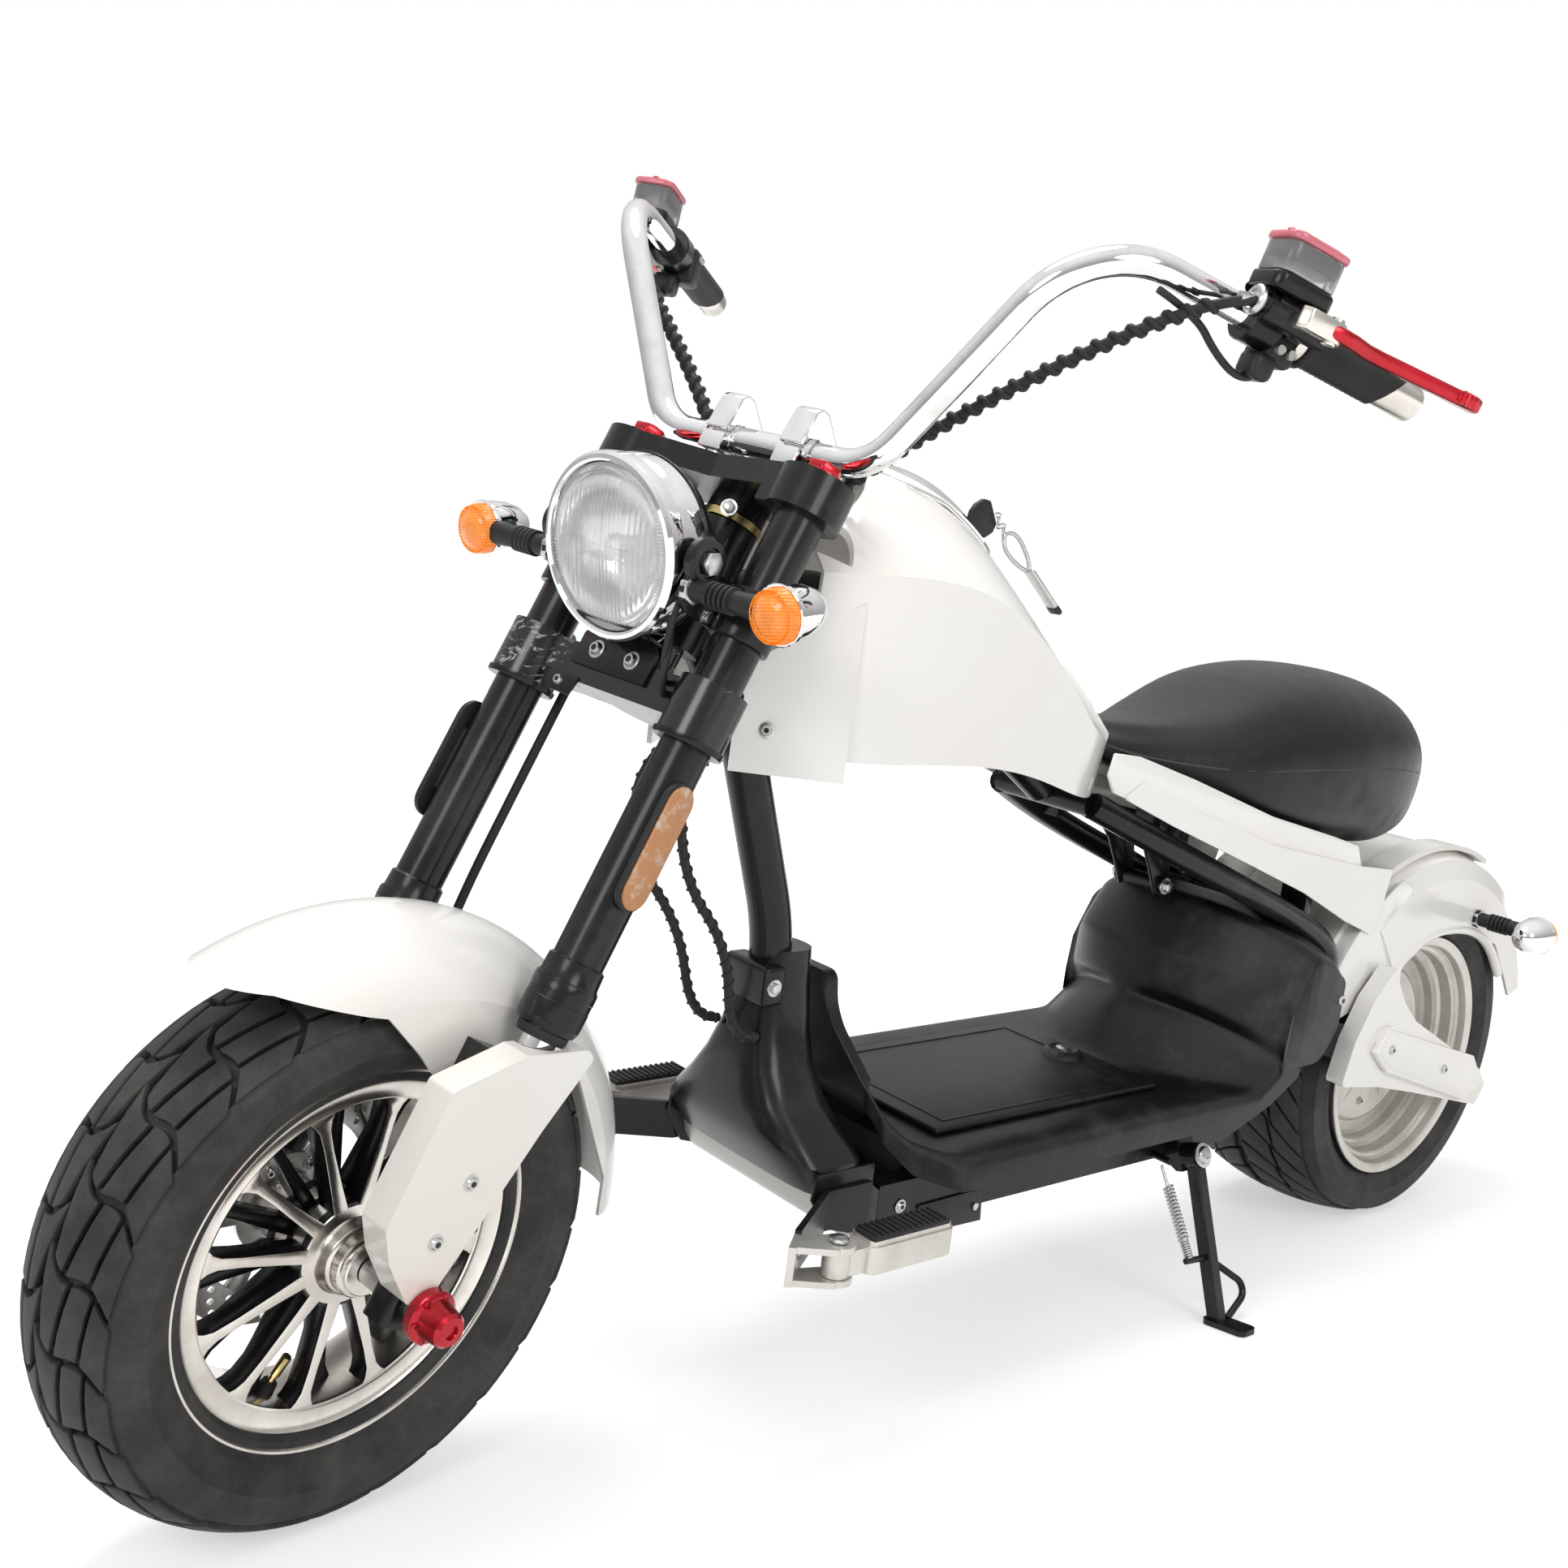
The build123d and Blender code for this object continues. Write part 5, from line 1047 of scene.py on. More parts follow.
def seat_section(x, half, low, wide, top, count=28):
    """The points of one closed section: a flat base, full sides and a soft crown."""
    points = []
    for i in range(count):
        angle = 2 * pi * i / count
        y, z = cos(angle), sin(angle)
        if z >= 0:
            side = abs(y) ** 0.78 * (1 if y > 0 else -1)
            points.append(Vector((x, half * side, wide + (top - wide) * z ** 0.86)))
        else:
            side = abs(y) ** 0.45 * (1 if y > 0 else -1)
            points.append(Vector((x, (half - 3) * side, wide - (wide - low) * abs(z) ** 0.55)))
    return points


def lofted(sections, cap=True):
    """Rings of points joined one to the next."""
    shape = Shape()
    loops = []
    for points in sections:
        verts = [shape.bm.verts.new(p) for p in points]
        loops.append([shape.bm.edges.new(pair) for pair in zip(verts, verts[1:] + verts[:1])])
        if cap and (len(loops) == 1 or len(loops) == len(sections)):
            shape.bm.faces.new(verts)
    for a, b in zip(loops, loops[1:]):
        bmesh.ops.bridge_loops(shape.bm, edges=a + b)
    return shape.outward()


class CHOPPER_OT_seat(bpy.types.Operator):
    """Stuffed leathercloth seat with a piped seam round its broad back"""
    bl_idname = "chopper.seat"
    bl_label = "Seat"

    def execute(self, context):
        shape = lofted([seat_section(*row) for row in SEAT_SECTIONS])
        bmesh.ops.subdivide_edges(shape.bm, edges=shape.bm.edges[:], cuts=1, use_grid_fill=True,
                                  smooth=0.6)
        mesh = shape.at(VEHICLE).mesh("seat_cushion")
        shape.bm.free()
        mesh.materials.append(FINISHES["seat_leather"]())
        seat = show("seat_cushion", mesh)
        self.stuff(context, seat)
        for face in seat.data.polygons:
            face.use_smooth = True
        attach(seat, "chassis")
        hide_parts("seat")
        self.seams(seat)
        return {"FINISHED"}

    def stuff(self, context, seat):
        """Fills the cover by cloth simulation, then keeps its flat base."""
        most, last = 0.007, 20
        remesh = seat.modifiers.new("even", "REMESH")
        remesh.mode, remesh.voxel_size = "VOXEL", 0.006
        self.keep(seat)
        start = [v.co.copy() for v in seat.data.vertices]
        cloth = seat.modifiers.new("stuffing", "CLOTH")
        cloth.settings.use_pressure = True
        cloth.settings.uniform_pressure_force = 4.0
        cloth.settings.effector_weights.gravity = 0.0
        cloth.point_cache.frame_start, cloth.point_cache.frame_end = 1, last
        for number in range(1, last + 1):
            context.scene.frame_set(number)
        self.keep(seat)
        context.scene.frame_set(1)
        base = VEHICLE.to_3x3().normalized() @ Vector((0, 0, 1))
        for vert, was in zip(seat.data.vertices, start):
            move = vert.co - was
            if move.length > most:
                move *= most / move.length
            down = move.dot(base)
            if down < 0:
                move -= base * down
            vert.co = was + move
        smooth = seat.modifiers.new("smooth", "SMOOTH")
        smooth.factor, smooth.iterations = 0.5, 8
        fine = seat.modifiers.new("fine", "SUBSURF")
        fine.levels = fine.render_levels = 1
        self.keep(seat)

    def keep(self, seat):
        """Applies the modifiers to the mesh."""
        mesh = settled(seat)
        seat.modifiers.clear()
        seat.data = mesh

    def seams(self, seat):
        """Lays the piping where a side panel meets the crown, on the stuffed cover."""
        tree = bmesh.new()
        tree.from_mesh(seat.data)
        cover = BVHTree.FromBMesh(tree)
        for name, side in (("seat_seam_left", 1), ("seat_seam_right", -1)):
            line = [cover.find_nearest(VEHICLE @ Vector((x, side * half * 0.97, wide + 2)))[0]
                    for x, half, low, wide, top in SEAT_SECTIONS]
            seam = pipe([p / MM for p in line], 1.5, sides=3, resolution=12)
            seam.at(Matrix.Scale(MM, 4))
            piece(name, seam, Matrix.Identity(4), "chassis", "leather", ["thread"])
        tree.free()


# Foot deck
def grid_sheet(columns, rows, place):
    """An open sheet: place gives the point of each pair of fractions."""
    shape = Shape()
    bmesh.ops.create_grid(shape.bm, x_segments=columns, y_segments=rows, size=0.5)
    return shape.warp(lambda p: place(p.x + 0.5, p.y + 0.5))


def ease(value, low, high):
    """0 below low, 1 above high, smooth between."""
    t = min(max((value - low) / (high - low), 0.0), 1.0)
    return t * t * (3 - 2 * t)


DECK_SHOULDER, DECK_EDGE = 130.0, 168.0


def across_deck(side, middle, shoulder, edge):
    """A value that turns smoothly from the deck's middle to its sides."""
    share = max(0.02, min(0.98, (shoulder - middle) / (edge - middle)))
    bend = log(share) / log(DECK_SHOULDER / DECK_EDGE)
    return middle + (edge - middle) * (side / DECK_EDGE) ** bend


# The deck's moulding from neck to tail: (ahead, height), each one value, or three for
# the deck's middle, shoulder and edge.
DECK_KNOTS = (
    (1018.0, 430.0), (1012.0, 390.0), (1000.0, 344.0), (984.0, 306.0), (962.0, 280.0),
    (930.0, 272.0), (760.0, 272.0), ((566.0, 520.0, 500.0), 272.0),
    ((548.0, 486.0, 440.0), (280.0, 276.0, 272.0)), ((522.0, 438.0, 404.0), (338.0, 312.0, 296.0)),
    ((512.0, 428.0, 398.0), (350.0, 324.0, 306.0)), ((503.0, 450.0, 404.0), (362.0, 346.0, 330.0)),
    ((496.0, 448.0, 400.0), (408.0, 392.0, 372.0)), ((486.0, 440.0, 392.0), (424.0, 406.0, 388.0)),
    ((466.0, 410.0, 372.0), (466.0, 446.0, 424.0)), ((452.0, 394.0, 356.0), (474.0, 452.0, 430.0)),
    ((400.0, 340.0, 320.0), (474.0, 440.0, 418.0)), ((262.0, 274.0, 298.0), (440.0, 412.0, 398.0)),
)


def deck_line(side):
    """The moulding's (ahead, height) knots at one distance from the middle."""
    return [[across_deck(side, *value) if isinstance(value, tuple) else value for value in knot]
            for knot in DECK_KNOTS]


def deck_half(x, z):
    """Half the deck's width at a place along it: full, and narrow up the neck."""
    if x > 925.0:
        return DECK_EDGE - 58.0 * ease(x, 925.0, 985.0) - 74.0 * ease(z, 288.0, 420.0)
    return DECK_EDGE - 10.0 * ease(300.0 - x, 0.0, 60.0)


class CHOPPER_OT_foot_deck(bpy.types.Operator):
    """Grained foot deck: rolled edges, stepped hump, bent neck and grooved lid"""
    bl_idname = "chopper.foot_deck"
    bl_label = "Foot deck"

    def execute(self, context):
        deck = self.moulding()
        piece("foot_deck_moulded", deck, *ON_FRAME, "black_plastic", ["grained_plastic"],
              ["footboard"], 50.0)
        self.lid()
        for side in (1, -1):
            screw = bolt(6.5, 4.5)
            piece("deck_bolt_" + ("left" if side > 0 else "right"), screw, VEHICLE @ shift(300,
                  side * 165.5, 368) @ turned_by(-90.0 * side, "X"), "chassis", "steel", BOLTED)
        return {"FINISHED"}

    def moulding(self):
        steps, lanes, roll, rolled = 8, 40, 4, 12.0
        parts = len(DECK_KNOTS) - 1

        def skin(a, b):
            """A point of the sheet, lanes across and knots along."""
            across = (b * 2 - 1) * (1 + roll / lanes)
            flat = max(-1.0, min(1.0, across))
            over = max(0.0, abs(across) - 1.0) * lanes / roll
            where = a * parts
            index = min(int(where), parts - 1)
            start, end = deck_line(abs(flat * DECK_EDGE))[index:index + 2]
            t = where - index
            x, z = (start[0] * (1 - t) + end[0] * t, start[1] * (1 - t) + end[1] * t)
            half = deck_half(x, z) - rolled
            swing = over * pi / 2
            y = flat * half + (rolled * sin(swing)) * (1 if across > 0 else -1)
            raised = 3.0 * ease(abs(y), 114, 120) - 3.0 * ease(abs(y), 146, 156)
            z += raised * ease(x, 540, 570) * (1 - ease(x, 900, 940))
            return Vector((x, y, z - rolled * (1 - cos(swing))))

        deck = grid_sheet(parts * steps, 2 * (lanes + roll), skin)
        inner = [v for v in deck.bm.verts if not v.is_boundary]
        for _ in range(7):
            bmesh.ops.smooth_vert(deck.bm, verts=inner, factor=0.5, use_axis_x=True,
                                  use_axis_y=True, use_axis_z=True)
        rim = [e for e in deck.bm.edges if e.is_boundary]
        pulled = bmesh.ops.extrude_edge_only(deck.bm, edges=rim)
        for vert in pulled["geom"]:
            if not isinstance(vert, bmesh.types.BMVert):
                continue
            x, z = vert.co.x, vert.co.z
            if x > 925.0:
                vert.co += Vector((-4.0, 0, -22.0)) if z < 330 else Vector((-14.0, 0, 0))
            elif abs(vert.co.y) > 150.0:
                low = 238.0 + 55.0 * ease(520.0 - x, 0, 145.0)
                vert.co.z = min(z - 4.0, low + 95.0 * ease(385.0 - x, 40.0, 123.0) ** 1.5)
            else:
                vert.co.z = z - 70.0 * (1 - ease(abs(vert.co.y), 110.0, 150.0))
        bmesh.ops.recalc_face_normals(deck.bm, faces=deck.bm.faces)
        return deck

    def lid(self):
        """The battery lid, sunk in a frame line, with grooves and a lock."""
        lid = block((352.0, 222.0, 7.0), (737.5, 0, 276.2), 2.4, 3)
        frame_line = Shape()
        for y in (-96.0, 96.0):
            frame_line.add(block((300.0, 3.0, 1.2), (740.0, y, 280.0), 0.5))
        for x in (590.0, 890.0):
            frame_line.add(block((3.0, 195.0, 1.2), (x, 0, 280.0), 0.5))
        lid.add(frame_line)
        boss = dome([(0, 0), (26, 0), (22.5, 5.5), (18.5, 8.0), (17.0, 8.6), (14.0, 7.2),
                      (0, 7.2)], 48)
        lid.add(boss, shift(596, 0, 279.0))
        lock = dome([(0, 0), (8.5, 0), (8.5, 2.4), (7.2, 3.2), (0, 3.2)], 32).paint(1)
        lock.add(block((1.4, 7.0, 1.0), (0, 0, 3.3), 0.2).paint(2))
        lid.add(lock, shift(596, 0, 286.0))
        piece("battery_lid_grooved", lid, VEHICLE, "battery_lid", "black_plastic",
              ["grained_plastic", "bright_steel", "black_plastic"], ["battery_lid"])


class CHOPPER_OT_front_gusset(bpy.types.Operator):
    """Skirt that flares from the down tube to the floor, and its clamp"""
    bl_idname = "chopper.front_gusset"
    bl_label = "Front gusset"

    def execute(self, context):
        sections = []
        for z, back, front, half, corner in (
                (452, 1024, 1078, 27, 0.9), (436, 1023, 1084, 29, 0.9), (405, 1022, 1091, 33, 0.8),
                (372, 1022, 1098, 41, 0.7), (340, 1021, 1104, 54, 0.62), (312, 1017, 1107, 74, 0.55),
                (288, 1009, 1106, 98, 0.45), (266, 1001, 1096, 117.4, 0.3),
                (236, 1001, 1074, 117.4, 0.25)):
            middle, deep = (back + front) / 2, (front - back) / 2
            ring_points = []
            for i in range(36):
                angle = 2 * pi * i / 36
                c, s = cos(angle), sin(angle)
                power = 0.35 + 0.5 * corner
                ring_points.append(Vector((
                    middle + deep * abs(c) ** power * (1 if c > 0 else -1),
                    half * abs(s) ** power * (1 if s > 0 else -1), z)))
            sections.append(ring_points)
        skirt = lofted(sections)
        for side in (1, -1):
            cheek = plate([(1074, 262), (1078, 236), (1056, 204), (1010, 190), (990, 190),
                           (990, 232), (1001, 240), (1001, 262)], 4.0, 0.8)
            skirt.add(cheek, shift(0, side * 114.0 + (4.0 if side > 0 else 0), 0)
                      @ turned_by(90.0, "X"))
        piece("front_gusset_flared", skirt, *ON_FRAME, "black_paint", ["black_gloss"],
              ["front_gusset"], 40.0)
        clamp = block((26, 66, 40), (1082, 0, 420), 5.0, 3)
        for side in (1, -1):
            clamp.add(hex_bolt(6.0, 5.0).paint(1),
                      shift(1084, side * 33.0, 420) @ turned_by(-90.0 * side, "X"))
        piece("down_tube_clamp", clamp, *ON_FRAME, "black_paint", ["black_gloss", "bright_steel"])
        return {"FINISHED"}


# Front end
LAMP_CENTRE = FORK_BASIS @ Vector((117.0, 0.0, 608.0))
LAMP_FACING = Vector((cos(radians(8.9)), 0.0, -sin(radians(8.9))))
LAMP = STEERED @ along(LAMP_CENTRE, LAMP_CENTRE + LAMP_FACING)
LENS_RADIUS = 70.0


class CHOPPER_OT_headlamp(bpy.types.Operator):
    """Headlamp: bezel, shell, fluted lens, reflector, bulb and its ears"""
    bl_idname = "chopper.headlamp"
    bl_label = "Headlamp"

    def execute(self, context):
        shell = lathe([(LENS_RADIUS + 0.6, -2), (LENS_RADIUS + 1.2, 2.6), (73.4, 4.2), (76.8, 3.2),
                       (79.2, 0), (79.6, -5), (78.8, -12), (76.4, -14), (76.0, -17), (76.8, -19),
                       (76.6, -30), (75.4, -42), (72.2, -42), (73.0, -30), (72.6, -16),
                       (LENS_RADIUS + 0.6, -12)], 128)
        bowl = dome([(75.2, -42), (71.5, -52), (61, -63), (45, -72), (24, -77), (0.0, -78.5)],
                     96).paint(1)
        seam = ring(75.9, 0.9, 96, 8).paint(1)
        shell.add(bowl).add(seam, shift(0, 0, -42.0))
        tab = plate([(-26, 0), (26, 0), (20, 26), (-20, 26)], 2.5, 1.0)
        shell.add(tab, shift(0, -84, -34) @ turned_by(-78, "X"))
        piece("headlamp_shell_dressed", shell, LAMP, "steering", "chrome", ["chrome",
              "black_gloss"], ["headlamp_shell"], 30.0)

        rings = [(LENS_RADIUS * i / 44, 8.4 * (1 - (i / 44) ** 2)) for i in range(45)]
        lens = dome(rings[::-1], 288)

        def fluted(point):
            radius = sqrt(point.x * point.x + point.y * point.y)
            if radius > 61.0:
                turn = atan2(point.y, point.x)
                lift = 1.3 * (0.5 + 0.5 * cos(turn * 144)) * ease(radius, 61.0, 62.6)
                lift *= 1 - ease(radius, 68.4, 69.6)
            else:
                column = 4.4 if abs(point.x) < 26 else 6.0
                lift = 1.5 * abs(sin(pi * point.x / column)) * (1 - ease(radius, 58.0, 61.0))
                lift += 0.35 * ease(point.y, -8.0, -6.0) * (1 - ease(point.y, 2.0, 4.0))
            return Vector((point.x, point.y, point.z + lift))

        lens.warp(fluted)
        skirt = dome([(LENS_RADIUS, 0.0), (LENS_RADIUS, -8.0)], 144)
        lens.add(skirt)
        piece("headlamp_lens_fluted", lens, LAMP, "steering", "clear_glass", ["lamp_glass"],
              ["headlamp_lens"], 80.0)

        dish = dome([(LENS_RADIUS - 1, -7), (66, -16), (56, -32), (40, -46), (22, -54),
                      (9, -56)], 96)
        facets = dome([(66.5, -15.0), (60.5, -25.5)], 24)
        dish.add(facets)
        bulb = dome([(0.0, -20.0), (5.0, -21.5), (8.0, -26.0), (8.5, -32.0), (7.0, -46.0),
                      (9.0, -56.0), (0.0, -56.0)], 32).paint(1)
        dish.add(bulb)
        hood = dome([(0.0, -12.0), (11.0, -13.5), (12.5, -18.0), (11.8, -18.0), (0.0, -14.0)],
                     40)
        dish.add(hood)
        piece("headlamp_reflector", dish, LAMP, "steering", "chrome", ["mirror_bowl", "bulb_glass"],
              (), 40.0)

        ears = Shape()
        for side in (1, -1):
            collar = lathe([(22.4, 580), (26.5, 580.6), (27, 582), (27, 622), (26.5, 623.4),
                            (22.4, 624)], 48)
            ears.add(collar, on_leg(side))
            arm = plate([(36, 584), (88, 582), (103, 590), (104, 618), (92, 626), (66, 626),
                         (36, 626)], 4.5, 1.2)
            ears.add(arm, shift(0, side * 81.6 + 2.2, 0) @ turned_by(90, "X"))
            boss = dome([(0.0, 0.0), (19.0, 0.0), (21.0, 2.0), (21.0, 8.0), (18.6, 11.0),
                          (13.0, 11.5), (12.2, 9.0), (0.0, 9.0)], 40)
            place = shift(97, side * 83.0, 624) @ turned_by(-90 * side, "X")
            ears.add(boss, place)
            head = rod((0, 0, 8), (0, 0, 17), 10.5, 6, edge=1.2).paint(1)
            ears.add(head, place)
        for side in (-1, 1):
            pinch = hex_bolt(5.5, 5.0).paint(1)
            ears.add(pinch, shift(62.0, side * 84.0, 590.0) @ turned_by(-90.0 * side, "X"))
        piece("headlamp_ears", ears, *ON_FORK, "black_paint", ["black_gloss", "bright_steel"],
              ["headlamp_bracket"])

        cable = pipe([(84, 70, 574), (76, 78, 548), (64, 74, 522), (34, 62, 516), (20, 52, 530)],
                     3.2, sides=4)
        cable.add(pipe([(84, 70, 612), (92, 76, 590), (86, 78, 560), (72, 74, 536),
                        (40, 60, 524)], 2.6, sides=4))
        piece("headlamp_cables", cable, *ON_FORK, "black_rubber", ["soft_rubber"])
        return {"FINISHED"}


def signal_lamp():
    """A bullet lamp facing Z: ribbed amber lens, chrome shell; its axis is at 0."""
    shell = lathe([(24.0, -3.0), (25.2, -1.4), (25.2, 1.6), (24.2, 2.4), (22.4, 2.4),
                   (22.4, -3.0)], 48)
    shell.add(dome([(24.2, -2.0), (23.6, -12.0), (21.6, -24.0), (17.0, -36.0), (10.0, -44.5),
                     (0.0, -47.6)], 48))
    lens = Shape()
    bmesh.ops.create_cone(lens.bm, cap_ends=True, segments=16, radius1=23.4, radius2=20.2,
                          depth=11.0)
    lens.at(shift(0, 0, 7.5))
    bmesh.ops.bevel(lens.bm, geom=[e for e in lens.bm.edges if e.is_manifold
                                   and (e.verts[0].co.z + e.verts[1].co.z) > 25.0],
                    offset=3.2, segments=2, profile=0.5, affect="EDGES", material=-1)
    top = dome([(17.6, 13.0), (14.0, 16.4), (9.0, 18.6), (0.0, 20.0)], 16)
    lens.add(top)
    ribs = dome([(22.6 + (0.7 if i % 2 else -0.1) - i * 0.16, 1.8 + i * 1.0)
                  for i in range(12)], 40)
    lens.add(ribs)
    shell.add(lens.paint(1))
    inner = dome([(0.0, 3.0), (9.0, 4.0), (10.0, 9.0), (6.0, 14.0), (0.0, 15.5)], 20).paint(2)
    return shell.add(inner)


def signal_stem(length):
    """A rubber stem along Z with a hex nut at its foot and ribs in the middle."""
    profile = [(0.0, 0.0), (12.0, 0.0), (12.0, 5.0), (9.4, 6.0), (9.4, length * 0.30)]
    for i in range(5):
        at = length * 0.30 + i * 5.6
        profile += [(11.6, at + 0.8), (11.6, at + 3.4), (9.0, at + 4.2)]
    profile += [(9.4, length * 0.30 + 30.0), (10.4, length - 14.0), (11.0, length),
                (0.0, length)]
    return dome(profile, 32)


class CHOPPER_OT_signals(bpy.types.Operator):
    """Turn signals, front and rear, with their ribbed stems"""
    bl_idname = "chopper.signals"
    bl_label = "Turn signals"

    def execute(self, context):
        for end, where, basis, ahead, high, outer, inner, facing, length, nut in (
                ("front", ON_STEERING, FORK_BASIS, 94.0, 600.0, 184.0, 83.6, LAMP_FACING, 82.0,
                 (-1, 7, 13.5)),
                ("rear", ON_FRAME, Matrix.Identity(4), -77.0, 431.0, 210.0, 125.6,
                 Vector((-1, 0, 0)), 62.0, (-0.5, 6, 13.0))):
            lamps, stems = Shape(), Shape()
            for side in (1, -1):
                centre, start = (basis @ Vector((ahead, side * y, high)) for y in (outer, inner))
                lamps.add(signal_lamp(), along(centre, centre + facing))
                stems.add(signal_stem(length), along(start, centre))
                hexagon = rod((0, 0, nut[0]), (0, 0, nut[1]), nut[2], 6, edge=1.2)
                stems.add(hexagon.paint(1), along(start, centre))
            piece(end + "_signal_lamps", lamps, *where, "amber", ["chrome", "amber_glass",
                  "amber_reflector"], [end + "_signals"], 34.0)
            piece(end + "_signal_stems", stems, *where, "black_rubber", ["soft_rubber",
                  "bright_steel"])
        return {"FINISHED"}


class CHOPPER_OT_fork(bpy.types.Operator):
    """Clamps, caps, tube seals, reflectors and the bolts on the fork"""
    bl_idname = "chopper.fork"
    bl_label = "Fork fittings"

    def execute(self, context):
        caps = Shape()
        for side in (1, -1):
            cap = dome([(0.0, 736.4), (19.5, 736.4), (20.5, 737.4), (20.5, 741.0),
                         (18.0, 742.4), (0.0, 742.4)], 48)
            cap.add(rod((0, 0, 742), (0, 0, 750.6), 16.0, 6, edge=1.6))
            cap.add(dome([(0.0, 750.4), (8.4, 750.4), (7.4, 752.6), (6.0, 753.0),
                           (5.0, 751.2), (0.0, 751.2)], 24))
            caps.add(cap, on_leg(side))
        piece("fork_caps_turned", caps, *ON_FORK, "red_alloy", ["red_anodised"], ["fork_caps"])

        seals = Shape()
        for side in (1, -1):
            seal = lathe([(15.2, 233), (24.0, 233), (26.0, 236), (27.0, 240), (27.4, 256),
                          (26.0, 258), (26.0, 262), (27.4, 264), (27.4, 272), (25.2, 276),
                          (24.6, 290), (22.3, 292)], 48)
            seals.add(seal, on_leg(side))
            wiper = lathe([(15.2, 224), (20.5, 224), (22.0, 228), (22.0, 232), (15.2, 232)],
                          40).paint(1)
            seals.add(wiper, on_leg(side))
            band = lathe([(22.1, 486), (31.0, 486), (32.0, 488), (32.0, 491.4), (22.1, 491.4)],
                         40)
            seals.add(band, on_leg(side))
        piece("fork_tube_seals", seals, *ON_FORK, "black_paint", ["black_gloss", "soft_rubber"])

        nut = lathe([(15.0, 690.4), (26.0, 690.4), (28.4, 691.6), (28.4, 698.4), (26.0, 699.6),
                     (15.0, 699.6)], 16)
        nut.add(lathe([(15.0, 684.0), (25.0, 684.0), (25.6, 685.4), (25.6, 690.2),
                       (15.0, 690.2)], 48))
        nut.add(rod((24, 18, 695), (38, 26, 695), 3.4, 16).paint(1))
        nut.add(hex_bolt(5.4, 6.0).paint(1), along((38, 26, 695), (52, 34, 695)))
        piece("steering_head_nut", nut, *ON_FORK, "steel", ["brass", "bright_steel"])

        holders, faces = Shape(), Shape()
        for side in (1, -1):
            outline = [(17 * cos(pi * i / 12), end + 17 * sin(pi * i / 12))
                       for end, first in ((40, 0), (-40, 12)) for i in range(first, first + 13)]
            back = plate(outline, 6.0, 1.4)
            inner = plate([(x * 0.86, y * 0.955) for x, y in outline], 3.4, 1.2)
            place = shift(46.6, side * 129.4, 400) @ turned_by(-90.0 * side, "X")
            holders.add(back, place)
            faces.add(inner, place @ shift(0, 0, 5.6))
            holders.add(block((20, 8, 60), (44, side * 128.6, 400), 2.0))
        piece("reflector_holders", holders, *ON_FORK, "black_plastic", ["black_plastic"])
        piece("reflector_faces", faces, *ON_FORK, "amber", ["amber_reflector"], ["reflectors"])

        fittings = Shape()
        for y, z in ((-22, 536), (22, 536)):
            fittings.add(bolt(6.2, 5.4), along((54.0, y, z), (70.0, y, z)))
        fittings.add(bolt(5.0, 4.4), along((51.0, -50.0, 500.0), (70.0, -50.0, 500.0)))
        for side in (1, -1):
            for z in (506, 544):
                fittings.add(bolt(5.4, 5.0), along((0.0, side * LEG_ASIDE, z),
                                                   (-14.0, side * LEG_ASIDE, z))
                             @ shift(0, 0, -9.4))
        piece("lower_clamp_bolts", fittings, *ON_FORK, "steel", BOLTED)
        tab = plate([(-18, -10), (18, -10), (22, 8), (-22, 8)], 3.2, 1.0)
        fixed = Shape().add(tab, along((49.4, -50, 500), (60, -50, 500)))
        shelf = plate([(-46, -17), (46, -17), (46, 12), (38, 20), (-38, 20), (-46, 12)], 3.4, 1.0)
        fixed.add(shelf, along((50.8, 0, 536), (60, 0, 536)))
        ledge = plate([(-46, 0), (46, 0), (46, 30), (-46, 30)], 3.2, 1.0)
        fixed.add(ledge, along((53.8, 0, 554.5), (53.8, 0, 560), (-1, 0, 0))
                  @ turned_by(180.0, "Z"))
        piece("clamp_bracket_folded", fixed, *ON_FORK, "black_paint", ["black_gloss"],
              ["clamp_bracket"])
        return {"FINISHED"}


class CHOPPER_OT_risers(bpy.types.Operator):
    """Chromed risers and their wedge-topped caps"""
    bl_idname = "chopper.risers"
    bl_label = "Risers"

    def execute(self, context):
        bar = FORK_BASIS.inverted() @ Vector((1151.0, 0.0, 922.0))
        thick = 27.0
        lower = plate([(-19, -19), (18, -19), (19, -2.0), (12.9, -1.0), (9.2, -9.2), (0, -12.9),
                       (-9.2, -9.2), (-12.9, -1.0), (-19, -1.0)], thick, 1.6)
        cap = plate([(19, 1.2), (18, 34), (12, 40), (2, 40), (-50, 8), (-50, 2), (-19, 1.2),
                     (-12.9, 1.2), (-9.2, 9.2), (0, 12.9), (9.2, 9.2), (12.9, 1.2)], thick, 1.8)
        both = Shape()
        for y in (45.0, -45.0):
            foot = dome([(0.0, 736.4), (16.0, 736.4), (16.5, 738.0), (14.0, 741.0),
                          (13.4, bar.z - 12), (0.0, bar.z - 12)], 40)
            both.add(foot, shift(bar.x, y, 0))
            for half in (lower, cap):
                both.add(half, shift(bar.x, y + thick / 2, bar.z) @ turned_by(90, "X"))
        piece("risers_cast", both, *ON_FORK, "chrome", ["chrome"], ["risers"], 22.0)
        clamps = Shape()
        for side in (1, -1):
            knob = lathe([(13.0, -3), (15.0, -3), (15.0, 3), (13.0, 3)], 40)
            clamps.add(knob, along((bar.x, side * 63.0, bar.z), (bar.x, side * 70.0, bar.z)))
        piece("bar_collars", clamps, *ON_FORK, "chrome", ["chrome"])
        return {"FINISHED"}


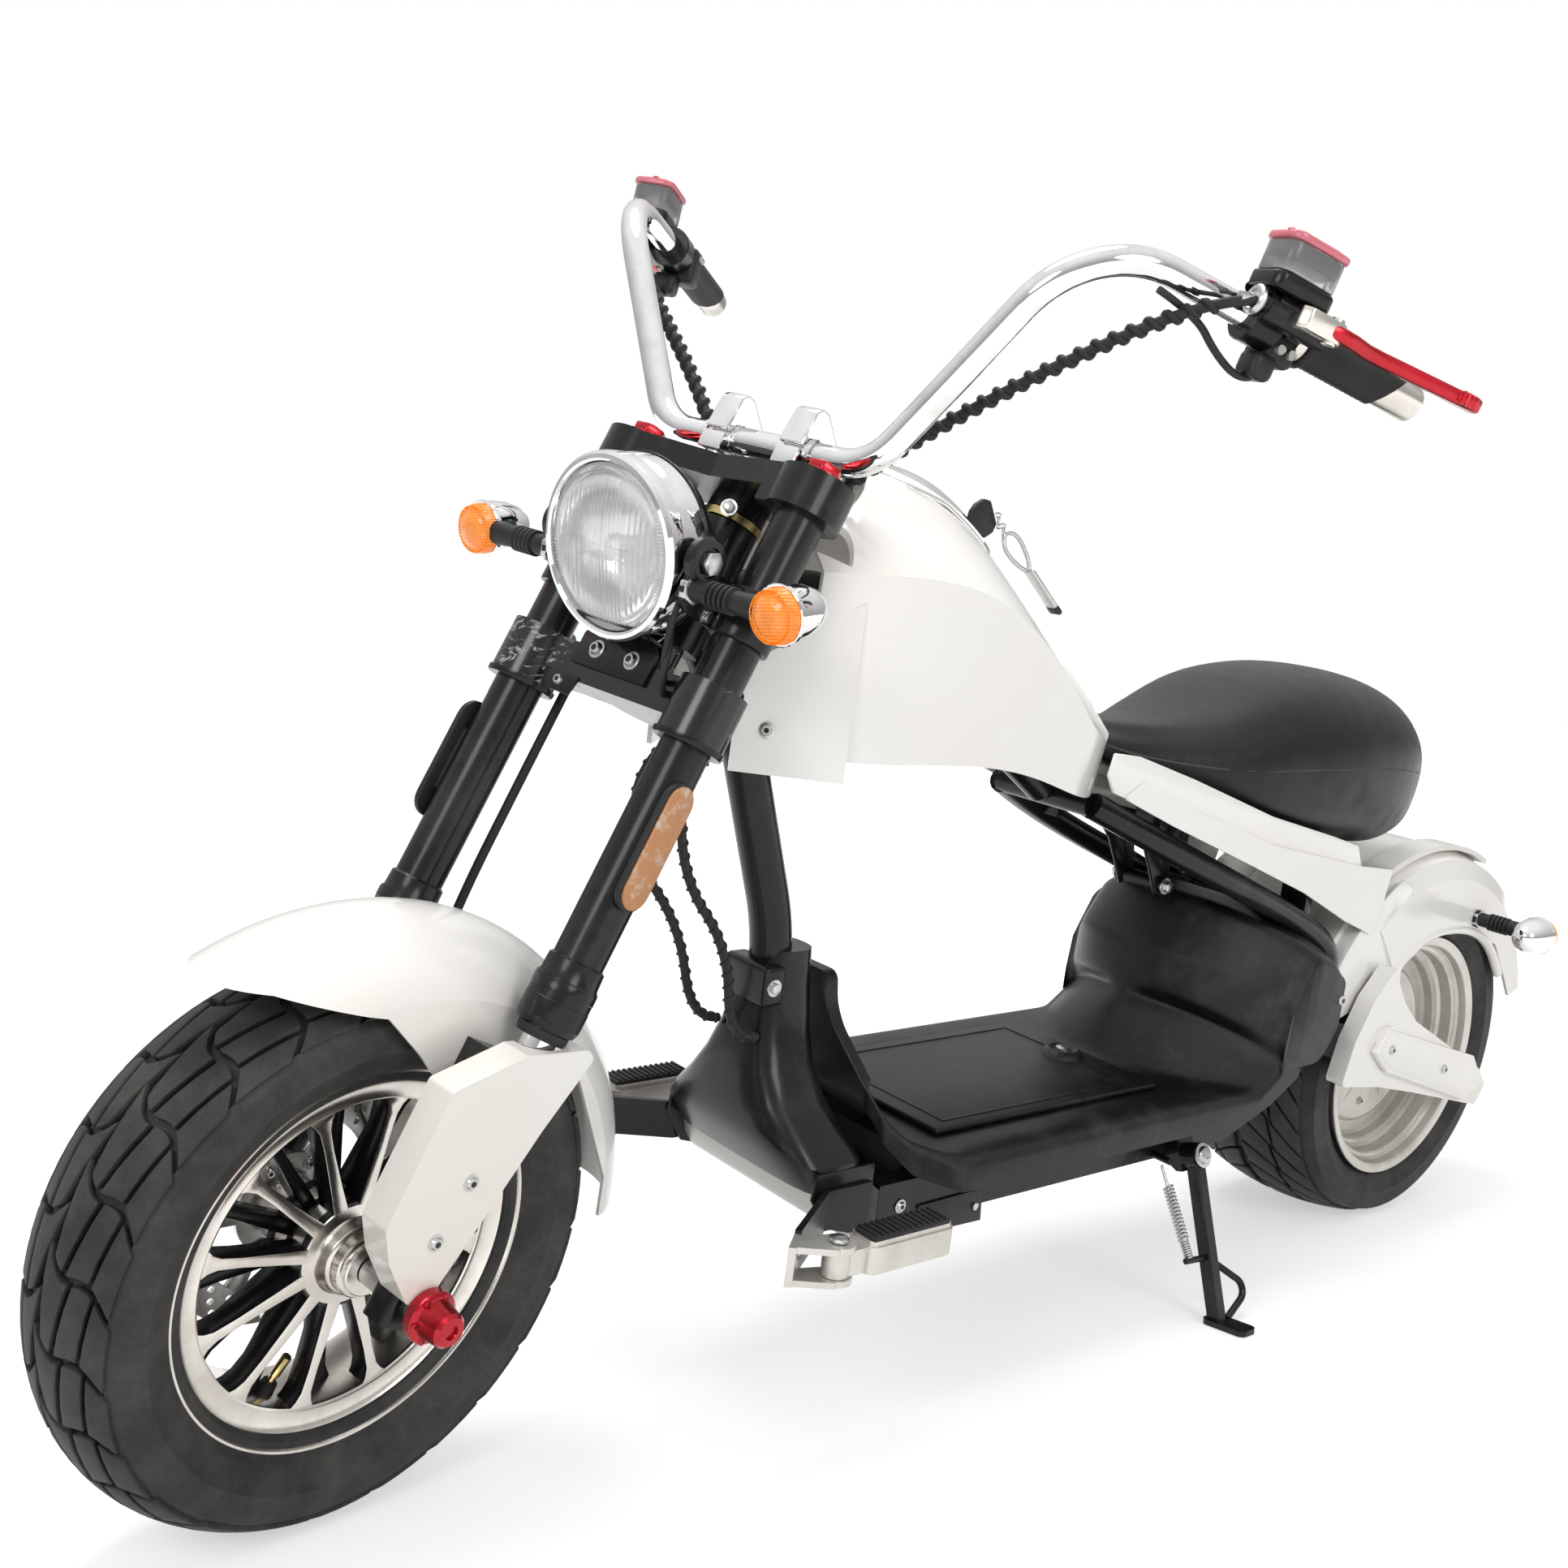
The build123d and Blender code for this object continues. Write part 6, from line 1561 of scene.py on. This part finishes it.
GRIP_END = Vector((820.0, 422.0, 1058.0))
BAR_RUN = (GRIP_END - Vector((1112.0, 272.0, 1135.0))).normalized()
BAR_SIDE = Vector((0, 0, 1)).cross(BAR_RUN).normalized()
BAR_RISE = BAR_RUN.cross(BAR_SIDE)
BAR_FRONT = BAR_RUN.cross(BAR_RISE)
BAR = Matrix.Translation(GRIP_END - BAR_RUN * 166.0) @ Matrix(
    (BAR_RUN, BAR_FRONT, BAR_RISE)).transposed().to_4x4()
BOTH_BARS = (BAR, MIRROR @ BAR)
ALONG_BAR = turned_by(90.0, "Y")


class CHOPPER_OT_controls(bpy.types.Operator):
    """Grips, master cylinders, reservoirs, levers, perches and switches"""
    bl_idname = "chopper.controls"
    bl_label = "Controls"

    def execute(self, context):
        grip = lathe([(13.0, 47), (19.6, 47), (20.4, 48.4), (20.4, 52), (18.2, 54),
                      *[(17.2 + (0.5 if i % 2 else 0.0), 58 + i * 3.0) for i in range(34)],
                      (17.4, 163), (16.0, 166), (13.0, 166)], 48)
        grip.at(ALONG_BAR)
        bmesh.ops.bisect_plane(
            grip.bm, geom=grip.bm.verts[:] + grip.bm.edges[:] + grip.bm.faces[:],
            plane_co=(150.0, 0, 0), plane_no=(0.76, 0.20, -0.62), clear_outer=True)
        rims = [e for e in grip.bm.edges if e.is_boundary]
        bmesh.ops.holes_fill(grip.bm, edges=rims, sides=0)
        rubber = Shape().add(grip, *BOTH_BARS)
        piece("grip_rubbers", rubber, *ON_STEERING, "black_rubber", ["soft_rubber"], ["grips"],
              30.0)
        ends = dome([(0.0, 120), (15.6, 120), (15.8, 178), (14.6, 180), (12.4, 180),
                      (12.0, 177), (0.0, 177)], 48).at(ALONG_BAR)
        collar = lathe([(12.9, 36), (17.6, 36), (18.2, 37), (18.2, 45.6), (17.6, 46.6),
                        (12.9, 46.6)], 48).at(ALONG_BAR)
        metal = Shape().add(ends, *BOTH_BARS).add(collar, *BOTH_BARS)
        piece("grip_inserts", metal, *ON_STEERING, "steel", ["turned_alloy"])

        body = rod((-22, 30, 6), (44, 30, 6), 13.0, 32, edge=2.0)
        body.add(lathe([(12.9, -13), (20.4, -13), (21.6, -11.5), (21.6, 14.5), (20.4, 16),
                        (12.9, 16)], 48).at(ALONG_BAR))
        body.add(block((26, 26, 18), (2, 16, 2), 4.0, 3))
        saddle = plate([(-31, 12), (-25, 6), (25, 6), (31, 12), (31, 44), (25, 50), (-25, 50),
                        (-31, 44)], 14.0, 3.0, 3)
        body.add(saddle, shift(0, 0, 18))
        body.add(dome([(20.0, 10.0), (22.0, 12.0), (15.0, 19.0), (12.0, 19.0)], 4), shift(0, 28,
                 0) @ turned_by(45.0))
        for x in (-24.0, 24.0):
            body.add(bolt(3.4, 3.0), shift(x, 14, 12) @ turned_by(90, "X") @ shift(0, 6, 6))
        body.add(dome([(0.0, 0), (9.0, 0), (9.5, 1.0), (9.5, 8.0), (8.0, 9.0), (0.0, 9.0)],
                 6).paint(1), shift(-22, 30, 6) @ turned_by(-90, "Y"))
        body.add(ring(9.4, 3.6, 32, 10).paint(1), shift(-29, 30, 6) @ turned_by(90, "Y"))
        body.add(rod((-29, 30, 6), (-44, 30, 2), 4.6, 20).paint(1))
        master = Shape().add(body, *BOTH_BARS)
        piece("master_cylinder_bodies", master, *ON_STEERING, "black_plastic", ["black_gloss",
              "bright_steel"], ["master_cylinders"], 30.0)

        box = block((30, 38, 40), (28, -5, -8), 7.0, 4)
        box.add(block((24, 26, 22), (14, 4, -34), 6.0, 3))
        box.add(block((16, 8, 10), (28, 15, -2), 2.0, 2))
        for x in (22.0, 34.0):
            box.add(rod((x, 13, -16.0), (x, 17.5, -16.0), 4.2, 20, edge=0.8).paint(1))
        box.add(block((12, 5, 6), (28, -25, 2), 1.6, 2).paint(1))
        box.add(pipe([(14, 2, -44), (2, 4, -50), (-30, 6, -40), (-60, 8, -22), (-100, 4, -17)],
                     3.2, sides=4))
        switches = Shape().add(box, *BOTH_BARS)
        piece("switch_boxes", switches, *ON_STEERING, "black_plastic", ["black_plastic",
              "grey_satin"], (), 30.0)

        perch = plate([(2, 14), (2, 50), (8, 57), (42, 57), (48, 52), (50, 44), (42, 40),
                       (36, 45), (18, 45), (18, 14)], 18.0, 1.6)
        perch.add(rod((38, 50, -2), (38, 50, 20.4), 6.0, 24, edge=0.8))
        perches = Shape().add(perch, *[m @ shift(0, 0, -2) for m in BOTH_BARS])
        piece("lever_perches", perches, *ON_STEERING, "steel", ["turned_alloy"])

        blade = plate([(26, 46), (30, 56), (44, 60), (58, 59), (76, 54), (92, 55), (118, 60),
                       (150, 66), (166, 69), (170, 73), (180, 75), (190, 72), (193, 66),
                       (190, 60), (176, 57), (150, 55), (118, 49), (94, 44), (78, 43),
                       (60, 47), (46, 46), (40, 40)], 12.0, 2.6, 3)
        for x in (168.0, 173.0, 178.0, 183.0):
            y = 73.6 - abs(x - 175) * 0.12
            blade.add(rod((x, y, 0.6), (x, y, 11.4), 1.5, 12))
        levers = Shape().add(blade, *[m @ shift(0, 0, 1.0) for m in BOTH_BARS])
        piece("brake_lever_blades", levers, *ON_STEERING, "red_alloy", ["red_anodised"],
              ["brake_levers"], 30.0)

        def tub(low, high, half_x, half_y, corner):
            around = []
            for cx, cy, start in ((1, 1, 0), (-1, 1, 90), (-1, -1, 180), (1, -1, 270)):
                for i in range(6):
                    angle = radians(start + 18 * i)
                    around.append((cx * (half_x - corner) + corner * cos(angle),
                                   cy * (half_y - corner) + corner * sin(angle) + 28))
            return plate(around, high - low, 1.6, 2).at(shift(0, 0, low))

        cup = tub(32.6, 58.0, 29.0, 20.5, 10.0)
        cups = Shape().add(cup, *BOTH_BARS)
        piece("reservoir_cups", cups, *ON_STEERING, "milky", ["cup_plastic"], ["reservoirs"])
        dark = tub(44.0, 57.0, 25.5, 17.0, 8.0)
        piece("reservoir_insides", Shape().add(dark, *BOTH_BARS), *ON_STEERING, "black_plastic",
              ["black_plastic"])
        lid = tub(58.0, 64.0, 31.0, 22.5, 11.0)
        lid.add(tub(63.6, 66.6, 25.0, 16.0, 8.0))
        for x in (-22.0, 22.0):
            lid.add(bolt(2.8, 2.2), shift(x, 28, 66.4))
        piece("reservoir_lids", Shape().add(lid, *BOTH_BARS), *ON_STEERING, "milky", ["rose_lid",
              "bright_steel"])
        return {"FINISHED"}


def wrapped_hose(points, radius, strip, pitch, clear_run=0.0):
    """A hose along the controls with a strip wound round it."""
    line = [v.co.copy() for v in pipe(points, 0.0, resolution=24).bm.verts]
    shape = pipe(points, radius, sides=5, resolution=16)
    runs = [0.0]
    for a, b in zip(line, line[1:]):
        runs.append(runs[-1] + (b - a).length)
    wound = []
    normal = (line[1] - line[0]).orthogonal().normalized()
    steps = int((runs[-1] - clear_run) / pitch * 14)
    index = 0
    for i in range(steps):
        at = clear_run + (runs[-1] - clear_run) * i / steps
        while index < len(runs) - 2 and runs[index + 1] < at:
            index += 1
            ahead = (line[index + 1] - line[index]).normalized()
            normal = (normal - ahead * normal.dot(ahead)).normalized()
        ahead = (line[index + 1] - line[index]).normalized()
        centre = line[index].lerp(line[index + 1],
                                  (at - runs[index]) / max(runs[index + 1] - runs[index], 1e-6))
        turn = 2 * pi * at / pitch
        wound.append(centre + (normal * cos(turn) + ahead.cross(normal) * sin(turn)) * radius)
    return shape.add(pipe(wound, strip, straight=True, sides=2))


class CHOPPER_OT_hoses(bpy.types.Operator):
    """Wound hoses from the controls, the caliper hose and the frame's loom"""
    bl_idname = "chopper.hoses"
    bl_label = "Hoses"

    def execute(self, context):
        hoses = Shape()
        for side, bar in zip((1, -1), BOTH_BARS):
            points = [bar @ Vector(p) for p in ((-24.3, 32.0, 6.0), (-80.0, 34.0, -8.0))]
            points += [FORK_BASIS @ Vector((x, side * 48, z))
                       for x, z in ((-28, 756), (-28, 640), (-28, 522), (-4, 518))]
            hoses.add(wrapped_hose(points, 4.4, 3.4, 15.0, 40.0))
        calliper = [FORK_BASIS @ Vector(p) for p in ((4.6, -86, 503), (4.6, -86, 440),
                                                     (-7.4, -96, 250))] + [Vector((1410, -72, 343))]
        hoses.add(pipe(calliper, 4.4, sides=5))
        piece("steering_hoses_wound", hoses, *ON_STEERING, "black_rubber", ["soft_rubber"],
              ["steering_hoses"], 60.0)
        loom = Shape()
        for side in (1, -1):
            loom.add(wrapped_hose(
                [(1150, side * 27, 676), (1224, side * 34, 640), (1216, side * 38, 540),
                 (1150, side * 38, 466), (1130, side * 30, 372), (1096, side * 30, 372)],
                4.4, 1.6, 13.0))
        piece("frame_loom_wound", loom, *ON_FRAME, "black_rubber", ["soft_rubber"], ["frame_loom"],
              60.0)
        return {"FINISHED"}


# Body and rear
def upright(outline, thickness, y, edge=1.0, segments=2):
    """A plate in the vehicle's side view: (x, z) outline, its outer face at y."""
    shape = plate(outline, thickness, edge, segments)
    return shape.at(turned_by(90.0, "X"), shift(0, y, 0))


class CHOPPER_OT_fender_trim(bpy.types.Operator):
    """Walls, lips and beads of the rear fender, flanges of the side covers, seat rails"""
    bl_idname = "chopper.fender_trim"
    bl_label = "Fender trim"

    def execute(self, context):
        both = Shape()
        reach, axle = 286, REAR_AXLE.z
        arc = [(reach * cos(radians(a)), axle + reach * sin(radians(a))) for a in range(16, 66, 4)]
        wall = upright([*arc, (98, 480), (98, 400), (116, 352), (150, 336), (200, 326),
                        (240, 316)], 4.0, 123.5, 1.6)
        crown = Shape()
        ends = [crown.bm.verts.new((arc[0][0], y, arc[0][1])) for y in (-120.0, 120.0)]
        edge = crown.bm.edges.new(ends)
        bmesh.ops.spin(crown.bm, geom=[*ends, edge], cent=(0, 0, axle), axis=(0, -1, 0),
                       angle=radians(38), steps=16)
        bmesh.ops.solidify(crown.bm, geom=crown.bm.faces[:], thickness=3.0)
        both.add(crown.outward())
        lip = pipe([(150, 121.5, 340), (116, 121.5, 356), (101, 121.5, 381), (60, 121.5, 411),
                    (0, 121.5, 421), (-66, 121.5, 416), (-116, 121.5, 400),
                    (-150, 121.5, 374), (-176, 121.5, 342)], 6.5, order=4, sides=5)
        both.add(wall, *BOTH_SIDES)
        both.add(lip, *BOTH_SIDES)
        flange = upright([(748, 640), (735, 622), (630, 590), (483, 545), (358, 505), (262, 500),
                          (232, 515), (250, 546), (310, 560), (441, 588), (600, 634),
                          (700, 660), (742, 664)], 4.0, 123.5, 1.4)
        both.add(flange, *BOTH_SIDES)
        bead = Shape()
        face = bead.face([(r * cos(radians(27)), y, axle + r * sin(radians(27)))
                          for r, y in ((285.6, 64), (292.4, 66), (292.4, 102), (285.6, 104))])
        bmesh.ops.spin(bead.bm, geom=[face], cent=(0, 0, axle), axis=(0, -1, 0),
                       angle=radians(87), steps=40)
        both.add(bead.outward(), *BOTH_SIDES)
        rails = Shape()
        rail = Shape().add(pipe([(695, 66, 595), (594, 100, 551), (300, 112, 443),
                                 (250, 112, 400), (258, 112, 356)], 15.0, sides=6))
        for x, y, low, high in ((600, 74, 552, 604), (320, 95, 446, 560)):
            rail.add(block((14, 36, high - low), (x, y, (low + high) / 2)))
        rails.add(rail, *BOTH_SIDES)
        rails.add(rod((695, -66, 595), (695, 66, 595), 13.0))
        rails.add(rod((352, -110, 462), (352, 110, 462), 9.0))
        piece("seat_rails_bent", rails, *ON_FRAME, "black_paint", ["black_gloss"], ["seat_rails"])
        piece("rear_fender_sides", both, *ON_FRAME, "white_paint", ["white_gloss"])
        return {"FINISHED"}


class CHOPPER_OT_swingarm_trim(bpy.types.Operator):
    """Pointed pads and bolts on the swingarm covers"""
    bl_idname = "chopper.swingarm_trim"
    bl_label = "Swingarm trim"

    def execute(self, context):
        one = upright([(186, 284), (161, 314), (-74, 248), (-112, 204), (-66, 186), (148, 253)],
                      9.0, 162.0, 2.4, 3)
        one.add(upright([(178, 284), (158, 306), (-70, 242), (-102, 205), (-63, 192), (146, 260)],
                        1.2, 162.8, 0.5))
        bolts = Shape()
        for x, z in ((150, 285), (5, 240)):
            bolts.add(bolt(5.0, 3.4), along((x, 162.6, z), (x, 180, z)))
        both = Shape().add(one, *BOTH_SIDES)
        piece("swingarm_pads", both, *ON_FRAME, "white_paint", ["white_gloss"])
        piece("swingarm_pad_bolts", Shape().add(bolts, *BOTH_SIDES), *ON_FRAME, "steel", BOLTED)
        return {"FINISHED"}


class CHOPPER_OT_shocks(bpy.types.Operator):
    """Coil-over shock absorbers under the seat rails"""
    bl_idname = "chopper.shocks"
    bl_label = "Shock absorbers"

    def execute(self, context):
        both = Shape()
        for side in (1, -1):
            a, b = Vector((330, side * 40.0, 322)), Vector((352, side * 40.0, 462))
            run = (b - a).length
            unit = rod((0, 0, 6), (0, 0, run * 0.5), 11.0, 24, edge=1.0)
            unit.add(rod((0, 0, run * 0.5), (0, 0, run - 6), 6.0, 20).paint(1))
            for z in (16.0, run - 20.0):
                unit.add(lathe([(6, z), (21, z), (22, z + 1.5), (22, z + 4), (6, z + 5)], 32))
            unit.add(coil(17.5, 3.6, (run - 40) / 7.0, 7.0, 8, 18), shift(0, 0, 20))
            both.add(unit, along(a, b))
            for end in (a, b):
                both.add(rod(end - Vector((0, 11, 0)), end + Vector((0, 11, 0)), 11.0, 28,
                             edge=1.2))
        piece("shock_units", both, *ON_FRAME, "black_paint", ["black_gloss", "bright_steel"],
              ["shock_absorbers"])
        return {"FINISHED"}


STAND_CENTRE = Vector((521.0, 150.0, 201.0))
STAND_FOOT = Vector((526.0, 219.0, 28.6))


class CHOPPER_OT_side_stand(bpy.types.Operator):
    """Pivot bolt and washer of the stand, and its spring"""
    bl_idname = "chopper.side_stand"
    bl_label = "Side stand"

    def execute(self, context):
        across = Vector((0, cos(radians(22.6)), sin(radians(22.6))))
        pivot = dome([(0.0, 0.0), (13.5, 0.0), (14.0, 1.0), (14.0, 2.4), (10.5, 3.0),
                       (10.0, 5.4), (8.6, 7.0), (4.5, 7.6), (4.0, 6.2), (0.0, 6.2)], 40)
        piece("stand_pivot_bolt", pivot, VEHICLE @ along(STAND_CENTRE + across * 10.2,
              STAND_CENTRE + across * 30.0), "side_stand", "steel", ["bright_steel"])
        hook = STAND_CENTRE + (STAND_FOOT - STAND_CENTRE) * 0.62 + Vector((32, -6, 9))
        top = Vector((557.0, 133.0, 189.0))
        run = (hook - top).length
        spring = rod((0, 0, 0), (0, 0, run * 0.34), 1.8, 12)
        spring.add(coil(5.4, 1.35, 4.1, 15.0, 8, 16), shift(0, 0, run * 0.24))
        spring.add(coil(4.2, 1.2, 2.7, 8.0, 8, 14), shift(0, 0, run * 0.24 + 60.0))
        spring.add(rod((0, 0, run * 0.80), (0, 0, run), 1.8, 12))
        piece("stand_spring_coil", spring, VEHICLE @ along(top, hook), "chassis", "steel",
              ["bright_steel"], ["stand_spring"])
        return {"FINISHED"}


class CHOPPER_OT_pegs(bpy.types.Operator):
    """Ribbed rubbers on the folding pegs, and the pins of their clevises"""
    bl_idname = "chopper.pegs"
    bl_label = "Pegs"

    def execute(self, context):
        for side, body in ((1, "peg_left"), (-1, "peg_right")):
            rubber = block((96, 29, 5.0), (1043, side * 204.0, 244.0), 2.0, 3)
            for i in range(13):
                rubber.add(block((3.6, 27, 2.6), (1086 - i * 7.2, side * 204.0, 247.0), 0.9, 2))
            piece(body + "_rubber", rubber, VEHICLE, body, "black_rubber", ["soft_rubber"])
        pins = Shape()
        for side in (1, -1):
            head = dome([(0.0, 0.0), (8.6, 0.0), (9.2, 0.8), (9.2, 2.4), (7.0, 3.8),
                          (0.0, 4.4)], 32)
            pins.add(head, shift(1120, side * 202.0, 243.5))
            pins.add(bolt(6.0, 4.6), along((1146, side * 178, 228), (1160, side * 178, 228)))
        piece("peg_pins", pins, *ON_FRAME, "steel", BOLTED)
        return {"FINISHED"}


class CHOPPER_OT_small_fittings(bpy.types.Operator):
    """Bolts, the bare plate on the frame, knobs, the tank's trim, key and hinge link"""
    bl_idname = "chopper.small_fittings"
    bl_label = "Small fittings"

    def execute(self, context):
        heads = Shape()
        heads.add(bolt(5.2, 3.6), along((1174, 82.6, 680), (1196, 101, 680)))
        heads.add(bolt(5.2, 3.6), along((959, 118.6, 210), (959, 140, 210)))
        for x in (851.0, 921.0):
            heads.add(rod((x, 119, 190), (x, 122.4, 190), 4.0, 20, edge=0.8))
        piece("frame_bolts", heads, *ON_FRAME, "steel", BOLTED)
        badge = upright([(838, 172), (930, 174), (934, 206), (842, 208)], 2.0, 120.6, 0.7)
        piece("frame_plate", badge, *ON_FRAME, "black_plastic", ["black_plastic"])
        covers = Shape()
        for side in (1, -1):
            for x, z in ((1486, 346), (1513, 302)):
                covers.add(bolt(5.4, 3.8), along((x, side * 133.6, z), (x, side * 150, z)))
        piece("leg_cover_bolts", covers, *ON_STEERING, "steel", BOLTED)
        knobs = Shape()
        for side in (1, -1):
            knob = dome([(0.0, 0.0), (20.5, 0.0), (22.0, 1.5), (22.0, 9.0), (20.0, 11.0),
                          (17.0, 12.0), (15.5, 20.0), (14.5, 30.0), (12.0, 33.0),
                          (6.0, 33.6), (5.0, 31.0), (0.0, 31.0)], 48)
            for i in range(6):
                angle = 2 * pi * i / 6
                knob.add(bolt(2.6, 2.2), shift(18.2 * cos(angle), 18.2 * sin(angle), 11.0))
            knobs.add(knob, along((1514, side * 134.4, 243), (1514, side * 170, 243)))
        piece("axle_knobs_turned", knobs, *ON_STEERING, "red_alloy", ["red_anodised",
              "black_plastic"], ["axle_knobs"])

        trim = [(92 * cos(2 * pi * i / 64), 50 * sin(2 * pi * i / 64)) for i in range(64)]
        rim = pipe([(945 + x, y, 0.0) for x, y in (*trim, trim[0])], 2.4, straight=True, sides=3)
        tank = [(1150.0, 884.0, 822.0, 104.0), (1060.0, 912.0, 826.0, 146.0),
                (960.0, 908.0, 806.0, 150.0), (840.0, 828.0, 730.0, 140.0),
                (700.0, 735.0, 676.0, 76.0)]

        def tank_top(point):
            """Lays a flat trim on the tank's crown."""
            for (xa, ta, sa, ha), (xb, tb, sb, hb) in zip(tank, tank[1:]):
                if xb <= point.x <= xa:
                    t = (xa - point.x) / (xa - xb)
                    rise = (ta - sa) * (1 - t) + (tb - sb) * t
                    half = ha * (1 - t) + hb * t
                    top = ta * (1 - t) + tb * t + 14.0 * sin(pi * t) * (0.4 if xa < 1100 else 0.2)
                    u = abs(point.y) / half
                    return Vector((point.x, point.y, point.z + top - rise * u * (0.4 + u * 0.5)))
            return point

        rim.warp(tank_top).at(shift(0, 0, 2.0))
        piece("console_rim", rim, *ON_FRAME, "chrome", ["chrome"], (), 60.0)

        key = Shape()
        seat = Vector((880.0, -12.0, 860.0))
        facing = Vector((-0.86, 0.0, 0.5)).normalized()
        tilt = along(seat, seat + facing, (0, 1, 0))
        lock_tilt = along((880, -12, 868), (879.55, -12, 869), (0, 1, 0))
        lock = dome([(0.0, 2.0), (11.0, 2.0), (13.0, 3.0), (14.6, 2.6), (15.0, 4.0),
                      (13.6, 6.0), (9.0, 6.6), (8.6, 5.4), (0.0, 5.4)], 40)
        key.add(lock.paint(1), lock_tilt)
        key.add(block((2.4, 8.0, 22.0), (0, 0, 14.0), 0.6).paint(1), tilt)
        bow = plate([(-8, 22), (8, 22), (15, 28), (19, 37), (19, 49), (13, 57), (-13, 57),
                     (-19, 49), (-19, 37), (-15, 28)], 6.5, 2.0, 3)
        key.add(bow, tilt @ turned_by(90, "X") @ shift(0, 0, -3.2))
        start = seat + facing * 56.0
        for i in range(4):
            key.add(ring(4.6, 1.0, 24, 6).paint(1),
                    Matrix.Translation(start + Vector((-3.0 - 4.6 * i, 4.0, -2.0 - 5.2 * i)))
                    @ turned_by(90.0 * (i % 2), "X") @ turned_by(35.0, "Y"))
        hang = start + Vector((-18.0, 6.0, -20.0))
        down = Vector((-0.76, 0.06, -0.65)).normalized()
        across = Vector((0.65, 0.0, -0.76))
        loop = [hang + down * d + across * a for d, a in (
            (0, 0), (4, 8), (16, 12), (34, 9), (48, 5), (54, 0), (48, -5), (34, -9), (16, -12),
            (4, -8), (0, 0))]
        key.add(pipe(loop, 2.3, order=4, sides=4).paint(1))
        strap = along(hang + down * 52.0, hang + down * 53.0, (0, 1, 0))
        key.add(block((5.0, 15.0, 58.0), (0, 0, 29.0), 2.0).paint(1), strap)
        key.add(block((5.6, 16.0, 12.0), (0, 0, 60.0), 2.0), strap)
        piece("key_and_hook", key, *ON_FRAME, "steel", ["black_plastic", "bright_steel"],
              ["ignition_lock"])

        link = Shape()
        for side in (1, -1):
            cheek = upright([(560, 582), (530, 570), (500, 545), (488, 505), (492, 482),
                             (508, 474), (522, 500), (540, 530), (566, 556)], 5.0,
                            side * 26.0 + 2.5, 1.6)
            link.add(cheek)
        link.add(rod((500, -34, 486), (500, 34, 486), 9.0, 28, edge=1.2))
        link.add(rod((548, -34, 566), (548, 34, 566), 8.0, 28, edge=1.2))
        for side in (1, -1):
            link.add(hex_bolt(7.0, 7.0).paint(1), along((500, side * 34, 486),
                                                        (500, side * 50, 486)))
        piece("hump_hinge_link", link, *ON_FRAME, "black_paint", ["black_gloss", "bright_steel"])
        return {"FINISHED"}


class CHOPPER_PT_pieces(bpy.types.Panel):
    """Sizes, colours and every piece of the scooter"""
    bl_idname = "CHOPPER_PT_pieces"
    bl_label = "Chopper scooter"
    bl_space_type = "VIEW_3D"
    bl_region_type = "UI"
    bl_category = "Chopper"

    def draw(self, context):
        for group in (context.scene.chopper_sizes, context.scene.chopper_colours):
            box = self.layout.box()
            for name in group.__annotations__:
                box.prop(group, name)
        column = self.layout.column(align=True)
        for step in STEPS:
            column.operator(step.bl_idname)


STEPS = (
    CHOPPER_OT_stage, CHOPPER_OT_frame_finishes, CHOPPER_OT_seat, CHOPPER_OT_foot_deck,
    CHOPPER_OT_front_gusset, CHOPPER_OT_front_tyre, CHOPPER_OT_rear_tyre,
    CHOPPER_OT_front_wheel, CHOPPER_OT_rear_wheel, CHOPPER_OT_headlamp, CHOPPER_OT_signals,
    CHOPPER_OT_fork, CHOPPER_OT_risers, CHOPPER_OT_controls, CHOPPER_OT_hoses,
    CHOPPER_OT_fender_trim, CHOPPER_OT_swingarm_trim, CHOPPER_OT_shocks,
    CHOPPER_OT_side_stand, CHOPPER_OT_pegs, CHOPPER_OT_small_fittings,
)
CLASSES = (ChopperColours, ChopperSizes, *STEPS, CHOPPER_PT_pieces)


def register():
    for made in CLASSES:
        bpy.utils.register_class(made)
    bpy.types.Scene.chopper_colours = bpy.props.PointerProperty(type=ChopperColours)
    bpy.types.Scene.chopper_sizes = bpy.props.PointerProperty(type=ChopperSizes)


def unregister():
    del bpy.types.Scene.chopper_sizes
    del bpy.types.Scene.chopper_colours
    for made in reversed(CLASSES):
        bpy.utils.unregister_class(made)


def main():
    register()
    for step in STEPS:
        group, name = step.bl_idname.split(".")
        getattr(getattr(bpy.ops, group), name)()


if __name__ == "__main__":
    main()
